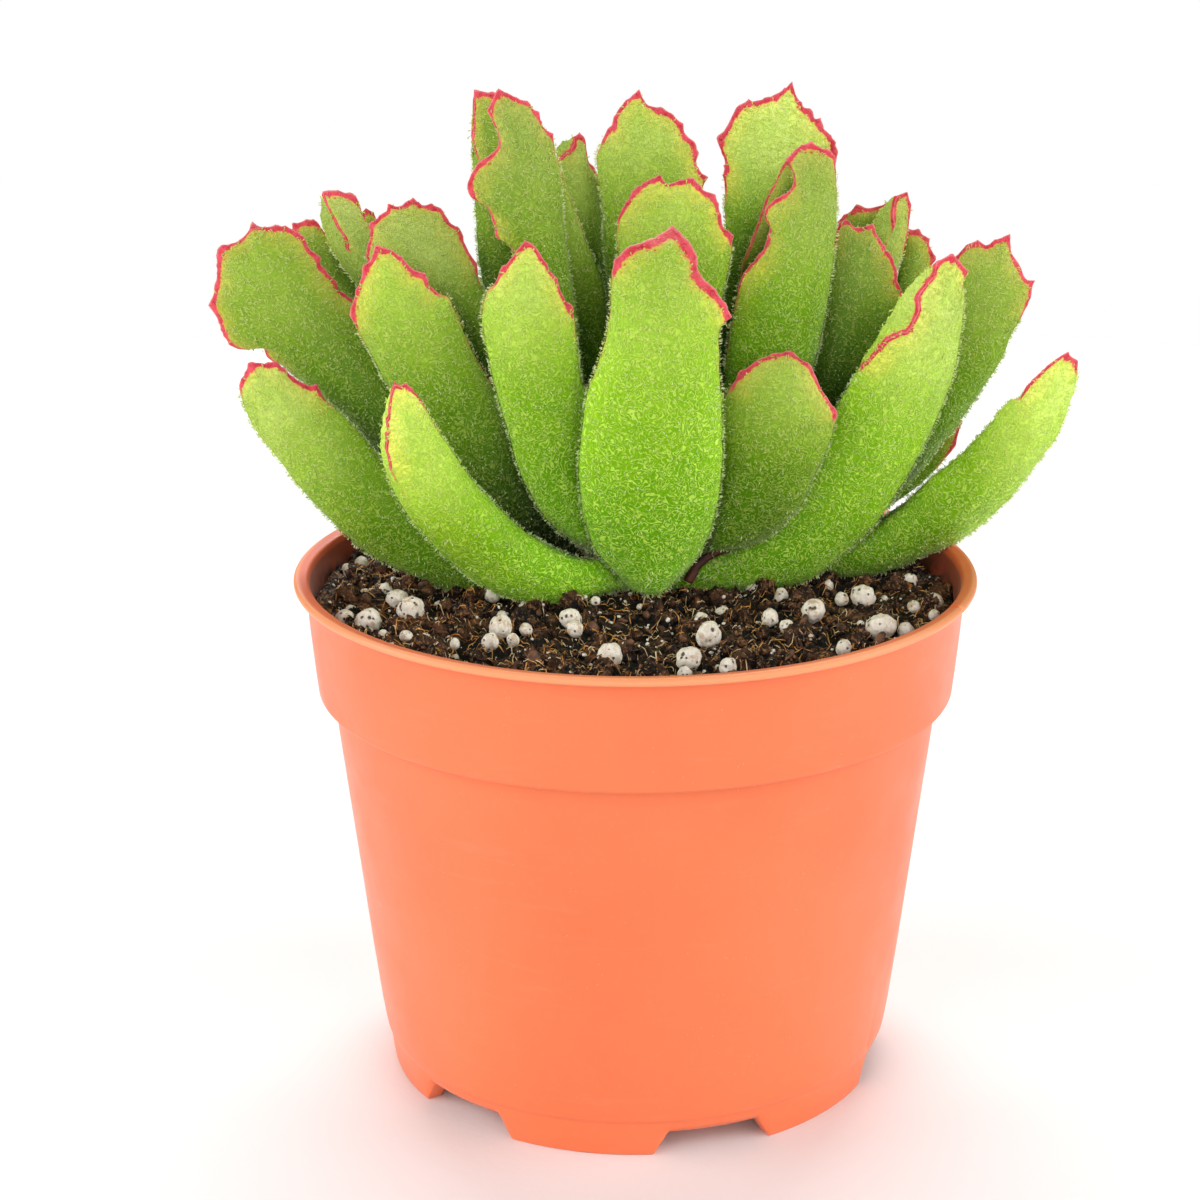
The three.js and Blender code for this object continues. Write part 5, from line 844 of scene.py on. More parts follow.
# ------------------------------------------------------------------ leaves
# Each leaf: its two margins from base to tip (x, y, z, tooth), swelling of its two faces,
# bend, side seen from the front, and the red on each margin: (way along, amount, offset, width).
LEAVES = [
    {"name": "leaf_01", "seen": True, "gain": (2.95, 1.9, 1.06), "pale": 0.25, "outer": 4.2, "inner": 2.2, "cup": 0.8, "side": 1,
     "L": [(1.97,4,75,0),(-0.99,1.75,76.38,0),(-3.59,-0.96,80.31,0),(-6.3,-3.59,84.48,0),(-7.88,-6.58,90.88,0),(-8.38,-9.35,98.33,0),(-7.86,-11.14,104.61,0),(-7.08,-12.24,110.17,0),(-5.59,-12.77,114.63,0),(-4.11,-12.89,119.25,0),(-3.52,-12.47,124.61,0),(-3.37,-11.82,128.28,0),(-2.94,-11.42,129.96,1),(-0.78,-10.59,131.84,0),(1.83,-9.68,132.55,0),(3.57,-8.96,133.15,0),(5.31,-8,134.43,1)],
     "R": [(4.16,4,75.17,0),(6.45,1.5,78.25,0),(9.3,-1.48,82.23,0),(11.19,-4.07,86.68,0),(12.28,-6.61,91.99,0),(12.78,-8.49,96.55,0),(12.79,-10.65,103.12,0),(12.54,-12.1,109.38,0),(12.17,-12.82,115.53,0),(12.27,-12.85,120.28,0),(13.99,-12.68,121.86,1),(12.82,-12.33,124.29,0),(11.52,-11.95,125.82,0),(9.2,-11.17,127.86,0),(8.77,-10.2,130.75,0),(7.19,-9.18,132.75,0),(5.31,-8,134.43,1)],
     "redL": [(0.525,0,0,0.3),(0.603,0.1,0,0.3),(0.711,0.16,0,0.3),(0.811,0.08,0,0.3),(0.846,0.6,0,0.6),(0.861,1,0,0.75),(0.941,1,0,1.25),(1,1,0,1.4)],
     "redR": [(0.526,0,0,0.3),(0.618,0.1,0,0.3),(0.731,0.12,0,0.3),(0.747,0.3,0,0.6),(0.763,1,0,0.75),(0.832,1,0,1.15),(0.921,1,0,1.3),(1,1,0,1.4)]},
    {"name": "leaf_02", "seen": True, "gain": (1.95, 1.55, 1.25), "pale": 0.4, "outer": 3.6, "inner": 1.8, "cup": 0, "side": 1,
     "L": [(-5.36,5,80.09,0),(-8.58,3.26,82.73,0),(-11.32,1.87,84.92,0),(-14.16,0.24,88.44,0),(-17.19,-2.1,95.11,0),(-19.11,-4.23,102.84,0),(-20.59,-5.63,109.03,0),(-21.64,-6.59,114.41,0),(-22.41,-7.22,118.91,0),(-22.42,-7.53,121.81,0),(-21.7,-7.74,124.39,0),(-20.35,-7.89,126.34,0),(-19.44,-7.97,128.12,1),(-18.55,-8,129.16,0),(-16.92,-8.02,131.13,0),(-16.04,-8,132.14,1)],
     "R": [(-2.71,5,80.09,0),(-2.84,2.93,85.09,0),(-4.03,0.15,92.28,0),(-5.64,-2.51,100.07,0),(-7.22,-4.66,107.57,0),(-8.23,-5.53,111.13,0),(-8.63,-6.41,115.58,0),(-8.88,-7.04,119.47,0),(-9.29,-7.4,122.23,1),(-10.31,-7.57,123.46,0),(-11.16,-7.79,125.87,0),(-12.88,-7.96,128.56,0),(-13.88,-8.01,130.13,0),(-15.02,-8.02,131.8,0),(-16.04,-8,132.14,1)],
     "redL": [(0.747,0,0,0.3),(0.823,0.15,0,0.3),(0.881,0.5,0,0.4),(0.914,0.9,0,0.5),(0.979,1,0,0.55),(1,1,0,0.6)],
     "redR": [(0.665,0,0,0.3),(0.754,0.3,0,0.3),(0.784,0.9,0,0.5),(0.857,0.7,0,0.45),(0.913,0.95,0,0.5),(1,1,0,0.6)]},
    {"name": "leaf_03", "seen": True, "gain": (1.22, 1.05, 1.02), "pale": 0.3, "outer": 3.6, "inner": 2, "cup": 0.5, "side": 1,
     "L": [(9.18,7,80.95,0),(9.91,1.09,90.43,0),(11.53,-3.55,101.12,0),(13.23,-4.91,107.63,0),(14.83,-5.03,110.71,0),(15.71,-4.94,111.99,1),(18.98,-4.3,114.04,0),(21.23,-3.65,114.5,0),(23.05,-3,114.66,1)],
     "R": [(12,7,80.62,0),(16.1,3.95,82.03,0),(20.27,1.12,84.5,0),(22.75,-0.63,87.26,0),(25.19,-2.29,90.75,0),(27.11,-3.9,96.08,0),(28.63,-4.65,99.86,0),(29.59,-4.98,103.03,0),(30.12,-5.04,105.97,1),(28.28,-4.85,108.53,0),(26.16,-4.09,112.55,0),(23.05,-3,114.66,1)],
     "redL": [(0.692,0,0,0.3),(0.754,0.5,0,0.4),(0.809,1,0,0.55),(1,1,0,0.65)],
     "redR": [(0.661,0,0,0.3),(0.726,0.3,0,0.4),(0.755,1,0,0.55),(0.919,1,0,0.6),(1,1,0,0.65)]},
    {"name": "leaf_04", "seen": True, "gain": (3, 1.95, 1.52), "pale": 0.4, "outer": 3.8, "inner": 3.4, "cup": 0, "side": 1,
     "L": [(2.3,7,73.88,0),(-1.31,4.66,75.12,0),(-7.5,0.92,74.85,0),(-11.63,-1.43,74.48,0),(-16,-3.72,75.54,0),(-20.32,-5.91,77.46,0),(-24.98,-8.33,81.02,0),(-28.82,-10.45,85.3,0),(-32.02,-12.24,89.65,0),(-34.33,-13.6,93.6,0),(-36.91,-15.5,100.6,0),(-37.16,-16.32,104.44,0),(-36.4,-17.07,108.36,0),(-35.42,-17.61,111.62,0),(-34.68,-17.89,113.45,1),(-33.88,-18,112.89,0)],
     "R": [(3.08,7,77.67,0),(-1.15,4.2,79.52,0),(-5.16,1.62,80.64,0),(-8.67,-0.57,81.64,0),(-12.94,-3.32,84.23,0),(-17.13,-6.12,87.84,0),(-21.27,-9.13,92.86,0),(-24.48,-11.49,97.38,0),(-27.32,-13.81,102.73,0),(-29.33,-15.33,106.58,0),(-30.63,-16.41,109.69,0),(-31.68,-17.09,111.64,0),(-32.95,-17.68,113.17,1),(-33.88,-18,112.89,0)],
     "redL": [(0.688,0,1.6,0.3),(0.763,0.25,1.5,0.25),(0.819,0.55,1.3,0.28),(0.878,0.75,1.25,0.3),(0.935,0.9,1,0.35),(0.982,1,0.5,0.5),(1,1,0.2,0.6)],
     "redR": [(0.773,0,0,0.3),(0.877,0.2,0,0.3),(0.948,0.6,0,0.4),(0.984,1,0,0.5),(1,1,0.2,0.6)]},
    {"name": "leaf_05", "seen": True, "gain": (1.7, 1.9, 1.22), "pale": 0.6, "outer": 3.8, "inner": 4.2, "cup": 0, "side": 1,
     "L": [(5.12,7,78.16,0),(10.12,6.75,79.71,0),(15.56,6.38,82.44,0),(23.17,5.44,90.8,0),(28.31,4.17,99.75,0),(30.87,2.99,104.92,0),(32.41,2.25,107.91,0),(33.5,1.45,110.58,1),(34.7,0.51,113.41,0),(36.33,-0.59,116.41,0),(37.99,-1.01,119.7,0),(39.94,-1.4,123.18,0),(41.97,-1.13,125.53,0),(43.75,-0.66,127.02,0),(44.94,-0.38,127.79,0),(46.74,0,128.62,1)],
     "R": [(5.76,7,74.37,0),(10.17,7.02,74.03,0),(13.63,7.02,74.04,0),(18.5,6.98,74.38,0),(23.84,6.88,74.74,0),(28.35,6.75,76.59,0),(32.79,6.54,80.43,0),(37.62,6.2,85.58,0),(41.35,6.36,91.67,0),(44.29,6.54,97.07,0),(46.63,7.11,102.48,0),(48.61,7.81,107.84,0),(49.35,7.18,112.53,0),(49.69,6.38,117.06,0),(49.69,5.02,121.04,0),(49.34,3.12,124.47,0),(49.77,2.44,125.54,1),(47.5,0.48,128.3,0),(46.74,0,128.62,1)],
     "redL": [(0.651,0,0.33,0.3),(0.676,0.6,0.38,0.42),(0.708,1,1.23,0.45),(0.737,1,1.54,0.5),(0.759,1,1.65,0.5),(0.784,1,3.02,0.5),(0.802,1,4.51,0.5),(0.835,1,4.21,0.5),(0.855,1,4.06,0.5),(0.88,1,2.47,0.5),(0.91,1,2.13,0.5),(0.942,1,1.88,0.55),(0.967,1,0.12,0.6),(1,1,0.08,0.8)],
     "redR": [(0.833,0,0,0.3),(0.897,0.25,0,0.3),(0.94,1,0,0.55),(0.989,1,0,0.65),(1,1,0,0.7)],
     "line": [(33.51,1.41,109.97,0,0.3),(34.16,0.59,111.55,0.6,0.42),(34.84,0.02,112.37,0.8,0.43),(35.54,-0.38,113.15,1,0.45),(36.09,-0.68,113.91,1,0.47),(36.65,-0.95,114.66,1,0.5),(37.5,-1.11,115.92,1,0.5),(38.38,-1.14,116.38,1,0.5),(39.26,-1.18,116.85,1,0.5),(40.88,-1.29,117.33,1,0.5),(41.28,-1.41,118.34,1,0.5),(41.69,-1.44,119.33,1,0.5),(42.27,-1.27,120.51,1,0.5),(42.06,-1.56,121.48,1,0.5),(41.88,-1.56,122.38,1,0.5),(42.45,-1.47,123.27,1,0.5),(43.03,-1.33,124.14,1,0.5),(43.69,-1.2,124.87,1,0.53),(44.36,-0.99,125.58,1,0.55),(44.55,-0.93,126.62,1,0.57),(44.79,-0.46,127.58,1,0.6),(45.77,-0.18,128.05,1,0.7),(46.73,-0.04,128.55,1,0.8)]},
    {"name": "leaf_06", "seen": True, "gain": (0.1, 0.88, 1.18), "pale": 0.25, "outer": 3.4, "inner": 1.8, "cup": 0, "side": 1,
     "L": [(-10.92,8,76.7,0),(-17.24,6.4,81.62,0),(-24.82,4.49,88.66,0),(-31.39,2.48,98.77,0),(-35.41,1.34,105.17,0),(-37.94,0.61,109.69,0),(-39.86,-0.02,113.99,0),(-41.39,-0.43,116.83,0),(-42.46,-0.77,119.49,1),(-42.33,-0.93,120.89,0),(-41.76,-1.19,123.21,0),(-40.72,-1.43,125.22,0),(-40.36,-1.61,126.9,1),(-38.79,-1.86,128.89,0),(-38.29,-2,130.26,1)],
     "R": [(-6.82,8,78.34,0),(-9.91,6.97,82.26,0),(-12.34,5.9,87.12,0),(-14.41,4.75,92.92,0),(-16.77,3.65,98.62,0),(-19.4,2.64,103.91,0),(-22.02,1.76,108.65,0),(-24.17,1.02,112.99,0),(-25.72,0.44,116.64,0),(-26.97,-0.05,119.95,0),(-28.09,-0.39,122.29,0),(-29.11,-0.54,122.78,0),(-30.55,-0.81,124.34,0),(-31.23,-1.03,126.04,1),(-32.84,-1.24,126.53,0),(-34.12,-1.46,127.92,0),(-35.54,-1.69,129.45,0),(-38.29,-2,130.26,1)],
     "redL": [(0.726,0,0,0.3),(0.779,0.2,0,0.3),(0.822,0.9,0,0.5),(0.879,0.8,0,0.5),(0.94,1,0,0.6),(1,1,0,0.6)],
     "redR": [(0.784,0.15,0,0.3),(0.81,0.5,0,0.4),(0.836,1,0,0.6),(0.891,1,0,0.6),(0.954,1,0,0.6),(1,1,0,0.6)]},
    {"name": "leaf_07", "seen": True, "gain": (1.15, 1.12, 1.12), "pale": 0.5, "outer": 3.6, "inner": 3, "cup": 0, "side": 1,
     "L": [(-11.89,8,73.72,0),(-18.16,7.04,73.37,0),(-25.33,6.07,74.06,0),(-29.84,5.52,74.71,0),(-32.75,5.17,76.11,0),(-37.19,4.67,78.39,0),(-42.04,4.18,81.39,0),(-45.76,3.81,84.91,0),(-50.33,3.42,90.09,0),(-55.09,3.1,96.86,0),(-58.53,2.98,101.94,0),(-60.13,2.96,106.96,0),(-59.95,2.97,108.98,1),(-58.91,2.99,110.53,0),(-58.57,3,111.35,1)],
     "R": [(-11.07,8,77.85,0),(-18.04,6.7,81.53,0),(-27.22,5.24,86.83,0),(-34.75,4.23,92.74,0),(-38.63,3.82,95.72,0),(-41.85,3.46,99.93,0),(-44.33,3.27,102.81,0),(-47.12,3.11,105.67,0),(-48.4,3.04,107.87,1),(-49.91,3.01,108.04,0),(-51.69,2.98,108.98,0),(-53,2.96,110.38,0),(-54.38,2.96,111.84,1),(-55.99,2.97,111.46,0),(-57.35,2.98,111.62,0),(-58.57,3,111.35,1)],
     "redL": [(0.889,0,0,0.3),(0.946,0.5,0,0.4),(0.987,1,0,0.55),(1,1,0,0.6)],
     "redR": [(0.718,0,0,0.3),(0.757,0.3,0,0.35),(0.806,0.9,0,0.5),(0.865,1,0,0.6),(1,1,0,0.6)]},
    {"name": "leaf_08", "seen": True, "gain": (1.45, 1.5, 1.5), "pale": 0.5, "outer": 3.8, "inner": 3.6, "cup": 0, "side": 1,
     "L": [(21.38,12.5,77.95,0),(30.75,10.95,80.24,0),(37.63,9.52,84.28,0),(41.39,8.62,86.99,0),(45.04,7.48,91.2,0),(50.12,5.91,96.12,0),(54.23,3.6,101.79,0),(56.6,2.01,105.63,0),(58.42,1.19,106.76,0),(58.89,0.67,108.13,0),(60.25,0.85,109.71,0),(62.12,1.09,111.43,0),(64.05,1.29,112.77,1),(65.24,1.4,113.41,1)],
     "R": [(22.27,13,73.79,0),(33.39,12.61,74.42,0),(37.02,12.29,74.85,0),(39.99,11.98,75.62,0),(45.38,11.24,78.34,0),(51.18,10.25,81.28,0),(57.63,8.6,87.65,0),(61.93,6.92,94.25,0),(65.12,5.31,100.09,0),(66.64,3.46,106.99,0),(67.09,2.55,110.16,0),(66.72,2.07,111.83,1),(65.24,1.4,113.41,1)],
     "redL": [(0.797,0,0,0.3),(0.835,0.4,0,0.35),(0.866,0.8,0,0.45),(0.938,1,0.12,0.5),(0.977,1,0.1,0.55),(1,1,0,0.6)],
     "redR": [(0.911,0,0,0.3),(0.947,0.4,0,0.4),(0.967,0.9,0,0.5),(1,1,0,0.6)]},
    {"name": "leaf_09", "seen": True, "gain": (0.75, 0.82, 0.86), "pale": 0.6, "outer": 3, "inner": 1.6, "cup": 0, "side": 1,
     "L": [(-15.1,13,83.76,0),(-22.67,10.14,95.96,0),(-28.59,8.58,105.92,0),(-33.72,7.85,113.94,0),(-37.35,7.67,120.19,0),(-39.82,7.73,124.49,0),(-40.8,7.85,127.37,0),(-40.38,7.95,129.19,0),(-40.09,8.14,131.89,1),(-37.79,8.39,133.73,0),(-37.32,8.51,134.75,1),(-35.54,8.71,134.3,0),(-33.59,9,135.59,1)],
     "R": [(-11.92,13,85.41,0),(-14.11,10.6,95.84,0),(-17.77,8.65,107.48,0),(-20.69,7.89,115.49,0),(-22.74,7.69,120.49,0),(-23.61,7.67,122.65,0),(-24.01,7.71,125.87,1),(-25.4,7.81,127.99,0),(-26.58,8.01,131,0),(-28,8.17,132.19,0),(-29.33,8.4,134.04,0),(-30.58,8.56,134.62,1),(-32.45,8.8,134.81,0),(-33.59,9,135.59,1)],
     "redL": [(0.745,0,0,0.3),(0.792,0.6,0,0.4),(0.87,1,0,0.5),(1,1,0,0.6)],
     "redR": [(0.673,0,0,0.3),(0.732,0.6,0,0.4),(0.847,0.9,0,0.5),(0.945,1,0,0.6),(1,1,0,0.6)]},
    {"name": "leaf_10", "seen": True, "gain": (0.38, 0.78, 0.9), "pale": 0.2, "outer": 3.6, "inner": 1.8, "cup": 0, "side": 1,
     "L": [(-18.37,12,73.28,0),(-29.29,11.45,81.74,0),(-38.47,11.43,92.38,0),(-45.3,11.78,100.36,0),(-50.31,12.19,105.06,0),(-54.43,12.61,108.46,0),(-57.19,12.9,110.14,0),(-58.08,13.09,111.84,0),(-60.31,13.32,111.15,0),(-63.12,13.64,111.87,0),(-64.3,13.95,114.18,0),(-64.66,14.14,115.59,0),(-66.03,14.5,117.92,1),(-65,14.98,121.19,0),(-64.69,15.41,123.98,0),(-64.51,15.78,126.3,1),(-63.52,15.99,127.1,1),(-61.53,16.34,127.66,0),(-59.66,16.8,129.44,0),(-59.06,17,130.35,1)],
     "R": [(-14.35,12,76.61,0),(-21.33,11.47,85.85,0),(-27.43,11.41,95.62,0),(-33.5,11.79,104.36,0),(-37.24,12.36,111.37,0),(-40.71,12.96,116.28,0),(-43.76,13.46,119.16,0),(-45.44,13.74,120.35,0),(-46.19,13.98,121.87,0),(-47.56,14.26,123.22,0),(-48.47,14.5,124.42,0),(-48.45,14.68,125.55,1),(-49.88,14.96,126.45,0),(-51.04,15.38,128.51,0),(-52.92,15.79,129.74,0),(-55.55,16.29,130.12,1),(-57.62,16.69,129.92,0),(-59.06,17,130.35,1)],
     "redL": [(0.564,0,0,0.3),(0.617,0.5,0,0.45),(0.644,0.8,0,0.6),(0.695,0.6,0,0.5),(0.73,1,0,0.65),(0.812,1,0,0.65),(0.915,1,0,0.65),(0.999,1,0,0.7)],
     "redR": [(0.637,0,0,0.3),(0.69,0.3,0,0.35),(0.715,0.9,0,0.5),(0.762,1,0,0.6),(0.85,1,0,0.65),(1,1,0,0.7)]},
    {"name": "leaf_11", "seen": True, "gain": (2.1, 0.98, 0.76), "pale": 0.4, "outer": 4, "inner": 1.8, "cup": 0, "side": 1,
     "L": [(-9.06,13,87.05,0),(-13.49,7.68,101.39,0),(-16.7,3.89,116.36,0),(-17.87,2.3,125.84,0),(-18.83,1.79,130.01,0),(-20.6,1.6,130.79,0),(-21.15,1.41,133.07,0),(-22.14,1.25,135.48,0),(-24.32,1.14,136.99,0),(-24.89,1.1,138.18,1),(-24.71,1.08,139.51,0),(-23.79,1.07,141.34,0),(-21.33,1.12,143.34,0),(-20.05,1.2,145.23,0),(-20.9,1.35,147.84,0),(-21.83,1.52,149.71,1),(-20.05,2,152.85,1)],
     "R": [(-5.59,13,87.05,0),(-7.38,11.23,100.5,0),(-8.96,9.08,113.67,0),(-9.92,7.48,123.31,0),(-11.02,5.88,132.89,0),(-11.1,5.03,138.14,0),(-11.36,4.61,140.74,0),(-11.92,4.17,143.47,0),(-12.18,3.79,145.89,1),(-13.42,3.54,146.95,0),(-14.24,3.2,148.96,1),(-15.21,2.97,150.1,0),(-15.57,2.88,150.6,0),(-17.89,2.48,151.57,0),(-20.05,2,152.85,1)],
     "redL": [(0.549,0,0,0.3),(0.603,0.4,0,0.35),(0.618,0.6,0,0.35),(0.644,0.5,0,0.4),(0.712,0.9,0,0.5),(0.765,1,0,0.6),(0.812,1,0,0.6),(0.885,1,0,0.6),(0.951,1,0,0.6),(1,1,0,0.6)],
     "redR": [(0.655,0,0,0.3),(0.776,0.12,0,0.3),(0.844,0.55,0,0.4),(0.9,0.9,0,0.5),(0.93,1,0,0.55),(1,1,0,0.6)]},
    {"name": "leaf_12", "seen": True, "gain": (2.8, 1.25, 0.85), "pale": 0.4, "outer": 4.2, "inner": 1.8, "cup": 0, "side": 1,
     "L": [(17.83,14,86.76,0),(14.29,10.63,97.44,0),(13.98,8.7,105.89,0),(14.17,7.39,113.26,0),(15.27,6.47,120.43,0),(16.12,6.12,124.34,0),(17.01,6.02,125.58,0),(18.93,5.87,127.89,0),(19.95,5.81,130.26,1),(20.08,5.79,131.7,0),(19.23,5.8,133.36,0),(19.58,5.82,134.86,0),(20.62,5.86,135.61,0),(22.95,5.98,137.16,0),(23.87,6.09,138.72,1),(23.4,6.24,140.54,0),(22.49,6.37,141.73,1),(23.08,6.48,142.53,0),(24.41,6.69,143.69,0),(26.32,7,144.09,1)],
     "R": [(21.64,14,86.76,0),(24.53,12.88,98.47,0),(27.51,11.48,109.2,0),(29.12,10.42,117.29,0),(29.95,9.46,124.92,0),(30.35,8.68,131.49,0),(30.34,8.07,136.89,0),(29.93,7.71,140.26,0),(29.73,7.52,142.08,0),(29.03,7.4,142.93,1),(26.32,7,144.09,1)],
     "redL": [(0.286,0,0,0.3),(0.44,0.12,0,0.3),(0.564,0.4,0,0.3),(0.607,0.9,0,0.4),(0.671,1,0,0.5),(0.725,1,0,0.5),(0.804,1,0,0.5),(0.875,1,0,0.5),(0.928,1,0,0.55),(1,1,0,0.6)],
     "redR": [(0.757,0,0,0.3),(0.846,0.15,0,0.3),(0.933,0.7,0,0.4),(0.951,1,0,0.55),(1,1,0,0.6)]},
    {"name": "leaf_13", "seen": True, "gain": (1.1, 1.15, 1.18), "pale": 0.3, "outer": 3.2, "inner": 1.6, "cup": 0, "side": 1,
     "L": [(5.15,12,84.05,0),(1.96,9.17,96.21,0),(-0.52,6.98,107.88,0),(-2.18,5.41,119.11,0),(-2.46,4.65,126.91,0),(-2.66,4.24,133.18,0),(-1.64,4.14,135.22,0),(-0.5,4.06,137.47,1),(1.58,4.01,138.9,0),(3.66,4,139.94,1)],
     "R": [(8.94,12,84.05,0),(10.06,9.42,96.15,0),(11.46,7.34,107.79,0),(12.56,5.95,117.46,0),(13.68,5.23,123.75,0),(14.37,4.8,128.4,0),(14.55,4.63,130.47,1),(12.97,4.45,132.58,0),(12.42,4.29,135.42,0),(11.72,4.22,136.84,1),(10,4.14,137.83,0),(8.62,4.07,139.44,1),(6.64,4.03,139.04,0),(4.56,4.01,138.68,0),(3.66,4,139.94,1)],
     "redL": [(0.709,0,0,0.3),(0.799,0.16,0,0.3),(0.84,0.5,0,0.35),(0.878,0.9,0,0.45),(0.961,1,0,0.6),(1,1,0,0.6)],
     "redR": [(0.675,0,0,0.3),(0.709,0.12,0,0.3),(0.738,0.9,0,0.5),(0.824,1,0,0.6),(0.912,1,0,0.6),(1,1,0,0.6)]},
    {"name": "leaf_14", "seen": True, "gain": (0.85, 0.84, 0.87), "pale": 0.3, "outer": 3.2, "inner": 1.8, "cup": 0, "side": 1,
     "L": [(26.34,16,78.72,0),(31.74,15.71,86.28,0),(37.01,15.36,96.21,0),(41,15.07,104.37,0),(44.62,14.78,112.41,0),(47.3,14.53,119.57,0),(48.38,14.4,123.5,0),(49.37,14.32,125.62,0),(50.75,14.25,127.29,0),(52.59,14.18,128.25,1),(53.78,14.14,127.55,0),(55.53,14.07,128.46,0),(57.46,14,129.12,1)],
     "R": [(28.8,16,75.87,0),(35.85,15.74,81.3,0),(42.78,15.44,88.5,0),(47.91,15.19,95.28,0),(51.2,15.02,99.54,0),(54.77,14.82,105.23,0),(56.98,14.68,109.16,0),(58.41,14.55,113.1,0),(59.83,14.46,115.96,0),(60.94,14.37,118.5,0),(61.59,14.27,121.81,1),(60.61,14.24,122.05,0),(59.35,14.17,124.02,0),(57.8,14.07,126.83,0),(57.46,14,129.12,1)],
     "redL": [(0.742,0,0,0.3),(0.807,0.3,0,0.35),(0.845,0.9,0,0.5),(0.912,1,0,0.6),(1,1,0,0.65)],
     "redR": [(0.735,0,0,0.3),(0.774,0.3,0,0.35),(0.816,0.9,0,0.5),(0.867,1,0,0.6),(1,1,0,0.65)]},
    {"name": "leaf_15", "seen": True, "gain": (0.6, 0.7, 0.77), "pale": 0.2, "outer": 2.6, "inner": 1.6, "cup": 0, "side": -1,
     "L": [(21.54,18,84.8,0),(24.15,16.7,95.86,0),(26.3,16.09,105.73,0),(27.73,16,112.14,0),(29.01,16.16,118.45,0),(30.15,16.55,124.65,0),(30.87,16.85,127.72,0),(31.11,17.14,130.31,1),(32.78,17.35,130.65,0),(34.01,17.57,129.46,0),(35.38,17.77,129.73,0),(36.87,18,130.07,1)],
     "R": [(24.76,18,83.97,0),(30.04,16.65,94.24,0),(34.97,16.04,104.13,0),(38.98,16.08,112.13,0),(41.52,16.35,116.83,0),(41.67,16.55,119.47,0),(40.69,16.74,121.32,1),(40.77,16.88,122.74,0),(40.03,17.11,124.61,0),(38.33,17.5,127.16,0),(37.26,17.79,128.8,0),(36.87,18,130.07,1)],
     "redL": [(0.741,0,0,0.3),(0.83,0.5,0,0.4),(0.879,1,0,0.5),(1,1,0,0.6)],
     "redR": [(0.689,0,0,0.3),(0.747,0.3,0,0.35),(0.768,0.8,0,0.45),(0.809,1,0,0.5),(0.939,1,0,0.6),(1,1,0,0.6)]},
    {"name": "leaf_16", "seen": True, "gain": (1.2, 1.25, 1.35), "pale": 0.8, "outer": 3.4, "inner": 1.6, "cup": -1.2, "side": -1,
     "L": [(15.91,19,90.32,0),(13.71,18.67,101.88,0),(13.13,18.66,113.16,0),(13.68,18.84,121.07,0),(14.09,19.11,127.31,0),(14,19.26,130.17,0),(13.8,19.39,132.28,0),(13.79,19.58,135.02,0),(13.54,19.75,137.31,0),(13.75,19.84,138.38,1),(13.57,19.98,140.05,0),(12.85,20.14,141.72,0),(12.67,20.24,142.78,1),(13.95,20.47,144.74,0),(15.11,20.71,146.77,0),(16.35,20.92,148.15,0),(17.47,21.06,148.74,1),(18.09,21.15,148.38,0),(20.4,21.43,149.04,0),(22.55,21.74,150.07,0),(24.11,22,151.24,1)],
     "R": [(19.91,19,90.32,0),(24.47,18.65,101.88,0),(28.2,18.7,113.15,0),(30.33,19.1,124.17,0),(30.79,19.7,133.44,0),(30.7,20.12,138.33,0),(31.21,20.34,140.46,1),(30.73,20.56,142.58,0),(29.93,20.69,143.48,0),(28.76,20.9,144.83,0),(28.48,21.02,145.89,1),(27.78,21.11,145.85,0),(27.32,21.25,146.93,1),(25.9,21.46,147.72,0),(24.48,21.83,150.06,0),(24.11,22,151.24,1)],
     "redL": [(0.579,0,0,0.3),(0.647,0.3,0,0.3),(0.708,0.9,0,0.5),(0.775,1,0,0.6),(0.871,1,0,0.6),(1,1,0,0.65)],
     "redR": [(0.693,0,0,0.3),(0.752,0.8,0,0.45),(0.789,1,0,0.6),(0.886,1,0,0.6),(1,1,0,0.65)]},
    {"name": "leaf_17", "seen": True, "gain": (1.05, 1.08, 1.1), "pale": 0.4, "outer": 3.2, "inner": 1.6, "cup": 0, "side": 1,
     "L": [(4.73,17,85.91,0),(1.52,16.76,99.1,0),(-2.09,16.85,113.55,0),(-4.1,17.05,121.42,0),(-4.71,17.23,126.09,0),(-4.85,17.44,130.88,0),(-5.22,17.63,134.41,0),(-5.75,17.8,137.16,0),(-5.9,17.93,139.13,1),(-5.89,18.03,140.65,0),(-4.35,18.31,144.13,0),(-3.43,18.41,145.03,1),(-2.9,18.59,147.28,0),(-0.44,18.89,149.71,0),(0.62,19,150.23,1)],
     "R": [(8.71,17,85.91,0),(9.39,16.75,102.35,0),(10.07,16.91,118.29,0),(10.3,17.27,129.2,0),(10.34,17.58,135.65,0),(11.02,17.68,137.18,1),(9.52,17.82,139.15,0),(9.61,17.94,141.02,1),(8.88,18.06,142.64,0),(7.61,18.18,143.84,0),(7.29,18.3,145.35,1),(5.91,18.44,146.7,0),(3.77,18.63,147.73,1),(1.63,18.82,148.47,0),(0.62,19,150.23,1)],
     "redL": [(0.721,0,0,0.3),(0.789,0.15,0,0.3),(0.834,0.2,0,0.3),(0.878,0.7,0,0.45),(0.931,1,0,0.6),(0.999,1,0,0.6)],
     "redR": [(0.712,0.3,0,0.3),(0.74,0.9,0,0.5),(0.803,1,0,0.6),(0.876,1,0,0.6),(1,1,0,0.6)]},
    {"name": "leaf_18", "seen": True, "gain": (0.88, 0.88, 0.88), "pale": 0.25, "outer": 2.4, "inner": 2, "cup": 0, "side": -1,
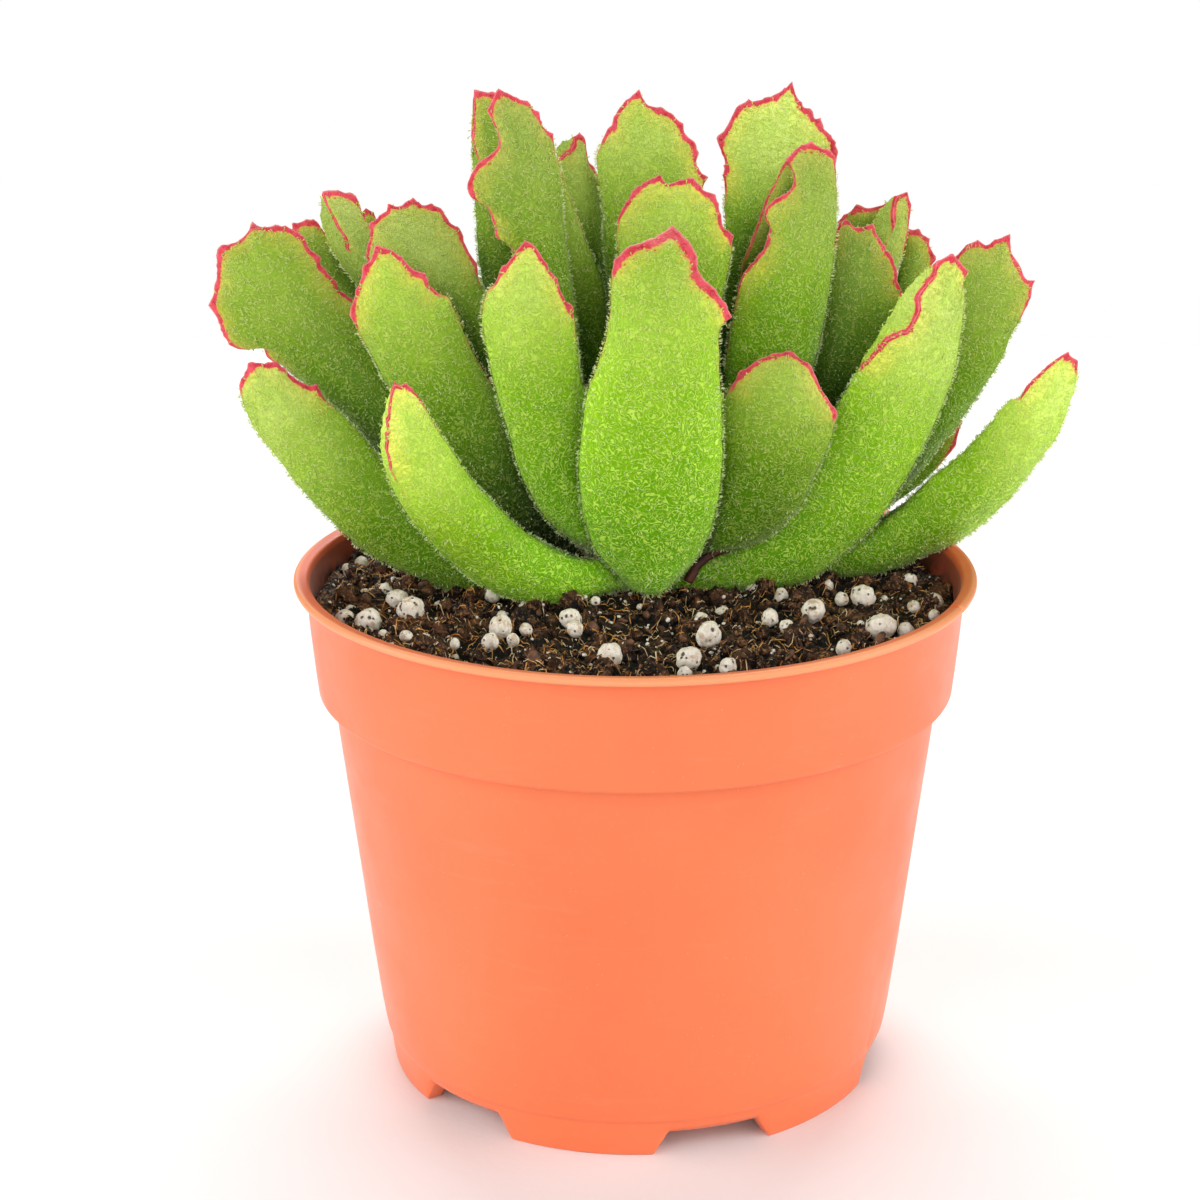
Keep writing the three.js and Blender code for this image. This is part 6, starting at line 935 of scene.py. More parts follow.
     "L": [(-12.88,19,85.35,0),(-16.97,16.77,97.47,0),(-20.86,15.23,107.53,0),(-22.58,14.45,114.07,0),(-23.51,13.78,121.28,0),(-24.22,13.34,127.58,0),(-24.41,13.07,133.02,0),(-24.61,12.92,138.39,0),(-24.68,12.88,142.18,0),(-24.84,12.89,145.95,0),(-24.48,12.94,148.94,0),(-24.24,13,151.06,1)],
     "R": [(-8.88,19,85.35,0),(-12.55,16.87,97.45,0),(-15.63,14.85,112.4,0),(-16.95,13.55,126.77,0),(-17.27,13.07,136.08,0),(-17.79,12.91,142.18,0),(-18.93,12.88,147,0),(-20.54,12.91,150.29,0),(-22.19,12.95,150.95,0),(-24.24,13,151.06,1)],
     "redL": [(0.863,0,2.11,0.3),(0.874,0.7,1.42,0.4),(0.899,1,0.34,0.4),(0.932,1,0.86,0.45),(0.963,1,0.79,0.5),(0.997,1,0.04,0.7)],
     "redR": [(0.78,0,0,0.3),(0.878,0.6,0,0.45),(0.946,1,0,0.6),(1,1,0,0.6)],
     "line": [(-22.89,11.86,142.03,0,0.3),(-23.49,12.09,142.75,0.7,0.4),(-23.98,12.32,143.55,0.85,0.4),(-24.48,12.64,144.33,1,0.4),(-24.27,12.55,145.39,1,0.43),(-24.05,12.47,146.45,1,0.45),(-23.96,12.48,147.5,1,0.47),(-23.87,12.56,148.54,1,0.5),(-24.05,12.76,149.71,1,0.6),(-24.22,12.94,150.88,1,0.7)]},
    {"name": "leaf_19", "seen": True, "gain": (0.88, 0.88, 0.88), "pale": 0.25, "outer": 1.8, "inner": 1.4, "cup": 0, "side": 1,
     "L": [(-6.9,16,86.2,0),(-9.93,14.54,102.89,0),(-11.65,13.83,118.93,0),(-12.64,13.76,128.28,0),(-12.75,13.83,133.66,0),(-12.1,13.93,137.16,0),(-11.18,14,138.67,1)],
     "R": [(-3.72,16,86.2,0),(-4.29,14.57,102.88,0),(-4.85,13.82,119.95,0),(-5.3,13.78,122.38,0),(-6.21,13.76,124.79,0),(-7.12,13.75,126.73,0),(-8.18,13.77,129.67,0),(-9.16,13.81,132.59,0),(-10.29,13.89,135.64,0),(-11.18,14,138.67,1)],
     "redL": [(0.914,0,0,0.3),(1,0.3,0,0.3)],
     "redR": [(0.726,0,0,0.3),(0.881,0.15,0,0.3),(1,0.3,0,0.3)]},
    {"name": "leaf_20", "seen": True, "gain": (0.88, 0.88, 0.88), "pale": 0.6, "outer": 2.2, "inner": 1.6, "cup": 0, "side": 1,
     "L": [(-5.05,22,87.84,0),(-7.97,21.04,109.42,0),(-10.69,21.11,125.37,0),(-12.09,21.47,136.26,0),(-12.3,21.61,139.34,0),(-12.19,21.71,141.23,1),(-11.2,21.78,142.17,0),(-9.65,21.89,142.8,0),(-8.64,22,143.51,1)],
     "R": [(-1.83,22,87.84,0),(-2.92,22.97,108.99,0),(-4.15,22.91,123.45,0),(-4.91,22.74,129.8,0),(-5.51,22.49,136.1,0),(-6.46,22.39,138.04,0),(-7.17,22.33,138.95,0),(-7.77,22.13,142.35,1),(-8.64,22,143.51,1)],
     "redL": [(0.886,0,0.04,0.3),(0.902,1,0.89,0.4),(0.943,1,2.23,0.45),(0.974,1,1.5,0.45),(0.979,1,0.57,0.45),(0.998,1,0.01,0.6)],
     "redR": [(0.757,0,0,0.3),(0.841,0.3,0,0.3),(0.902,0.6,0,0.4),(0.975,1,0,0.5),(1,1,0,0.5)],
     "line": [(-11.87,21.92,138.75,0,0.3),(-11.5,20.93,139.91,1,0.4),(-10.18,20.88,140.69,1,0.45),(-9.41,21.29,141.63,1,0.45),(-9.41,21.33,142.47,1,0.45),(-8.72,21.98,143.45,1,0.6)]},
    {"name": "leaf_21", "seen": True, "gain": (0.88, 0.88, 0.88), "pale": 0.25, "outer": 1.4, "inner": 1, "cup": 0, "side": -1,
     "L": [(18.52,18,95.52,0),(16.95,15.21,110.73,0),(16.18,14.08,118.87,0),(16.25,13.52,123.98,0),(17.19,13.24,126.83,0),(18.89,12.87,131.64,0),(20.05,12.67,135.18,0),(21.52,12.56,137.84,0),(22.25,12.52,139.57,0),(22.83,12.5,140.73,1)],
     "R": [(21.69,18,95.52,0),(24.12,15.17,110.74,0),(25.42,13.86,120.49,0),(26.11,12.98,129.96,0),(25.98,12.68,135.38,0),(24.84,12.55,138.9,0),(22.83,12.5,140.73,1)],
     "redL": [(0.506,0,0,0.3),(0.617,0.3,0,0.3),(0.789,0.5,0,0.35),(0.932,0.7,0,0.35),(1,0.8,0,0.4)],
     "redR": [(0.863,0,0,0.3),(0.942,0.4,0,0.3),(1,0.8,0,0.4)]},
    {"name": "leaf_22", "seen": True, "gain": (0.88, 0.88, 0.88), "pale": 0.6, "outer": 2.2, "inner": 1.6, "cup": 0, "side": 1,
     "L": [(26.58,22,84.49,0),(29.52,21.88,97.81,0),(32.14,22.47,110.72,0),(34.18,23.2,120.21,0),(35.49,23.71,125.68,0),(36.93,24.08,129.09,0),(38.39,24.33,130.94,0),(39.99,24.59,132.63,1),(41.33,24.79,133.54,0),(42.65,25,133.79,1)],
     "R": [(29.49,22,84.49,0),(34.53,24.46,97.16,0),(39.04,25.62,111.65,0),(41.84,25.66,122.76,0),(42.39,25.62,124.21,0),(43.01,25.5,127.16,0),(43.28,25.37,129.66,0),(43.32,25.22,131.73,1),(42.65,25,133.79,1)],
     "redL": [(0.795,0,4.41,0.3),(0.813,0.8,4.31,0.4),(0.871,1,5.04,0.45),(0.92,1,2.12,0.45),(0.954,1,0.64,0.45),(0.973,1,0.15,0.6),(0.999,1,0.05,0.7)],
     "redR": [(0.779,0,0,0.3),(0.833,0.5,0,0.4),(0.918,0.9,0,0.5),(1,1,0,0.6)],
     "line": [(39.05,22.76,124.75,0,0.3),(39.37,23.07,125.64,0.8,0.4),(40.09,23.43,126.36,0.9,0.43),(40.79,23.63,127.12,1,0.45),(40.64,23.55,128.29,1,0.45),(40.51,23.58,129.44,1,0.45),(40.39,23.82,130.56,1,0.45),(40.54,24.08,131.54,1,0.45),(40.68,24.17,132.54,1,0.45),(41.34,24.78,133.38,1,0.6),(42.6,24.99,133.82,1,0.7)]},
    {"name": "leaf_23", "seen": True, "gain": (0.88, 0.88, 0.88), "pale": 0.25, "outer": 2.2, "inner": 1.6, "cup": 0, "side": -1,
     "L": [(-16.93,20,85.06,0),(-24.86,21.27,94.67,0),(-34.33,22.66,104.18,0),(-42.17,23.81,112.04,0),(-49.19,24.84,119.08,0),(-52.27,25.37,122.98,0),(-54.09,25.75,126.1,0),(-54.09,26,128.53,1)],
     "R": [(-14.5,20,86.73,0),(-20.03,21.1,96.37,0),(-29.18,22.44,106.19,0),(-36.53,23.52,114.04,0),(-41.69,24.24,118.88,0),(-45.54,24.88,123.87,0),(-48.8,25.35,127.12,0),(-50.03,25.57,128.85,0),(-50.75,25.66,129.45,1),(-52.4,25.83,129.1,0),(-54.09,26,128.53,1)],
     "redL": [(0.81,0,0,0.3),(0.902,0.5,0,0.4),(0.958,0.9,0,0.5),(1,1,0,0.6)],
     "redR": [(0.689,0,0,0.3),(0.783,0.5,0,0.4),(0.823,0.8,0,0.5),(0.943,1,0,0.6),(1,1,0,0.6)]},
    {"name": "leaf_24", "seen": True, "gain": (0.88, 0.88, 0.88), "pale": 0.7, "outer": 2.2, "inner": 1.6, "cup": 0, "side": -1,
     "L": [(-16.85,19,88.67,0),(-24.95,18.75,99.91,0),(-32.97,18.92,109.58,0),(-40.81,19.39,117.47,0),(-44.62,19.75,121.68,0),(-46.43,19.99,124.32,0),(-48.23,20.29,127.41,0),(-48.97,20.55,130.03,0),(-48.91,20.79,132.48,0),(-48.49,21,134.44,1)],
     "R": [(-14.43,19,90.32,0),(-19.85,18.76,101.86,0),(-27.54,18.9,113.11,0),(-34.44,19.32,120.97,0),(-38.23,19.72,126.41,0),(-42,20.12,130.05,0),(-42.89,20.38,132.86,0),(-43.35,20.48,133.92,1),(-44.6,20.61,134.38,0),(-46.16,20.76,134.71,0),(-48.49,21,134.44,1)],
     "redL": [(0.836,0,2.94,0.3),(0.857,0.6,3.39,0.35),(0.907,1,3.97,0.4),(0.97,1,2.79,0.42),(0.989,1,0.85,0.45),(0.998,1,0.08,0.7)],
     "redR": [(0.711,0,0,0.3),(0.787,0.5,0,0.4),(0.839,0.9,0,0.5),(0.932,1,0,0.6),(1,1,0,0.6)],
     "line": [(-44.86,19.2,126.98,0,0.3),(-45.14,19.27,128.22,0.6,0.35),(-45.26,19.35,129.3,0.8,0.38),(-45.39,19.47,130.37,1,0.4),(-45.93,19.69,131.42,1,0.41),(-46.46,19.98,132.47,1,0.42),(-47.17,20.28,133.11,1,0.43),(-47.89,20.65,133.75,1,0.45),(-48.44,20.94,134.33,1,0.7)]},
    {"name": "leaf_25", "seen": True, "gain": (0.88, 0.88, 0.88), "pale": 0.25, "outer": 1.8, "inner": 1.4, "cup": 0, "side": -1,
     "L": [(-14.61,24,88.96,0),(-21.72,24.39,100.48,0),(-29.55,25.08,111.77,0),(-35.77,25.77,119.7,0),(-39.65,26.28,124.41,0),(-42.27,26.67,127.84,0),(-43.17,26.91,130.18,0),(-42.64,27,130.91,1)],
     "R": [(-12.17,24,90.64,0),(-16.89,24.34,102.14,0),(-23.16,24.87,111.81,0),(-31,25.57,119.74,0),(-35.68,26.08,124.44,0),(-39.6,26.48,126.76,0),(-41.29,26.74,129.1,0),(-41.32,26.86,130.33,1),(-42.64,27,130.91,1)],
     "redL": [(0.891,0,0,0.3),(0.952,0.7,0,0.4),(1,1,0,0.5)],
     "redR": [(0.854,0,0,0.3),(0.929,0.6,0,0.4),(0.974,1,0,0.5),(1,1,0,0.5)]},
    {"name": "leaf_26", "seen": True, "gain": (0.88, 0.88, 0.88), "pale": 0.25, "outer": 2, "inner": 1.4, "cup": 0, "side": -1,
     "L": [(24.36,26,85.05,0),(27.54,28.32,96.19,0),(29.82,30.08,109.04,0),(31.23,30.88,120.32,0),(32.41,31.04,128.14,0),(34.8,31.01,130.12,1),(35.26,31,130.71,1)],
     "R": [(26.8,26,85.05,0),(31.91,28.19,96.23,0),(36.26,29.88,109.09,0),(38.96,30.65,118.74,0),(40.27,30.91,124.35,0),(40.48,31.01,128.36,0),(40.55,31.04,131.39,0),(38.93,31.04,130.59,0),(37,31.03,130.34,0),(35.26,31,130.71,1)],
     "redL": [(0.783,0,0,0.3),(0.908,0.6,0,0.4),(0.983,0.9,0,0.5),(1,1,0,0.6)],
     "redR": [(0.76,0,0,0.3),(0.84,0.6,0,0.4),(0.899,0.9,0,0.5),(1,1,0,0.6)]},
    {"name": "leaf_27", "seen": True, "gain": (0.88, 0.88, 0.88), "pale": 0.25, "outer": 2, "inner": 1.4, "cup": 0, "side": -1,
     "L": [(30.02,25,83.64,0),(34.21,28.04,94.59,0),(38.3,30.05,105.75,0),(41.01,30.94,115.42,0),(42.61,31.12,121.57,0),(43.07,31.11,124.8,0),(43.65,31.06,126.74,1),(45.16,31,126.8,1)],
     "R": [(32.48,25,82.8,0),(37.8,28.2,94.55,0),(42.19,30.11,105.74,0),(44.6,30.86,113.8,0),(45.9,31.08,118.98,0),(47.09,31.12,120.46,0),(48.21,31.12,121.92,1),(47.11,31.1,124.16,0),(47.04,31.08,125.18,1),(45.92,31.04,126.17,0),(45.16,31,126.8,1)],
     "redL": [(0.859,0,0,0.3),(0.929,0.7,0,0.4),(1,1,0,0.5)],
     "redR": [(0.808,0,0,0.3),(0.848,0.7,0,0.4),(0.88,1,0,0.5),(1,1,0,0.5)]},
    {"name": "leaf_28", "seen": False, "gain": (0.88, 0.88, 0.88), "pale": 0.25, "outer": 3.2, "inner": 1.7, "cup": 0.4, "side": 1,
     "L": [(-18.28,16.35,82,0),(-22.86,17.94,84.03,0),(-29.95,20.43,87.69,0),(-36.61,22.25,91.95,0),(-42.3,23.49,96.78,0),(-45.97,25.38,101.98,1),(-47.13,26.56,104.89,0),(-47.29,27.86,106.66,1),(-47.09,29.62,108.54,0),(-46.75,30.97,109.8,0),(-46,33,111,1)],
     "R": [(-15.72,21.65,82,0),(-19.82,24.25,84.03,0),(-26.17,28.25,87.69,0),(-32.21,32.56,92.33,0),(-36.43,35.92,96.9,0),(-40.15,37.82,102.26,1),(-41.77,37.73,104.97,0),(-42.68,37.62,106.91,1),(-44.04,35.91,108.51,0),(-45.03,34.84,110.54,0),(-46,33,111,1)],
     "redL": [(0.55,0,0,0.3),(0.68,0.4,0,0.35),(0.76,1,0,0.4),(1,1,0,0.45)],
     "redR": [(0.55,0,0,0.3),(0.68,0.4,0,0.35),(0.76,1,0,0.4),(1,1,0,0.45)]},
    {"name": "leaf_29", "seen": False, "gain": (0.88, 0.88, 0.88), "pale": 0.25, "outer": 3.2, "inner": 1.7, "cup": 0.4, "side": 1,
     "L": [(-16.13,21.97,84,0),(-19.7,24.9,85.95,0),(-25.18,29.43,89.5,0),(-30.88,33.57,94.04,0),(-35.26,36.51,98.7,0),(-37.56,39.02,103.14,1),(-38,40.81,106.15,0),(-38.23,41.58,107.98,1),(-37.13,43.28,109.54,0),(-36.33,44.5,111.02,0),(-35,46,112,1)],
     "R": [(-11.87,26.03,84,0),(-14.64,29.74,85.95,0),(-18.9,35.42,89.5,0),(-22.76,41.29,94.02,0),(-25.16,45.62,98.29,0),(-27.65,48.6,103.29,1),(-29.51,48.95,106.23,0),(-30.49,48.79,107.63,1),(-32.07,48.1,109.52,0),(-33.44,47.34,111.31,0),(-35,46,112,1)],
     "redL": [(0.55,0,0,0.3),(0.68,0.4,0,0.35),(0.76,1,0,0.4),(1,1,0,0.45)],
     "redR": [(0.55,0,0,0.3),(0.68,0.4,0,0.35),(0.76,1,0,0.4),(1,1,0,0.45)]},
    {"name": "leaf_30", "seen": False, "gain": (0.88, 0.88, 0.88), "pale": 0.25, "outer": 3.2, "inner": 1.7, "cup": 0.4, "side": 1,
     "L": [(-10.8,22.79,84,0),(-13.09,26.65,86.02,0),(-16.49,32.34,89.94,0),(-20.05,37.29,94.76,0),(-22.89,41.07,99.84,0),(-24.7,43.85,104.97,1),(-24.03,45.36,107.42,0),(-23.88,46.29,109.58,1),(-22.29,47.58,111.57,0),(-21.01,48.53,113.37,0),(-19,49.5,114,1)],
     "R": [(-5.2,25.21,84,0),(-6.43,29.52,86.02,0),(-8.24,35.9,89.94,0),(-9.4,41.89,94.76,0),(-9.94,46.57,99.74,0),(-10.97,49.65,104.76,1),(-12.52,50.58,108,0),(-13.53,50.96,110.22,1),(-15.49,50.47,111.41,0),(-16.99,50.25,113.33,0),(-19,49.5,114,1)],
     "redL": [(0.55,0,0,0.3),(0.68,0.4,0,0.35),(0.76,1,0,0.4),(1,1,0,0.45)],
     "redR": [(0.55,0,0,0.3),(0.68,0.4,0,0.35),(0.76,1,0,0.4),(1,1,0,0.45)]},
    {"name": "leaf_31", "seen": False, "gain": (0.88, 0.88, 0.88), "pale": 0.25, "outer": 3.2, "inner": 1.7, "cup": 0.4, "side": 1,
     "L": [(-2.14,23.76,84,0),(-3.05,27.75,85.78,0),(-4.42,33.77,89.13,0),(-6.19,39.27,93.21,0),(-7.38,43.6,97.57,0),(-8.57,46.6,101.95,1),(-7.46,48.06,104.74,0),(-6.94,48.59,106.05,1),(-4.58,49.23,107.57,0),(-3.13,49.67,109,0),(-1,50,110,1)],
     "R": [(4.14,24.24,84,0),(4.43,28.32,85.78,0),(4.86,34.48,89.13,0),(5.76,40.33,93.33,0),(6.4,44.8,97.74,0),(6.81,47.82,102.01,1),(5.63,49,104.58,0),(4.86,49.55,106.19,1),(2.73,49.86,107.84,0),(1.16,49.98,108.89,0),(-1,50,110,1)],
     "redL": [(0.55,0,0,0.3),(0.68,0.4,0,0.35),(0.76,1,0,0.4),(1,1,0,0.45)],
     "redR": [(0.55,0,0,0.3),(0.68,0.4,0,0.35),(0.76,1,0,0.4),(1,1,0,0.45)]},
    {"name": "leaf_32", "seen": False, "gain": (0.88, 0.88, 0.88), "pale": 0.25, "outer": 3.2, "inner": 1.7, "cup": 0.4, "side": 1,
     "L": [(6.91,24.59,85,0),(7.12,28.89,86.94,0),(7.42,35.23,90.74,0),(7.15,40.97,95.33,0),(7.26,45.84,100.82,0),(7.04,48.59,105.11,1),(8.21,49.6,107.78,0),(9.22,50.14,109.81,1),(11.16,50.3,111.73,0),(12.83,50.28,113.14,0),(15,50,114,1)],
     "R": [(13.09,23.41,85,0),(14.49,27.48,86.94,0),(16.56,33.48,90.74,0),(19.01,39.07,95.69,0),(20.62,43.13,100.63,0),(21.53,46.03,105.56,1),(21,47.24,108.02,0),(20.68,48.04,110.12,1),(18.5,48.8,111.37,0),(17.25,49.48,113.44,0),(15,50,114,1)],
     "redL": [(0.55,0,0,0.3),(0.68,0.4,0,0.35),(0.76,1,0,0.4),(1,1,0,0.45)],
     "redR": [(0.55,0,0,0.3),(0.68,0.4,0,0.35),(0.76,1,0,0.4),(1,1,0,0.45)]},
    {"name": "leaf_33", "seen": False, "gain": (0.88, 0.88, 0.88), "pale": 0.25, "outer": 3.2, "inner": 1.7, "cup": 0.4, "side": 1,
     "L": [(18.35,29.01,84,0),(19.16,32.66,85.73,0),(20.32,37.97,89.16,0),(20.94,43,93.54,0),(21.54,46.6,97.94,0),(21.54,49.23,102.13,1),(22.94,49.98,105,0),(24.04,50.1,106.57,1),(25.71,49.88,108.1,0),(27.06,49.59,109.13,0),(29,49,110,1)],
     "R": [(23.65,26.99,84,0),(25.47,30.26,85.73,0),(28.14,34.99,89.16,0),(30.98,39.02,93.39,0),(33.14,42.39,98.22,0),(34.48,44.3,102.14,1),(33.94,45.6,104.52,0),(33.71,46.3,106.2,1),(32.03,47.52,108.31,0),(30.89,48.1,108.97,0),(29,49,110,1)],
     "redL": [(0.55,0,0,0.3),(0.68,0.4,0,0.35),(0.76,1,0,0.4),(1,1,0,0.45)],
     "redR": [(0.55,0,0,0.3),(0.68,0.4,0,0.35),(0.76,1,0,0.4),(1,1,0,0.45)]},
    {"name": "leaf_34", "seen": False, "gain": (0.88, 0.88, 0.88), "pale": 0.25, "outer": 3.2, "inner": 1.7, "cup": 0.4, "side": 1,
     "L": [(25.79,28.94,82,0),(27.86,32.15,83.88,0),(30.67,36.64,87.79,0),(32.85,41.05,93.08,0),(34.11,43.83,97.62,0),(35.32,46.14,103.09,1),(36.46,46.03,105.04,0),(37.54,45.87,107.1,1),(39.12,45.12,109.2,0),(40.4,44.27,110.36,0),(42,43,111,1)],
     "R": [(30.21,25.06,82,0),(33.13,27.54,83.88,0),(37.2,30.92,87.79,0),(41.23,33.61,92.97,0),(43.97,35.34,97.8,0),(45.82,36.94,103.08,1),(45.68,38.02,105.17,0),(45.73,38.79,107.35,1),(44.41,40.43,108.98,0),(43.44,41.62,110.39,0),(42,43,111,1)],
     "redL": [(0.55,0,0,0.3),(0.68,0.4,0,0.35),(0.76,1,0,0.4),(1,1,0,0.45)],
     "redR": [(0.55,0,0,0.3),(0.68,0.4,0,0.35),(0.76,1,0,0.4),(1,1,0,0.45)]},
    {"name": "leaf_35", "seen": False, "gain": (0.88, 0.88, 0.88), "pale": 0.25, "outer": 2.6, "inner": 1.7, "cup": 0.4, "side": 1,
     "L": [(29.05,26.33,78,0),(32.14,28.12,79.47,0),(36.95,30.86,82.12,0),(41.58,33.92,85.48,0),(44.84,36.53,88.9,0),(47.49,37.45,92.4,1),(48.66,37.23,94.18,0),(49.56,36.86,95.82,1),(50.58,35.55,97.23,0),(51.25,34.61,98.46,0),(52,33,99,1)],
     "R": [(30.95,21.67,78,0),(34.41,22.56,79.47,0),(39.77,23.98,82.12,0),(45.17,25.02,85.45,0),(49.19,25.96,88.92,0),(51.98,26.48,92.4,1),(52.53,27.73,94.14,0),(52.95,28.31,95.55,1),(52.87,30.01,97.35,0),(52.5,31.35,98.06,0),(52,33,99,1)],
     "redL": [(0.55,0,0,0.3),(0.68,0.4,0,0.35),(0.76,1,0,0.4),(1,1,0,0.45)],
     "redR": [(0.55,0,0,0.3),(0.68,0.4,0,0.35),(0.76,1,0,0.4),(1,1,0,0.45)]},
    {"name": "leaf_36", "seen": False, "gain": (0.88, 0.88, 0.88), "pale": 0.25, "outer": 3.2, "inner": 1.7, "cup": 0.4, "side": 1,
     "L": [(0.86,21.76,90,0),(-0.05,25.74,92.25,0),(-1.26,29.72,97.07,0),(-2.78,31.89,103.56,0),(-4.09,32.83,110.36,0),(-4.23,33.44,118.11,1),(-3.56,33.77,122.22,0),(-2.95,33.96,124.21,1),(-0.57,34.43,127.83,0),(0.83,34.68,129.41,0),(3,35,131,1)],
     "R": [(7.14,22.24,90,0),(7.43,26.31,92.25,0),(8.01,30.43,97.07,0),(9.19,32.81,103.55,0),(10.35,33.98,110.8,0),(10.39,34.52,117.39,1),(9.66,34.76,121.79,0),(8.77,34.9,124.78,1),(6.68,34.94,127.28,0),(5.28,35.06,129.79,0),(3,35,131,1)],
     "redL": [(0.55,0,0,0.3),(0.68,0.4,0,0.35),(0.76,1,0,0.4),(1,1,0,0.45)],
     "redR": [(0.55,0,0,0.3),(0.68,0.4,0,0.35),(0.76,1,0,0.4),(1,1,0,0.45)]},
    {"name": "leaf_37", "seen": False, "gain": (0.88, 0.88, 0.88), "pale": 0.25, "outer": 3.2, "inner": 1.7, "cup": 0.4, "side": 1,
     "L": [(-10.35,22.24,90,0),(-13.3,25.23,92.26,0),(-16.63,28.28,97.04,0),(-19.32,29.76,103.6,0),(-20.94,30.39,110.61,0),(-21.63,31.01,118.15,1),(-21.1,31.8,121.34,0),(-21.03,32.28,125.13,1),(-19.7,33.62,128.06,0),(-18.64,34.59,129.55,0),(-17,36,131,1)],
     "R": [(-5.65,25.76,90,0),(-7.7,29.43,92.26,0),(-9.69,33.49,97.04,0),(-10.31,36.41,103.29,0),(-10.49,38.21,110.49,0),(-10.61,39.19,117.44,1),(-11.53,39.04,121.98,0),(-12.11,38.89,124.41,1),(-13.97,37.87,127.66,0),(-15.26,37.13,129.58,0),(-17,36,131,1)],
     "redL": [(0.55,0,0,0.3),(0.68,0.4,0,0.35),(0.76,1,0,0.4),(1,1,0,0.45)],
     "redR": [(0.55,0,0,0.3),(0.68,0.4,0,0.35),(0.76,1,0,0.4),(1,1,0,0.45)]},
    {"name": "leaf_38", "seen": False, "gain": (0.88, 0.88, 0.88), "pale": 0.25, "outer": 3.2, "inner": 1.7, "cup": 0.4, "side": 1,
     "L": [(17.21,25.93,90,0),(17.92,29.84,92.2,0),(18.38,33.85,96.9,0),(17.87,36.33,103.14,0),(17.13,37.66,110.07,0),(17.39,38.2,117.6,1),(17.83,38.27,120.81,0),(18.62,38.29,124.48,1),(20.45,37.81,126.08,0),(22,37.51,128.49,0),(24,37,130,1)],
     "R": [(22.79,24.07,90,0),(24.56,27.62,92.2,0),(26.61,31.11,96.9,0),(28.5,32.79,103.17,0),(30.04,33.39,110.36,0),(30.08,33.94,117.29,1),(29.26,34.45,120.56,0),(29.18,34.72,123.88,1),(27.11,35.64,126.66,0),(25.98,36.25,129.09,0),(24,37,130,1)],
     "redL": [(0.55,0,0,0.3),(0.68,0.4,0,0.35),(0.76,1,0,0.4),(1,1,0,0.45)],
     "redR": [(0.55,0,0,0.3),(0.68,0.4,0,0.35),(0.76,1,0,0.4),(1,1,0,0.45)]},
    {"name": "leaf_39", "seen": False, "gain": (0.88, 0.88, 0.88), "pale": 0.25, "outer": 3.2, "inner": 1.7, "cup": 0.4, "side": 1,
     "L": [(23.9,34.4,92,0),(25.27,37.32,93.82,0),(26.5,40.46,97.83,0),(26.66,42.65,103.03,0),(26.64,43.85,108.74,0),(26.61,44.54,114.28,1),(27.29,44.43,117.69,0),(27.84,44.22,119.3,1),(29.32,43.48,121.57,0),(30.46,42.95,123.45,0),(32,42,124,1)],
     "R": [(28.1,31.6,92,0),(30.27,33.99,93.82,0),(32.69,36.33,97.83,0),(34.64,37.31,102.98,0),(35.96,37.68,109.06,0),(36.68,37.83,114.42,1),(36.06,38.54,117.35,0),(35.79,38.95,119.62,1),(34.43,40.04,121.28,0),(33.44,40.94,123.2,0),(32,42,124,1)],
     "redL": [(0.55,0,0,0.3),(0.68,0.4,0,0.35),(0.76,1,0,0.4),(1,1,0,0.45)],
     "redR": [(0.55,0,0,0.3),(0.68,0.4,0,0.35),(0.76,1,0,0.4),(1,1,0,0.45)]},
    {"name": "leaf_40", "seen": False, "gain": (0.88, 0.88, 0.88), "pale": 0.25, "outer": 3.2, "inner": 1.7, "cup": 0.4, "side": 1,
     "L": [(-19.87,27.31,93,0),(-22.14,29.12,94.46,0),(-25.04,31.26,97.49,0),(-27.66,32.56,101.45,0),(-29.58,33.3,105.73,0),(-30.53,34.04,109.9,1),(-30.29,34.99,112.58,0),(-30.03,35.61,114.3,1),(-29.03,36.85,116.08,0),(-28.28,37.77,117.49,0),(-27,39,118,1)],
     "R": [(-16.13,30.69,93,0),(-17.68,33.13,94.46,0),(-19.51,36.24,97.49,0),(-20.53,38.98,101.45,0),(-21.25,40.94,106.04,0),(-21.61,42.13,110.13,1),(-22.72,41.79,112.54,0),(-23.19,41.8,114.46,1),(-24.55,40.91,116.17,0),(-25.67,40.1,117.35,0),(-27,39,118,1)],
     "redL": [(0.55,0,0,0.3),(0.68,0.4,0,0.35),(0.76,1,0,0.4),(1,1,0,0.45)],
     "redR": [(0.55,0,0,0.3),(0.68,0.4,0,0.35),(0.76,1,0,0.4),(1,1,0,0.45)]},
]
NC = 25
M0, M1 = 0.05, 0.90
TB = np.array([0, .1, .3, .55, .75, .9, 1.0])
TS = np.array([.85, .95, 1.0, 1.0, .8, .55, .4])


def alen(P):
    d = np.r_[0, np.cumsum(np.linalg.norm(np.diff(P, axis=0), axis=1))]
    return d / d[-1]


def resample(P, n):
    t, u = alen(P), np.linspace(0, 1, n)
    return np.c_[[np.interp(u, t, P[:, k]) for k in range(3)]].T


def smooth_line(P, it):
    P = P.copy()
    for _ in range(it):
        P[1:-1] = .5 * P[1:-1] + .25 * (P[:-2] + P[2:])
    return P


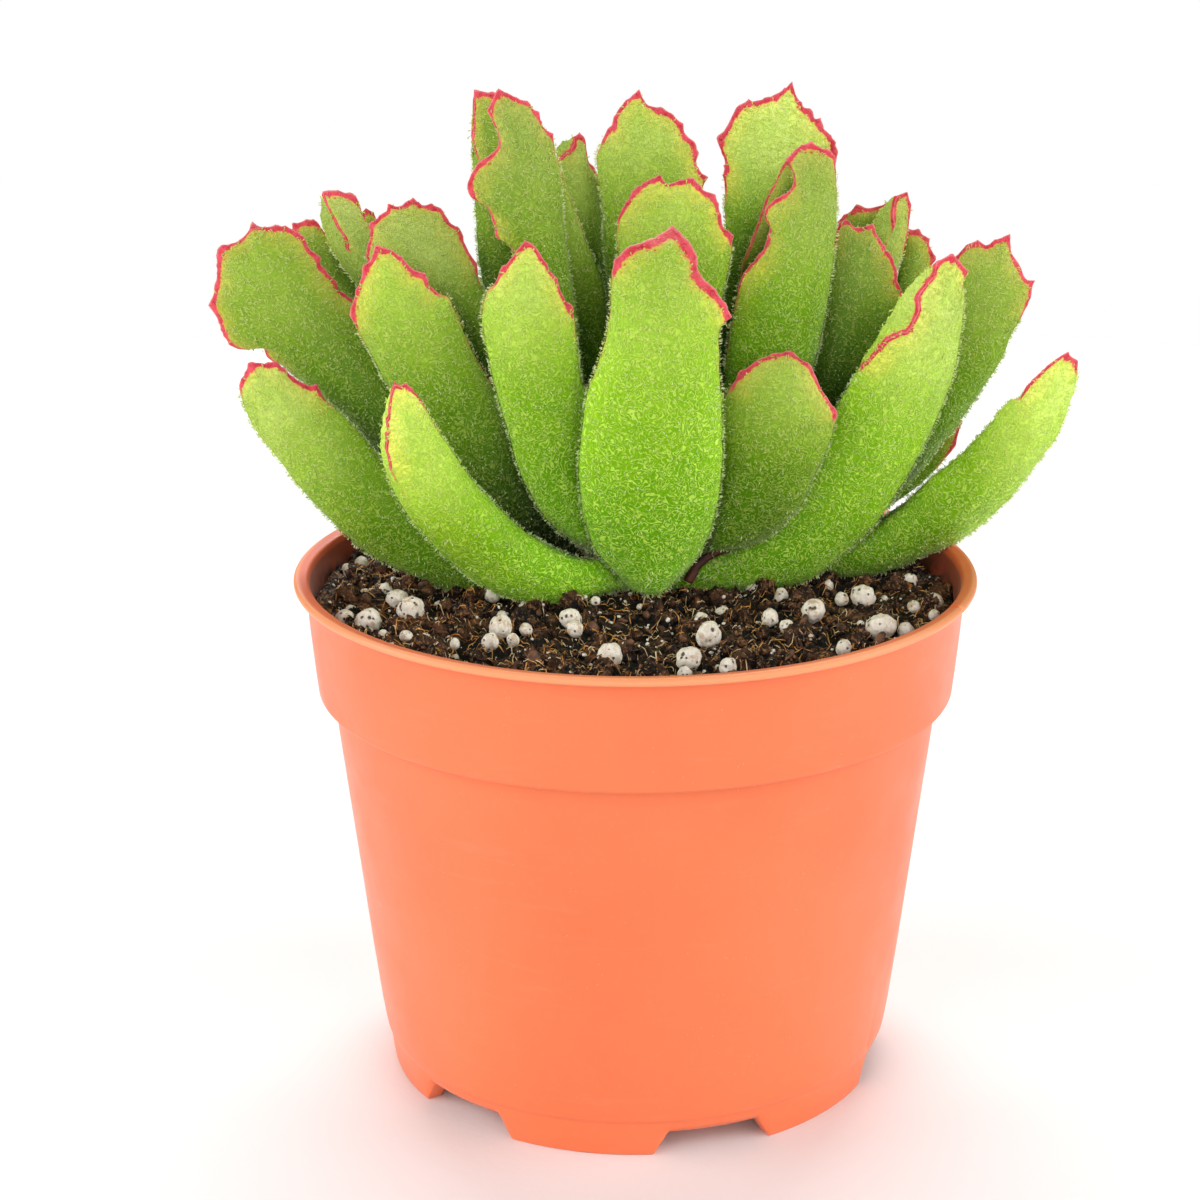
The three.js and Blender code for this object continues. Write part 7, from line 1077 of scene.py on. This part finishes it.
def centre(L, R):
    a, b = resample(L, NC), resample(R, NC)
    M, W = smooth_line((a + b) / 2, 12), smooth_line(b - a, 12)
    T = smooth_line(np.gradient(M, axis=0), 4)
    T /= np.linalg.norm(T, axis=1)[:, None]
    N = np.cross(W, T)
    N = N / np.maximum(np.linalg.norm(N, axis=1), 1e-9)[:, None]
    for i in range(NC - 1, -1, -1):
        if i > NC - 5:
            N[i] = N[NC - 5]
        if i < 2:
            N[i] = N[2]
    N = smooth_line(N, 4)
    N -= (N * T).sum(1)[:, None] * T
    N /= np.linalg.norm(N, axis=1)[:, None]
    return M, N, np.linalg.norm(b - a, axis=1), T


def lerpc(A, t):
    t = np.clip(np.asarray(t, float), 0, 1) * (NC - 1)
    i = np.minimum(t.astype(int), NC - 2)
    f = t - i
    if A.ndim == 1:
        return A[i] * (1 - f) + A[i + 1] * f
    return A[i] * (1 - f)[:, None] + A[i + 1] * f[:, None]


def catmull(P, fl, sub):
    out, n = [], len(P)
    for i in range(n - 1):
        p1, p2 = P[i], P[i + 1]
        p0 = P[i - 1] if i > 0 and not fl[i] else p1 - (p2 - p1) * .6
        p3 = P[i + 2] if i + 2 < n and not fl[i + 1] else p2 + (p2 - p1) * .6
        d01 = max(np.linalg.norm(p1 - p0) ** .5, 1e-6)
        d12 = max(np.linalg.norm(p2 - p1) ** .5, 1e-6)
        d23 = max(np.linalg.norm(p3 - p2) ** .5, 1e-6)
        m1 = (p2 - p1) + d12 * ((p1 - p0) / d01 - (p2 - p0) / (d01 + d12))
        m2 = (p2 - p1) + d12 * ((p3 - p2) / d23 - (p3 - p1) / (d12 + d23))
        for k in range(sub):
            u = k / sub
            out.append((2 * u ** 3 - 3 * u * u + 1) * p1 + (u ** 3 - 2 * u * u + u) * m1 + (-2 * u ** 3 + 3 * u * u) * p2 + (u ** 3 - u * u) * m2)
    out.append(P[-1])
    return np.array(out)


def zip_tri(A, ta, B, tb):
    i = j = 0
    tr = []
    while i < len(A) - 1 or j < len(B) - 1:
        if j == len(B) - 1 or (i < len(A) - 1 and ta[i + 1] < tb[j + 1] - 1e-9):
            tr.append((A[i], B[j], A[i + 1]))
            i += 1
        else:
            tr.append((A[i], B[j], B[j + 1]))
            j += 1
    return tr


def table(t, rows, col, default):
    if not rows:
        return np.full(len(t), default)
    return np.interp(t, [r[0] for r in rows], [r[col] for r in rows])


def line_field(V, nrm, line):
    """Signed distance to a line that runs over the face (inside of it positive), its amount and width."""
    Q = np.array(line)
    best, sd, am, wd = np.full(len(V), 1e9), np.zeros(len(V)), np.zeros(len(V)), np.ones(len(V))
    for a, b in zip(Q[:-1], Q[1:]):
        e = b[:3] - a[:3]
        u = np.clip((V - a[:3]) @ e / max(e @ e, 1e-9), 0, 1)
        off = V - (a[:3] + u[:, None] * e)
        dist = np.linalg.norm(off, axis=1)
        near = dist < best
        side = -np.sign((np.cross(e, off) * nrm).sum(1))
        best = np.where(near, dist, best)
        sd = np.where(near, dist * np.where(side == 0, 1.0, side), sd)
        am = np.where(near, a[3] + (b[3] - a[3]) * u, am)
        wd = np.where(near, a[4] + (b[4] - a[4]) * u, wd)
    return sd, am, wd


def leaf_arrays(d, sub, rings, nm, seed):
    L0, R0 = np.array([p[:3] for p in d["L"]], float), np.array([p[:3] for p in d["R"]], float)
    fL, fR = [p[3] for p in d["L"]], [p[3] for p in d["R"]]
    M, N, Wd, T = centre(L0, R0)
    Ta, Td, cup, face = d["outer"], d["inner"], d["cup"], d["side"]
    L, R = catmull(L0, fL, sub), catmull(R0, fR, sub)
    # fine unevenness of the margin between the teeth
    tL, tR = alen(L), alen(R)
    redL, redR = table(tL, d["redL"], 1, 0.0), table(tR, d["redR"], 1, 0.0)
    offL, offR = table(tL, d["redL"], 2, 0.0), table(tR, d["redR"], 2, 0.0)
    seed_off = 0.30 * np.array([noise.noise(Vector((p[0] * 0.8, p[1] * 0.8, p[2] * 0.8 + seed))) for p in L])
    offL = offL + np.where(offL > 0.3, seed_off, 0.0)
    wL, wR = table(tL, d["redL"], 3, 0.5), table(tR, d["redR"], 3, 0.5)
    loop = np.r_[L, R[-2::-1]]
    tl = np.r_[tL, tR[-2::-1]]
    red, off, wid = np.r_[redL, redR[-2::-1]], np.r_[offL, offR[-2::-1]], np.r_[wL, wR[-2::-1]]
    K = len(loop)
    ls = loop.copy()
    for _ in range(3 * sub * sub):
        ls = .5 * ls + .25 * (np.roll(ls, 1, 0) + np.roll(ls, -1, 0))
    f = M0 + (M1 - M0) * tl
    C0, Nn = lerpc(M, f), lerpc(N, f)
    C0 = C0
    jit = np.array([noise.noise(Vector((p[0] * 0.9, p[1] * 0.9 + seed, p[2] * 0.9))) for p in loop]) * 0.16
    # small teeth between the main ones, each a red nub
    cusp = np.array([noise.noise(Vector((p[0] * 0.52 + 3.1, p[1] * 0.52 - seed, p[2] * 0.52))) for p in loop])
    cusp = np.clip(1.0 - 3.4 * np.abs(cusp), 0, 1)
    fl_all = np.r_[[sub * i for i, f in enumerate(fL) if f], [len(L) - 1 + len(R) - 1 - sub * i for i, f in enumerate(fR) if f and i < len(fR) - 1]].astype(int)
    dt = np.min(np.linalg.norm(loop[:, None, :] - loop[None, fl_all, :], axis=2), axis=1) if len(fl_all) else np.full(K, 99.0)
    nub = np.exp(-(dt / 0.85) ** 2)
    jit = jit + np.clip(red * 1.3, 0, 1) * (0.27 * (cusp - 0.45) + 0.12 * nub)
    wid = wid * np.where(off > 0.05, 1.0, 1.55 * (0.78 + 0.42 * cusp + 0.45 * nub))
    jit[0] = jit[-1] = 0
    out_dir = loop - C0
    out_dir /= np.maximum(np.linalg.norm(out_dir, axis=1), 1e-6)[:, None]
    loop = loop + out_dir * (jit * np.clip(tl * 4, 0, 1))[:, None]

    def prof(tq):
        th = np.interp(tq, TB, TS)
        wl = lerpc(Wd, tq)
        lim = np.minimum(1, .62 * np.maximum(wl, 2.0) / (Ta + Td))
        return ((Ta if face > 0 else Td) * th * lim + cup * th, (Td if face > 0 else Ta) * th * lim - cup * th)

    bN, bP = prof(f)
    fm = np.linspace(M0, M1, nm)
    Cm, Nm = lerpc(M, fm), lerpc(N, fm)
    mN, mP = prof(fm)
    pw = np.interp(f, [0, .45, .72, .9], [d.get("pw", .66), d.get("pw", .66), .85, 1.0])
    V = [loop]
    # a line that runs steeply across the face keeps its width
    step_l = np.maximum(np.linalg.norm(loop - np.roll(loop, 1, 0), axis=1), 0.05)
    slope = np.abs(off - np.roll(off, 1)) / step_l
    slope = np.convolve(np.r_[slope[-2:], slope, slope[:2]], np.ones(5) / 5, "valid")
    wid = wid * np.where(off > 0.3, np.sqrt(1 + np.minimum(slope, 3.0) ** 2), 1.0)
    A = {k: [] for k in ("edge", "q", "red", "tt", "inner", "off", "run")}
    A["off"].append(off)
    A["edge"].append(np.where(off > 0.3, 5.0, 0.0))
    A["run"].append(np.zeros(K))
    A["q"].append((0 - off) / wid)
    A["red"].append(red)
    A["tt"].append(tl)
    A["inner"].append(np.full(K, 0.5))
    nV, sheets = K, []
    for sgn, b, mb in ((1, bN, mN), (-1, -bP, -mP)):
        is_inner = 1.0 if (sgn > 0) != (face > 0) else 0.0
        ring_idx, prev, run = [], loop, np.zeros(K)
        store = []
        for r in rings[::-1]:            # from the margin inwards
            P = C0 + (ls * (1 - r ** 3) + loop * r ** 3 - C0) * r + Nn * (b * (1 - r * r) ** pw)[:, None]
            run = run + np.linalg.norm(P - prev, axis=1)
            store.append((P, run.copy()))
            prev = P
        for P, run in store[::-1]:
            base_i = nV
            V.append(P)
            nV += K
            A["edge"].append(np.where(run >= off, run - off, 5.0))
            A["run"].append(run)
            A["q"].append((run - off) / wid)
            A["red"].append(red)
            A["tt"].append(tl)
            A["off"].append(off)
            A["inner"].append(np.full(K, is_inner))
            ring_idx.append(np.arange(base_i, base_i + K))
        base_i = nV
        V.append(Cm + Nm * mb[:, None])
        nV += nm
        mid = list(range(base_i, base_i + nm))
        A["edge"].append(np.full(nm, 9.0))
        A["run"].append(np.full(nm, 9.0))
        A["q"].append(np.full(nm, 18.0))
        A["red"].append(np.zeros(nm))
        A["tt"].append(np.linspace(0, 1, nm))
        A["off"].append(np.zeros(nm))
        A["inner"].append(np.full(nm, is_inner))
        ring_idx.append(np.arange(K))
        tri = []
        for q in range(len(ring_idx) - 1):
            a, bb = ring_idx[q], ring_idx[q + 1]
            a2, b2 = np.roll(a, -1), np.roll(bb, -1)
            tri.append(np.stack([a, bb, b2], 1))
            tri.append(np.stack([a, b2, a2], 1))
        r0, kt = list(ring_idx[0]), len(L) - 1
        tm = list(np.linspace(0, 1, nm))
        z = [(x, zz, y) for x, y, zz in zip_tri(r0[:kt + 1], list(tL), mid, tm)]
        z += zip_tri(r0[kt:][::-1], list(tl[kt:][::-1]), mid, tm)
        z.append((r0[0], mid[0], r0[-1]))
        tri.append(np.array(z))
        tri = np.vstack(tri)
        sheets.append(tri if sgn > 0 else tri[:, ::-1])
    V, F = np.vstack(V), np.vstack(sheets)
    A = {k: np.concatenate(v) for k, v in A.items()}
    vol = np.einsum("ij,ij->i", V[F[:, 0]], np.cross(V[F[:, 1]], V[F[:, 2]])).sum()
    if vol < 0:
        F = F[:, ::-1]
    # soft unevenness of the fleshy blade
    nrm = vertex_normals(V, F)
    wob = np.array([0.17 * noise.noise(Vector((p[0] * 0.17 + seed, p[1] * 0.17, p[2] * 0.17))) + 0.07 * noise.noise(Vector((p[0] * 0.5, p[1] * 0.5 + seed, p[2] * 0.5))) for p in V])
    V = V + nrm * (wob * np.clip(A["run"] / 1.5, 0, 1))[:, None]
    if d.get("line"):
        on = (A["off"] > 0.04) & (A["inner"] < 0.6)
        sd, am, wd = line_field(V, nrm, d["line"])
        A["q"] = np.where(on, sd / wd, A["q"])
        A["red"] = np.where(on, am, A["red"])
        A["edge"] = np.where(on, np.where(sd >= 0, sd, 5.0), A["edge"])
    # the red edge stands up as a fine ridge where it runs on the face
    ridge = np.where((A["off"] > 0.3) & (A["inner"] < 0.5), np.exp(-(A["q"] * 0.9) ** 2) * A["red"] * 0.38, 0.0)
    V = V + nrm * ridge[:, None]
    Tv = lerpc(T, M0 + (M1 - M0) * A["tt"])
    return V, F, A, nrm, Tv, (loop, out_dir, Nn, tl, red)


def vertex_normals(V, F):
    n = np.zeros_like(V)
    fn = np.cross(V[F[:, 1]] - V[F[:, 0]], V[F[:, 2]] - V[F[:, 0]])
    for k in range(3):
        np.add.at(n, F[:, k], fn)
    return n / np.maximum(np.linalg.norm(n, axis=1), 1e-9)[:, None]


def down(V, F, A, nrm, Tv, rim, density, seed):
    """Short curled hairs on the skin: three triangles each, some lying, some standing."""
    rng = np.random.default_rng(seed)
    a, b, c = V[F[:, 0]], V[F[:, 1]], V[F[:, 2]]
    area = np.linalg.norm(np.cross(b - a, c - a), axis=1) / 2
    # fewer on the red edge itself
    keep = np.where((A["red"][F[:, 0]] > 0.3) & (np.abs(A["q"][F[:, 0]]) < 1.15), 0.0, 1.0)
    cum = np.cumsum(area * keep)
    n = int(cum[-1] * density * 1.9)
    f = np.minimum(np.searchsorted(cum, (np.arange(n) + rng.uniform(size=n)) / n * cum[-1]), len(F) - 1)
    u, v = rng.uniform(size=n), rng.uniform(size=n)
    sw = u + v > 1
    u[sw], v[sw] = 1 - u[sw], 1 - v[sw]
    w = 1 - u - v
    pick = lambda X: (X[F[f, 0]].T * w + X[F[f, 1]].T * u + X[F[f, 2]].T * v).T
    P, N, T = pick(V), pick(nrm), pick(Tv)
    # evenly spread: one hair to a cell
    cell = np.floor(P / (1.10 / math.sqrt(density))).astype(np.int64)
    key = (cell[:, 0] * 7919 + cell[:, 1]) * 7919 + cell[:, 2]
    first = np.sort(np.unique(key, return_index=True)[1])
    P, N, T, f = P[first], N[first], T[first], f[first]
    n = len(first)
    red = (A["red"][F[f, 0]] * (np.abs(A["q"][F[f, 0]]) < 1.1))
    occ, gn, tth = A["occ"][F[f, 0]], A["gain"][F[f, 0]], A["tt"][F[f, 0]]
    stand = (rng.uniform(size=n) < 0.34 * (1.0 - 0.75 * np.clip((tth - 0.55) / 0.3, 0, 1))).astype(float)
    # fringe on the margin itself
    loop, od, Nn, tl, rr = rim
    seg = np.linalg.norm(np.diff(loop, axis=0), axis=1)
    m = int(seg.sum() * 9.5)
    k = rng.choice(len(seg), m, p=seg / seg.sum())
    ok = rng.uniform(size=m) > np.clip(rr[k] * 1.9, 0, 1)
    k = k[ok]
    m = len(k)
    s = rng.uniform(size=m)[:, None]
    P2 = loop[k] * (1 - s) + loop[k + 1] * s
    N2 = od[k] + Nn[k] * rng.normal(0, 0.6, m)[:, None]
    P, N, T = np.vstack([P, P2]), np.vstack([N, N2]), np.vstack([T, loop[k + 1] - loop[k]])
    red = np.r_[red, 0.8 * rr[k]]
    occ, gn, tth = np.r_[occ, A["occ"][k]], np.r_[gn, A["gain"][k]], np.r_[tth, tl[k]]
    stand = np.r_[stand, np.ones(m)]
    n = len(P)
    N /= np.linalg.norm(N, axis=1)[:, None]
    T = T - (T * N).sum(1)[:, None] * N
    T /= np.maximum(np.linalg.norm(T, axis=1), 1e-6)[:, None]
    B = np.cross(N, T)
    # direction over the skin turns slowly, as in the curls of the down
    sw = np.array([noise.noise(Vector((p[0] * 0.34 + seed, p[1] * 0.34, p[2] * 0.34))) for p in P])
    phi = sw * 8.5 + rng.normal(0, 0.25, n)
    H = T * np.cos(phi)[:, None] + B * np.sin(phi)[:, None]
    S = np.cross(N, H)
    ln = np.where(stand > 0.5, rng.uniform(0.40, 0.68, n), rng.uniform(0.60, 1.0, n))
    wd = np.where(stand > 0.5, rng.uniform(0.13, 0.17, n), rng.uniform(0.11, 0.15, n))
    ln = ln * (1.0 + 0.35 * np.clip((0.2 - tth) / 0.12, 0, 1))
    sd = np.where(rng.uniform(size=n) < 0.5, -1.0, 1.0)
    curl = sd * rng.uniform(0.10, 0.30, n)
    lift = rng.uniform(0.7, 1.3, n)
    # along the hair (share of length), up and sideways
    al = lambda x, y: np.where(stand > 0.5, y, x)
    a1, a2, a3 = al(0.34, 0.06), al(0.70, 0.20), al(1.0, 0.42)
    h1, h2, h3 = al(0.16, 0.38) * lift, al(0.22, 0.70) * lift, al(0.20, 0.92) * lift
    c1, c2, c3 = 0.45 * curl, 1.0 * curl, al(0.35, 0.9) * curl
    p0 = P - N * 0.04
    at = lambda x, h, c: p0 + H * (x * ln)[:, None] + N * (h * ln + 0.03)[:, None] + S * (c * ln)[:, None]
    q1, q2, q3 = at(a1, h1, c1), at(a2, h2, c2), at(a3, h3, c3)
    hw = (S * (sd * wd / 2)[:, None])
    Vh = np.stack([p0, q1 - hw, q1 + hw, q2 + hw * 0.9, q3], 1).reshape(-1, 3)
    i = np.arange(n) * 5
    Fh = np.stack([np.stack([i, i + 1, i + 2], 1), np.stack([i + 1, i + 3, i + 2], 1), np.stack([i + 1, i + 4, i + 3], 1)], 1).reshape(-1, 3)
    top = np.where(stand > 0.5, 1.0, 0.62)
    hr = (np.array([0.0, 0.45, 0.45, 0.8, 1.0])[None, :] * top[:, None]).ravel()
    # one cell of the map for each hair
    g_ = int(math.ceil(math.sqrt(n)))
    cell = np.stack([np.arange(n) % g_, np.arange(n) // g_], 1)
    spot = np.array([[0.5, 0.06], [0.12, 0.42], [0.88, 0.42], [0.86, 0.74], [0.3, 0.95]])
    uvv = (cell[:, None, :] + spot[None]) / g_
    uv = uvv.reshape(-1, 2)[Fh.ravel()]
    return Vh, Fh, {"hr": hr, "red": np.repeat(red, 5), "occ": np.repeat(occ, 5), "gain": np.repeat(gn, 5), "tt": np.repeat(tth, 5)}, uv


RINGS_A = (.20, .38, .53, .65, .75, .83, .895, .94, .97, .99)
RINGS_B = (.28, .52, .71, .84, .93, .98)
RINGS_C = (.35, .7, .92)
# how much of the sky each part of a leaf sees: its blocked parts get painted shade
from mathutils.bvhtree import BVHTree
OV, OF = [], []
for k, d in enumerate(LEAVES):
    V, F, A, nrm, Tv, rim = leaf_arrays(d, 1, RINGS_C, 10, k * 3.7)
    OF += [tuple(int(q) + len(OV) for q in t) for t in F]
    OV += [tuple(p) for p in V]
TREE = BVHTree.FromPolygons(OV, OF)
NR = 12
_i = np.arange(NR) + 0.5
_ph, _st = _i * 2.399963, np.sqrt(_i / NR)
RAYS = np.stack([_st * np.cos(_ph), _st * np.sin(_ph), np.sqrt(1 - _st ** 2)], 1)


def sky_occlusion(V, F, nrm, seed):
    rng = np.random.default_rng(seed)
    ang = rng.uniform(0, 2 * math.pi, len(V))
    ref = np.where(np.abs(nrm[:, 2:3]) < 0.9, np.array([[0, 0, 1.0]]), np.array([[1.0, 0, 0]]))
    X = np.cross(nrm, ref)
    X /= np.linalg.norm(X, axis=1)[:, None]
    Y = np.cross(nrm, X)
    ca, sa = np.cos(ang)[:, None], np.sin(ang)[:, None]
    X, Y = X * ca + Y * sa, Y * ca - X * sa
    out = np.zeros(len(V))
    org = V + nrm * 0.5
    for q in range(NR):
        D = X * RAYS[q, 0] + Y * RAYS[q, 1] + nrm * RAYS[q, 2]
        for i in range(len(V)):
            hit = TREE.ray_cast(org[i], D[i], 30.0)
            if hit[3] is not None:
                out[i] += 1.0 - 0.6 * hit[3] / 30.0
    out /= NR
    for _ in range(4):
        acc, cnt = np.zeros(len(V)), np.zeros(len(V))
        m = out[F].mean(axis=1)
        for c in range(3):
            np.add.at(acc, F[:, c], m)
            np.add.at(cnt, F[:, c], 1.0)
        out = acc / np.maximum(cnt, 1)
    return out


for k, d in enumerate(LEAVES):
    seen = d["seen"]
    V, F, A, nrm, Tv, rim = leaf_arrays(d, 5 if seen else 3, RINGS_A if seen else RINGS_B, 30 if seen else 18, k * 3.7)
    # gain: per-leaf brightness low, middle and top, partly painted light and shade
    A["gain"] = np.interp(A["tt"], [0.1, 0.5, 0.9], d["gain"])
    A["pale"] = d["pale"] * np.clip((A["tt"] - 0.62) / 0.3, 0, 1)
    A["occ"] = sky_occlusion(V, F, nrm, 900 + k)
    make(d["name"] + "_blade", V, F, MAT_LEAF, attrs={q: A[q] for q in A if q not in ("off", "run")}, node=d["name"])
    if True:
        Vh, Fh, Ah, uvh = down(V, F, A, nrm, Tv, rim, 3.2 if seen else 3.2 * 0.55, 500 + k)
        make(d["name"] + "_down", Vh, Fh, MAT_HAIR, attrs=Ah, smooth=False, uv=uvh)
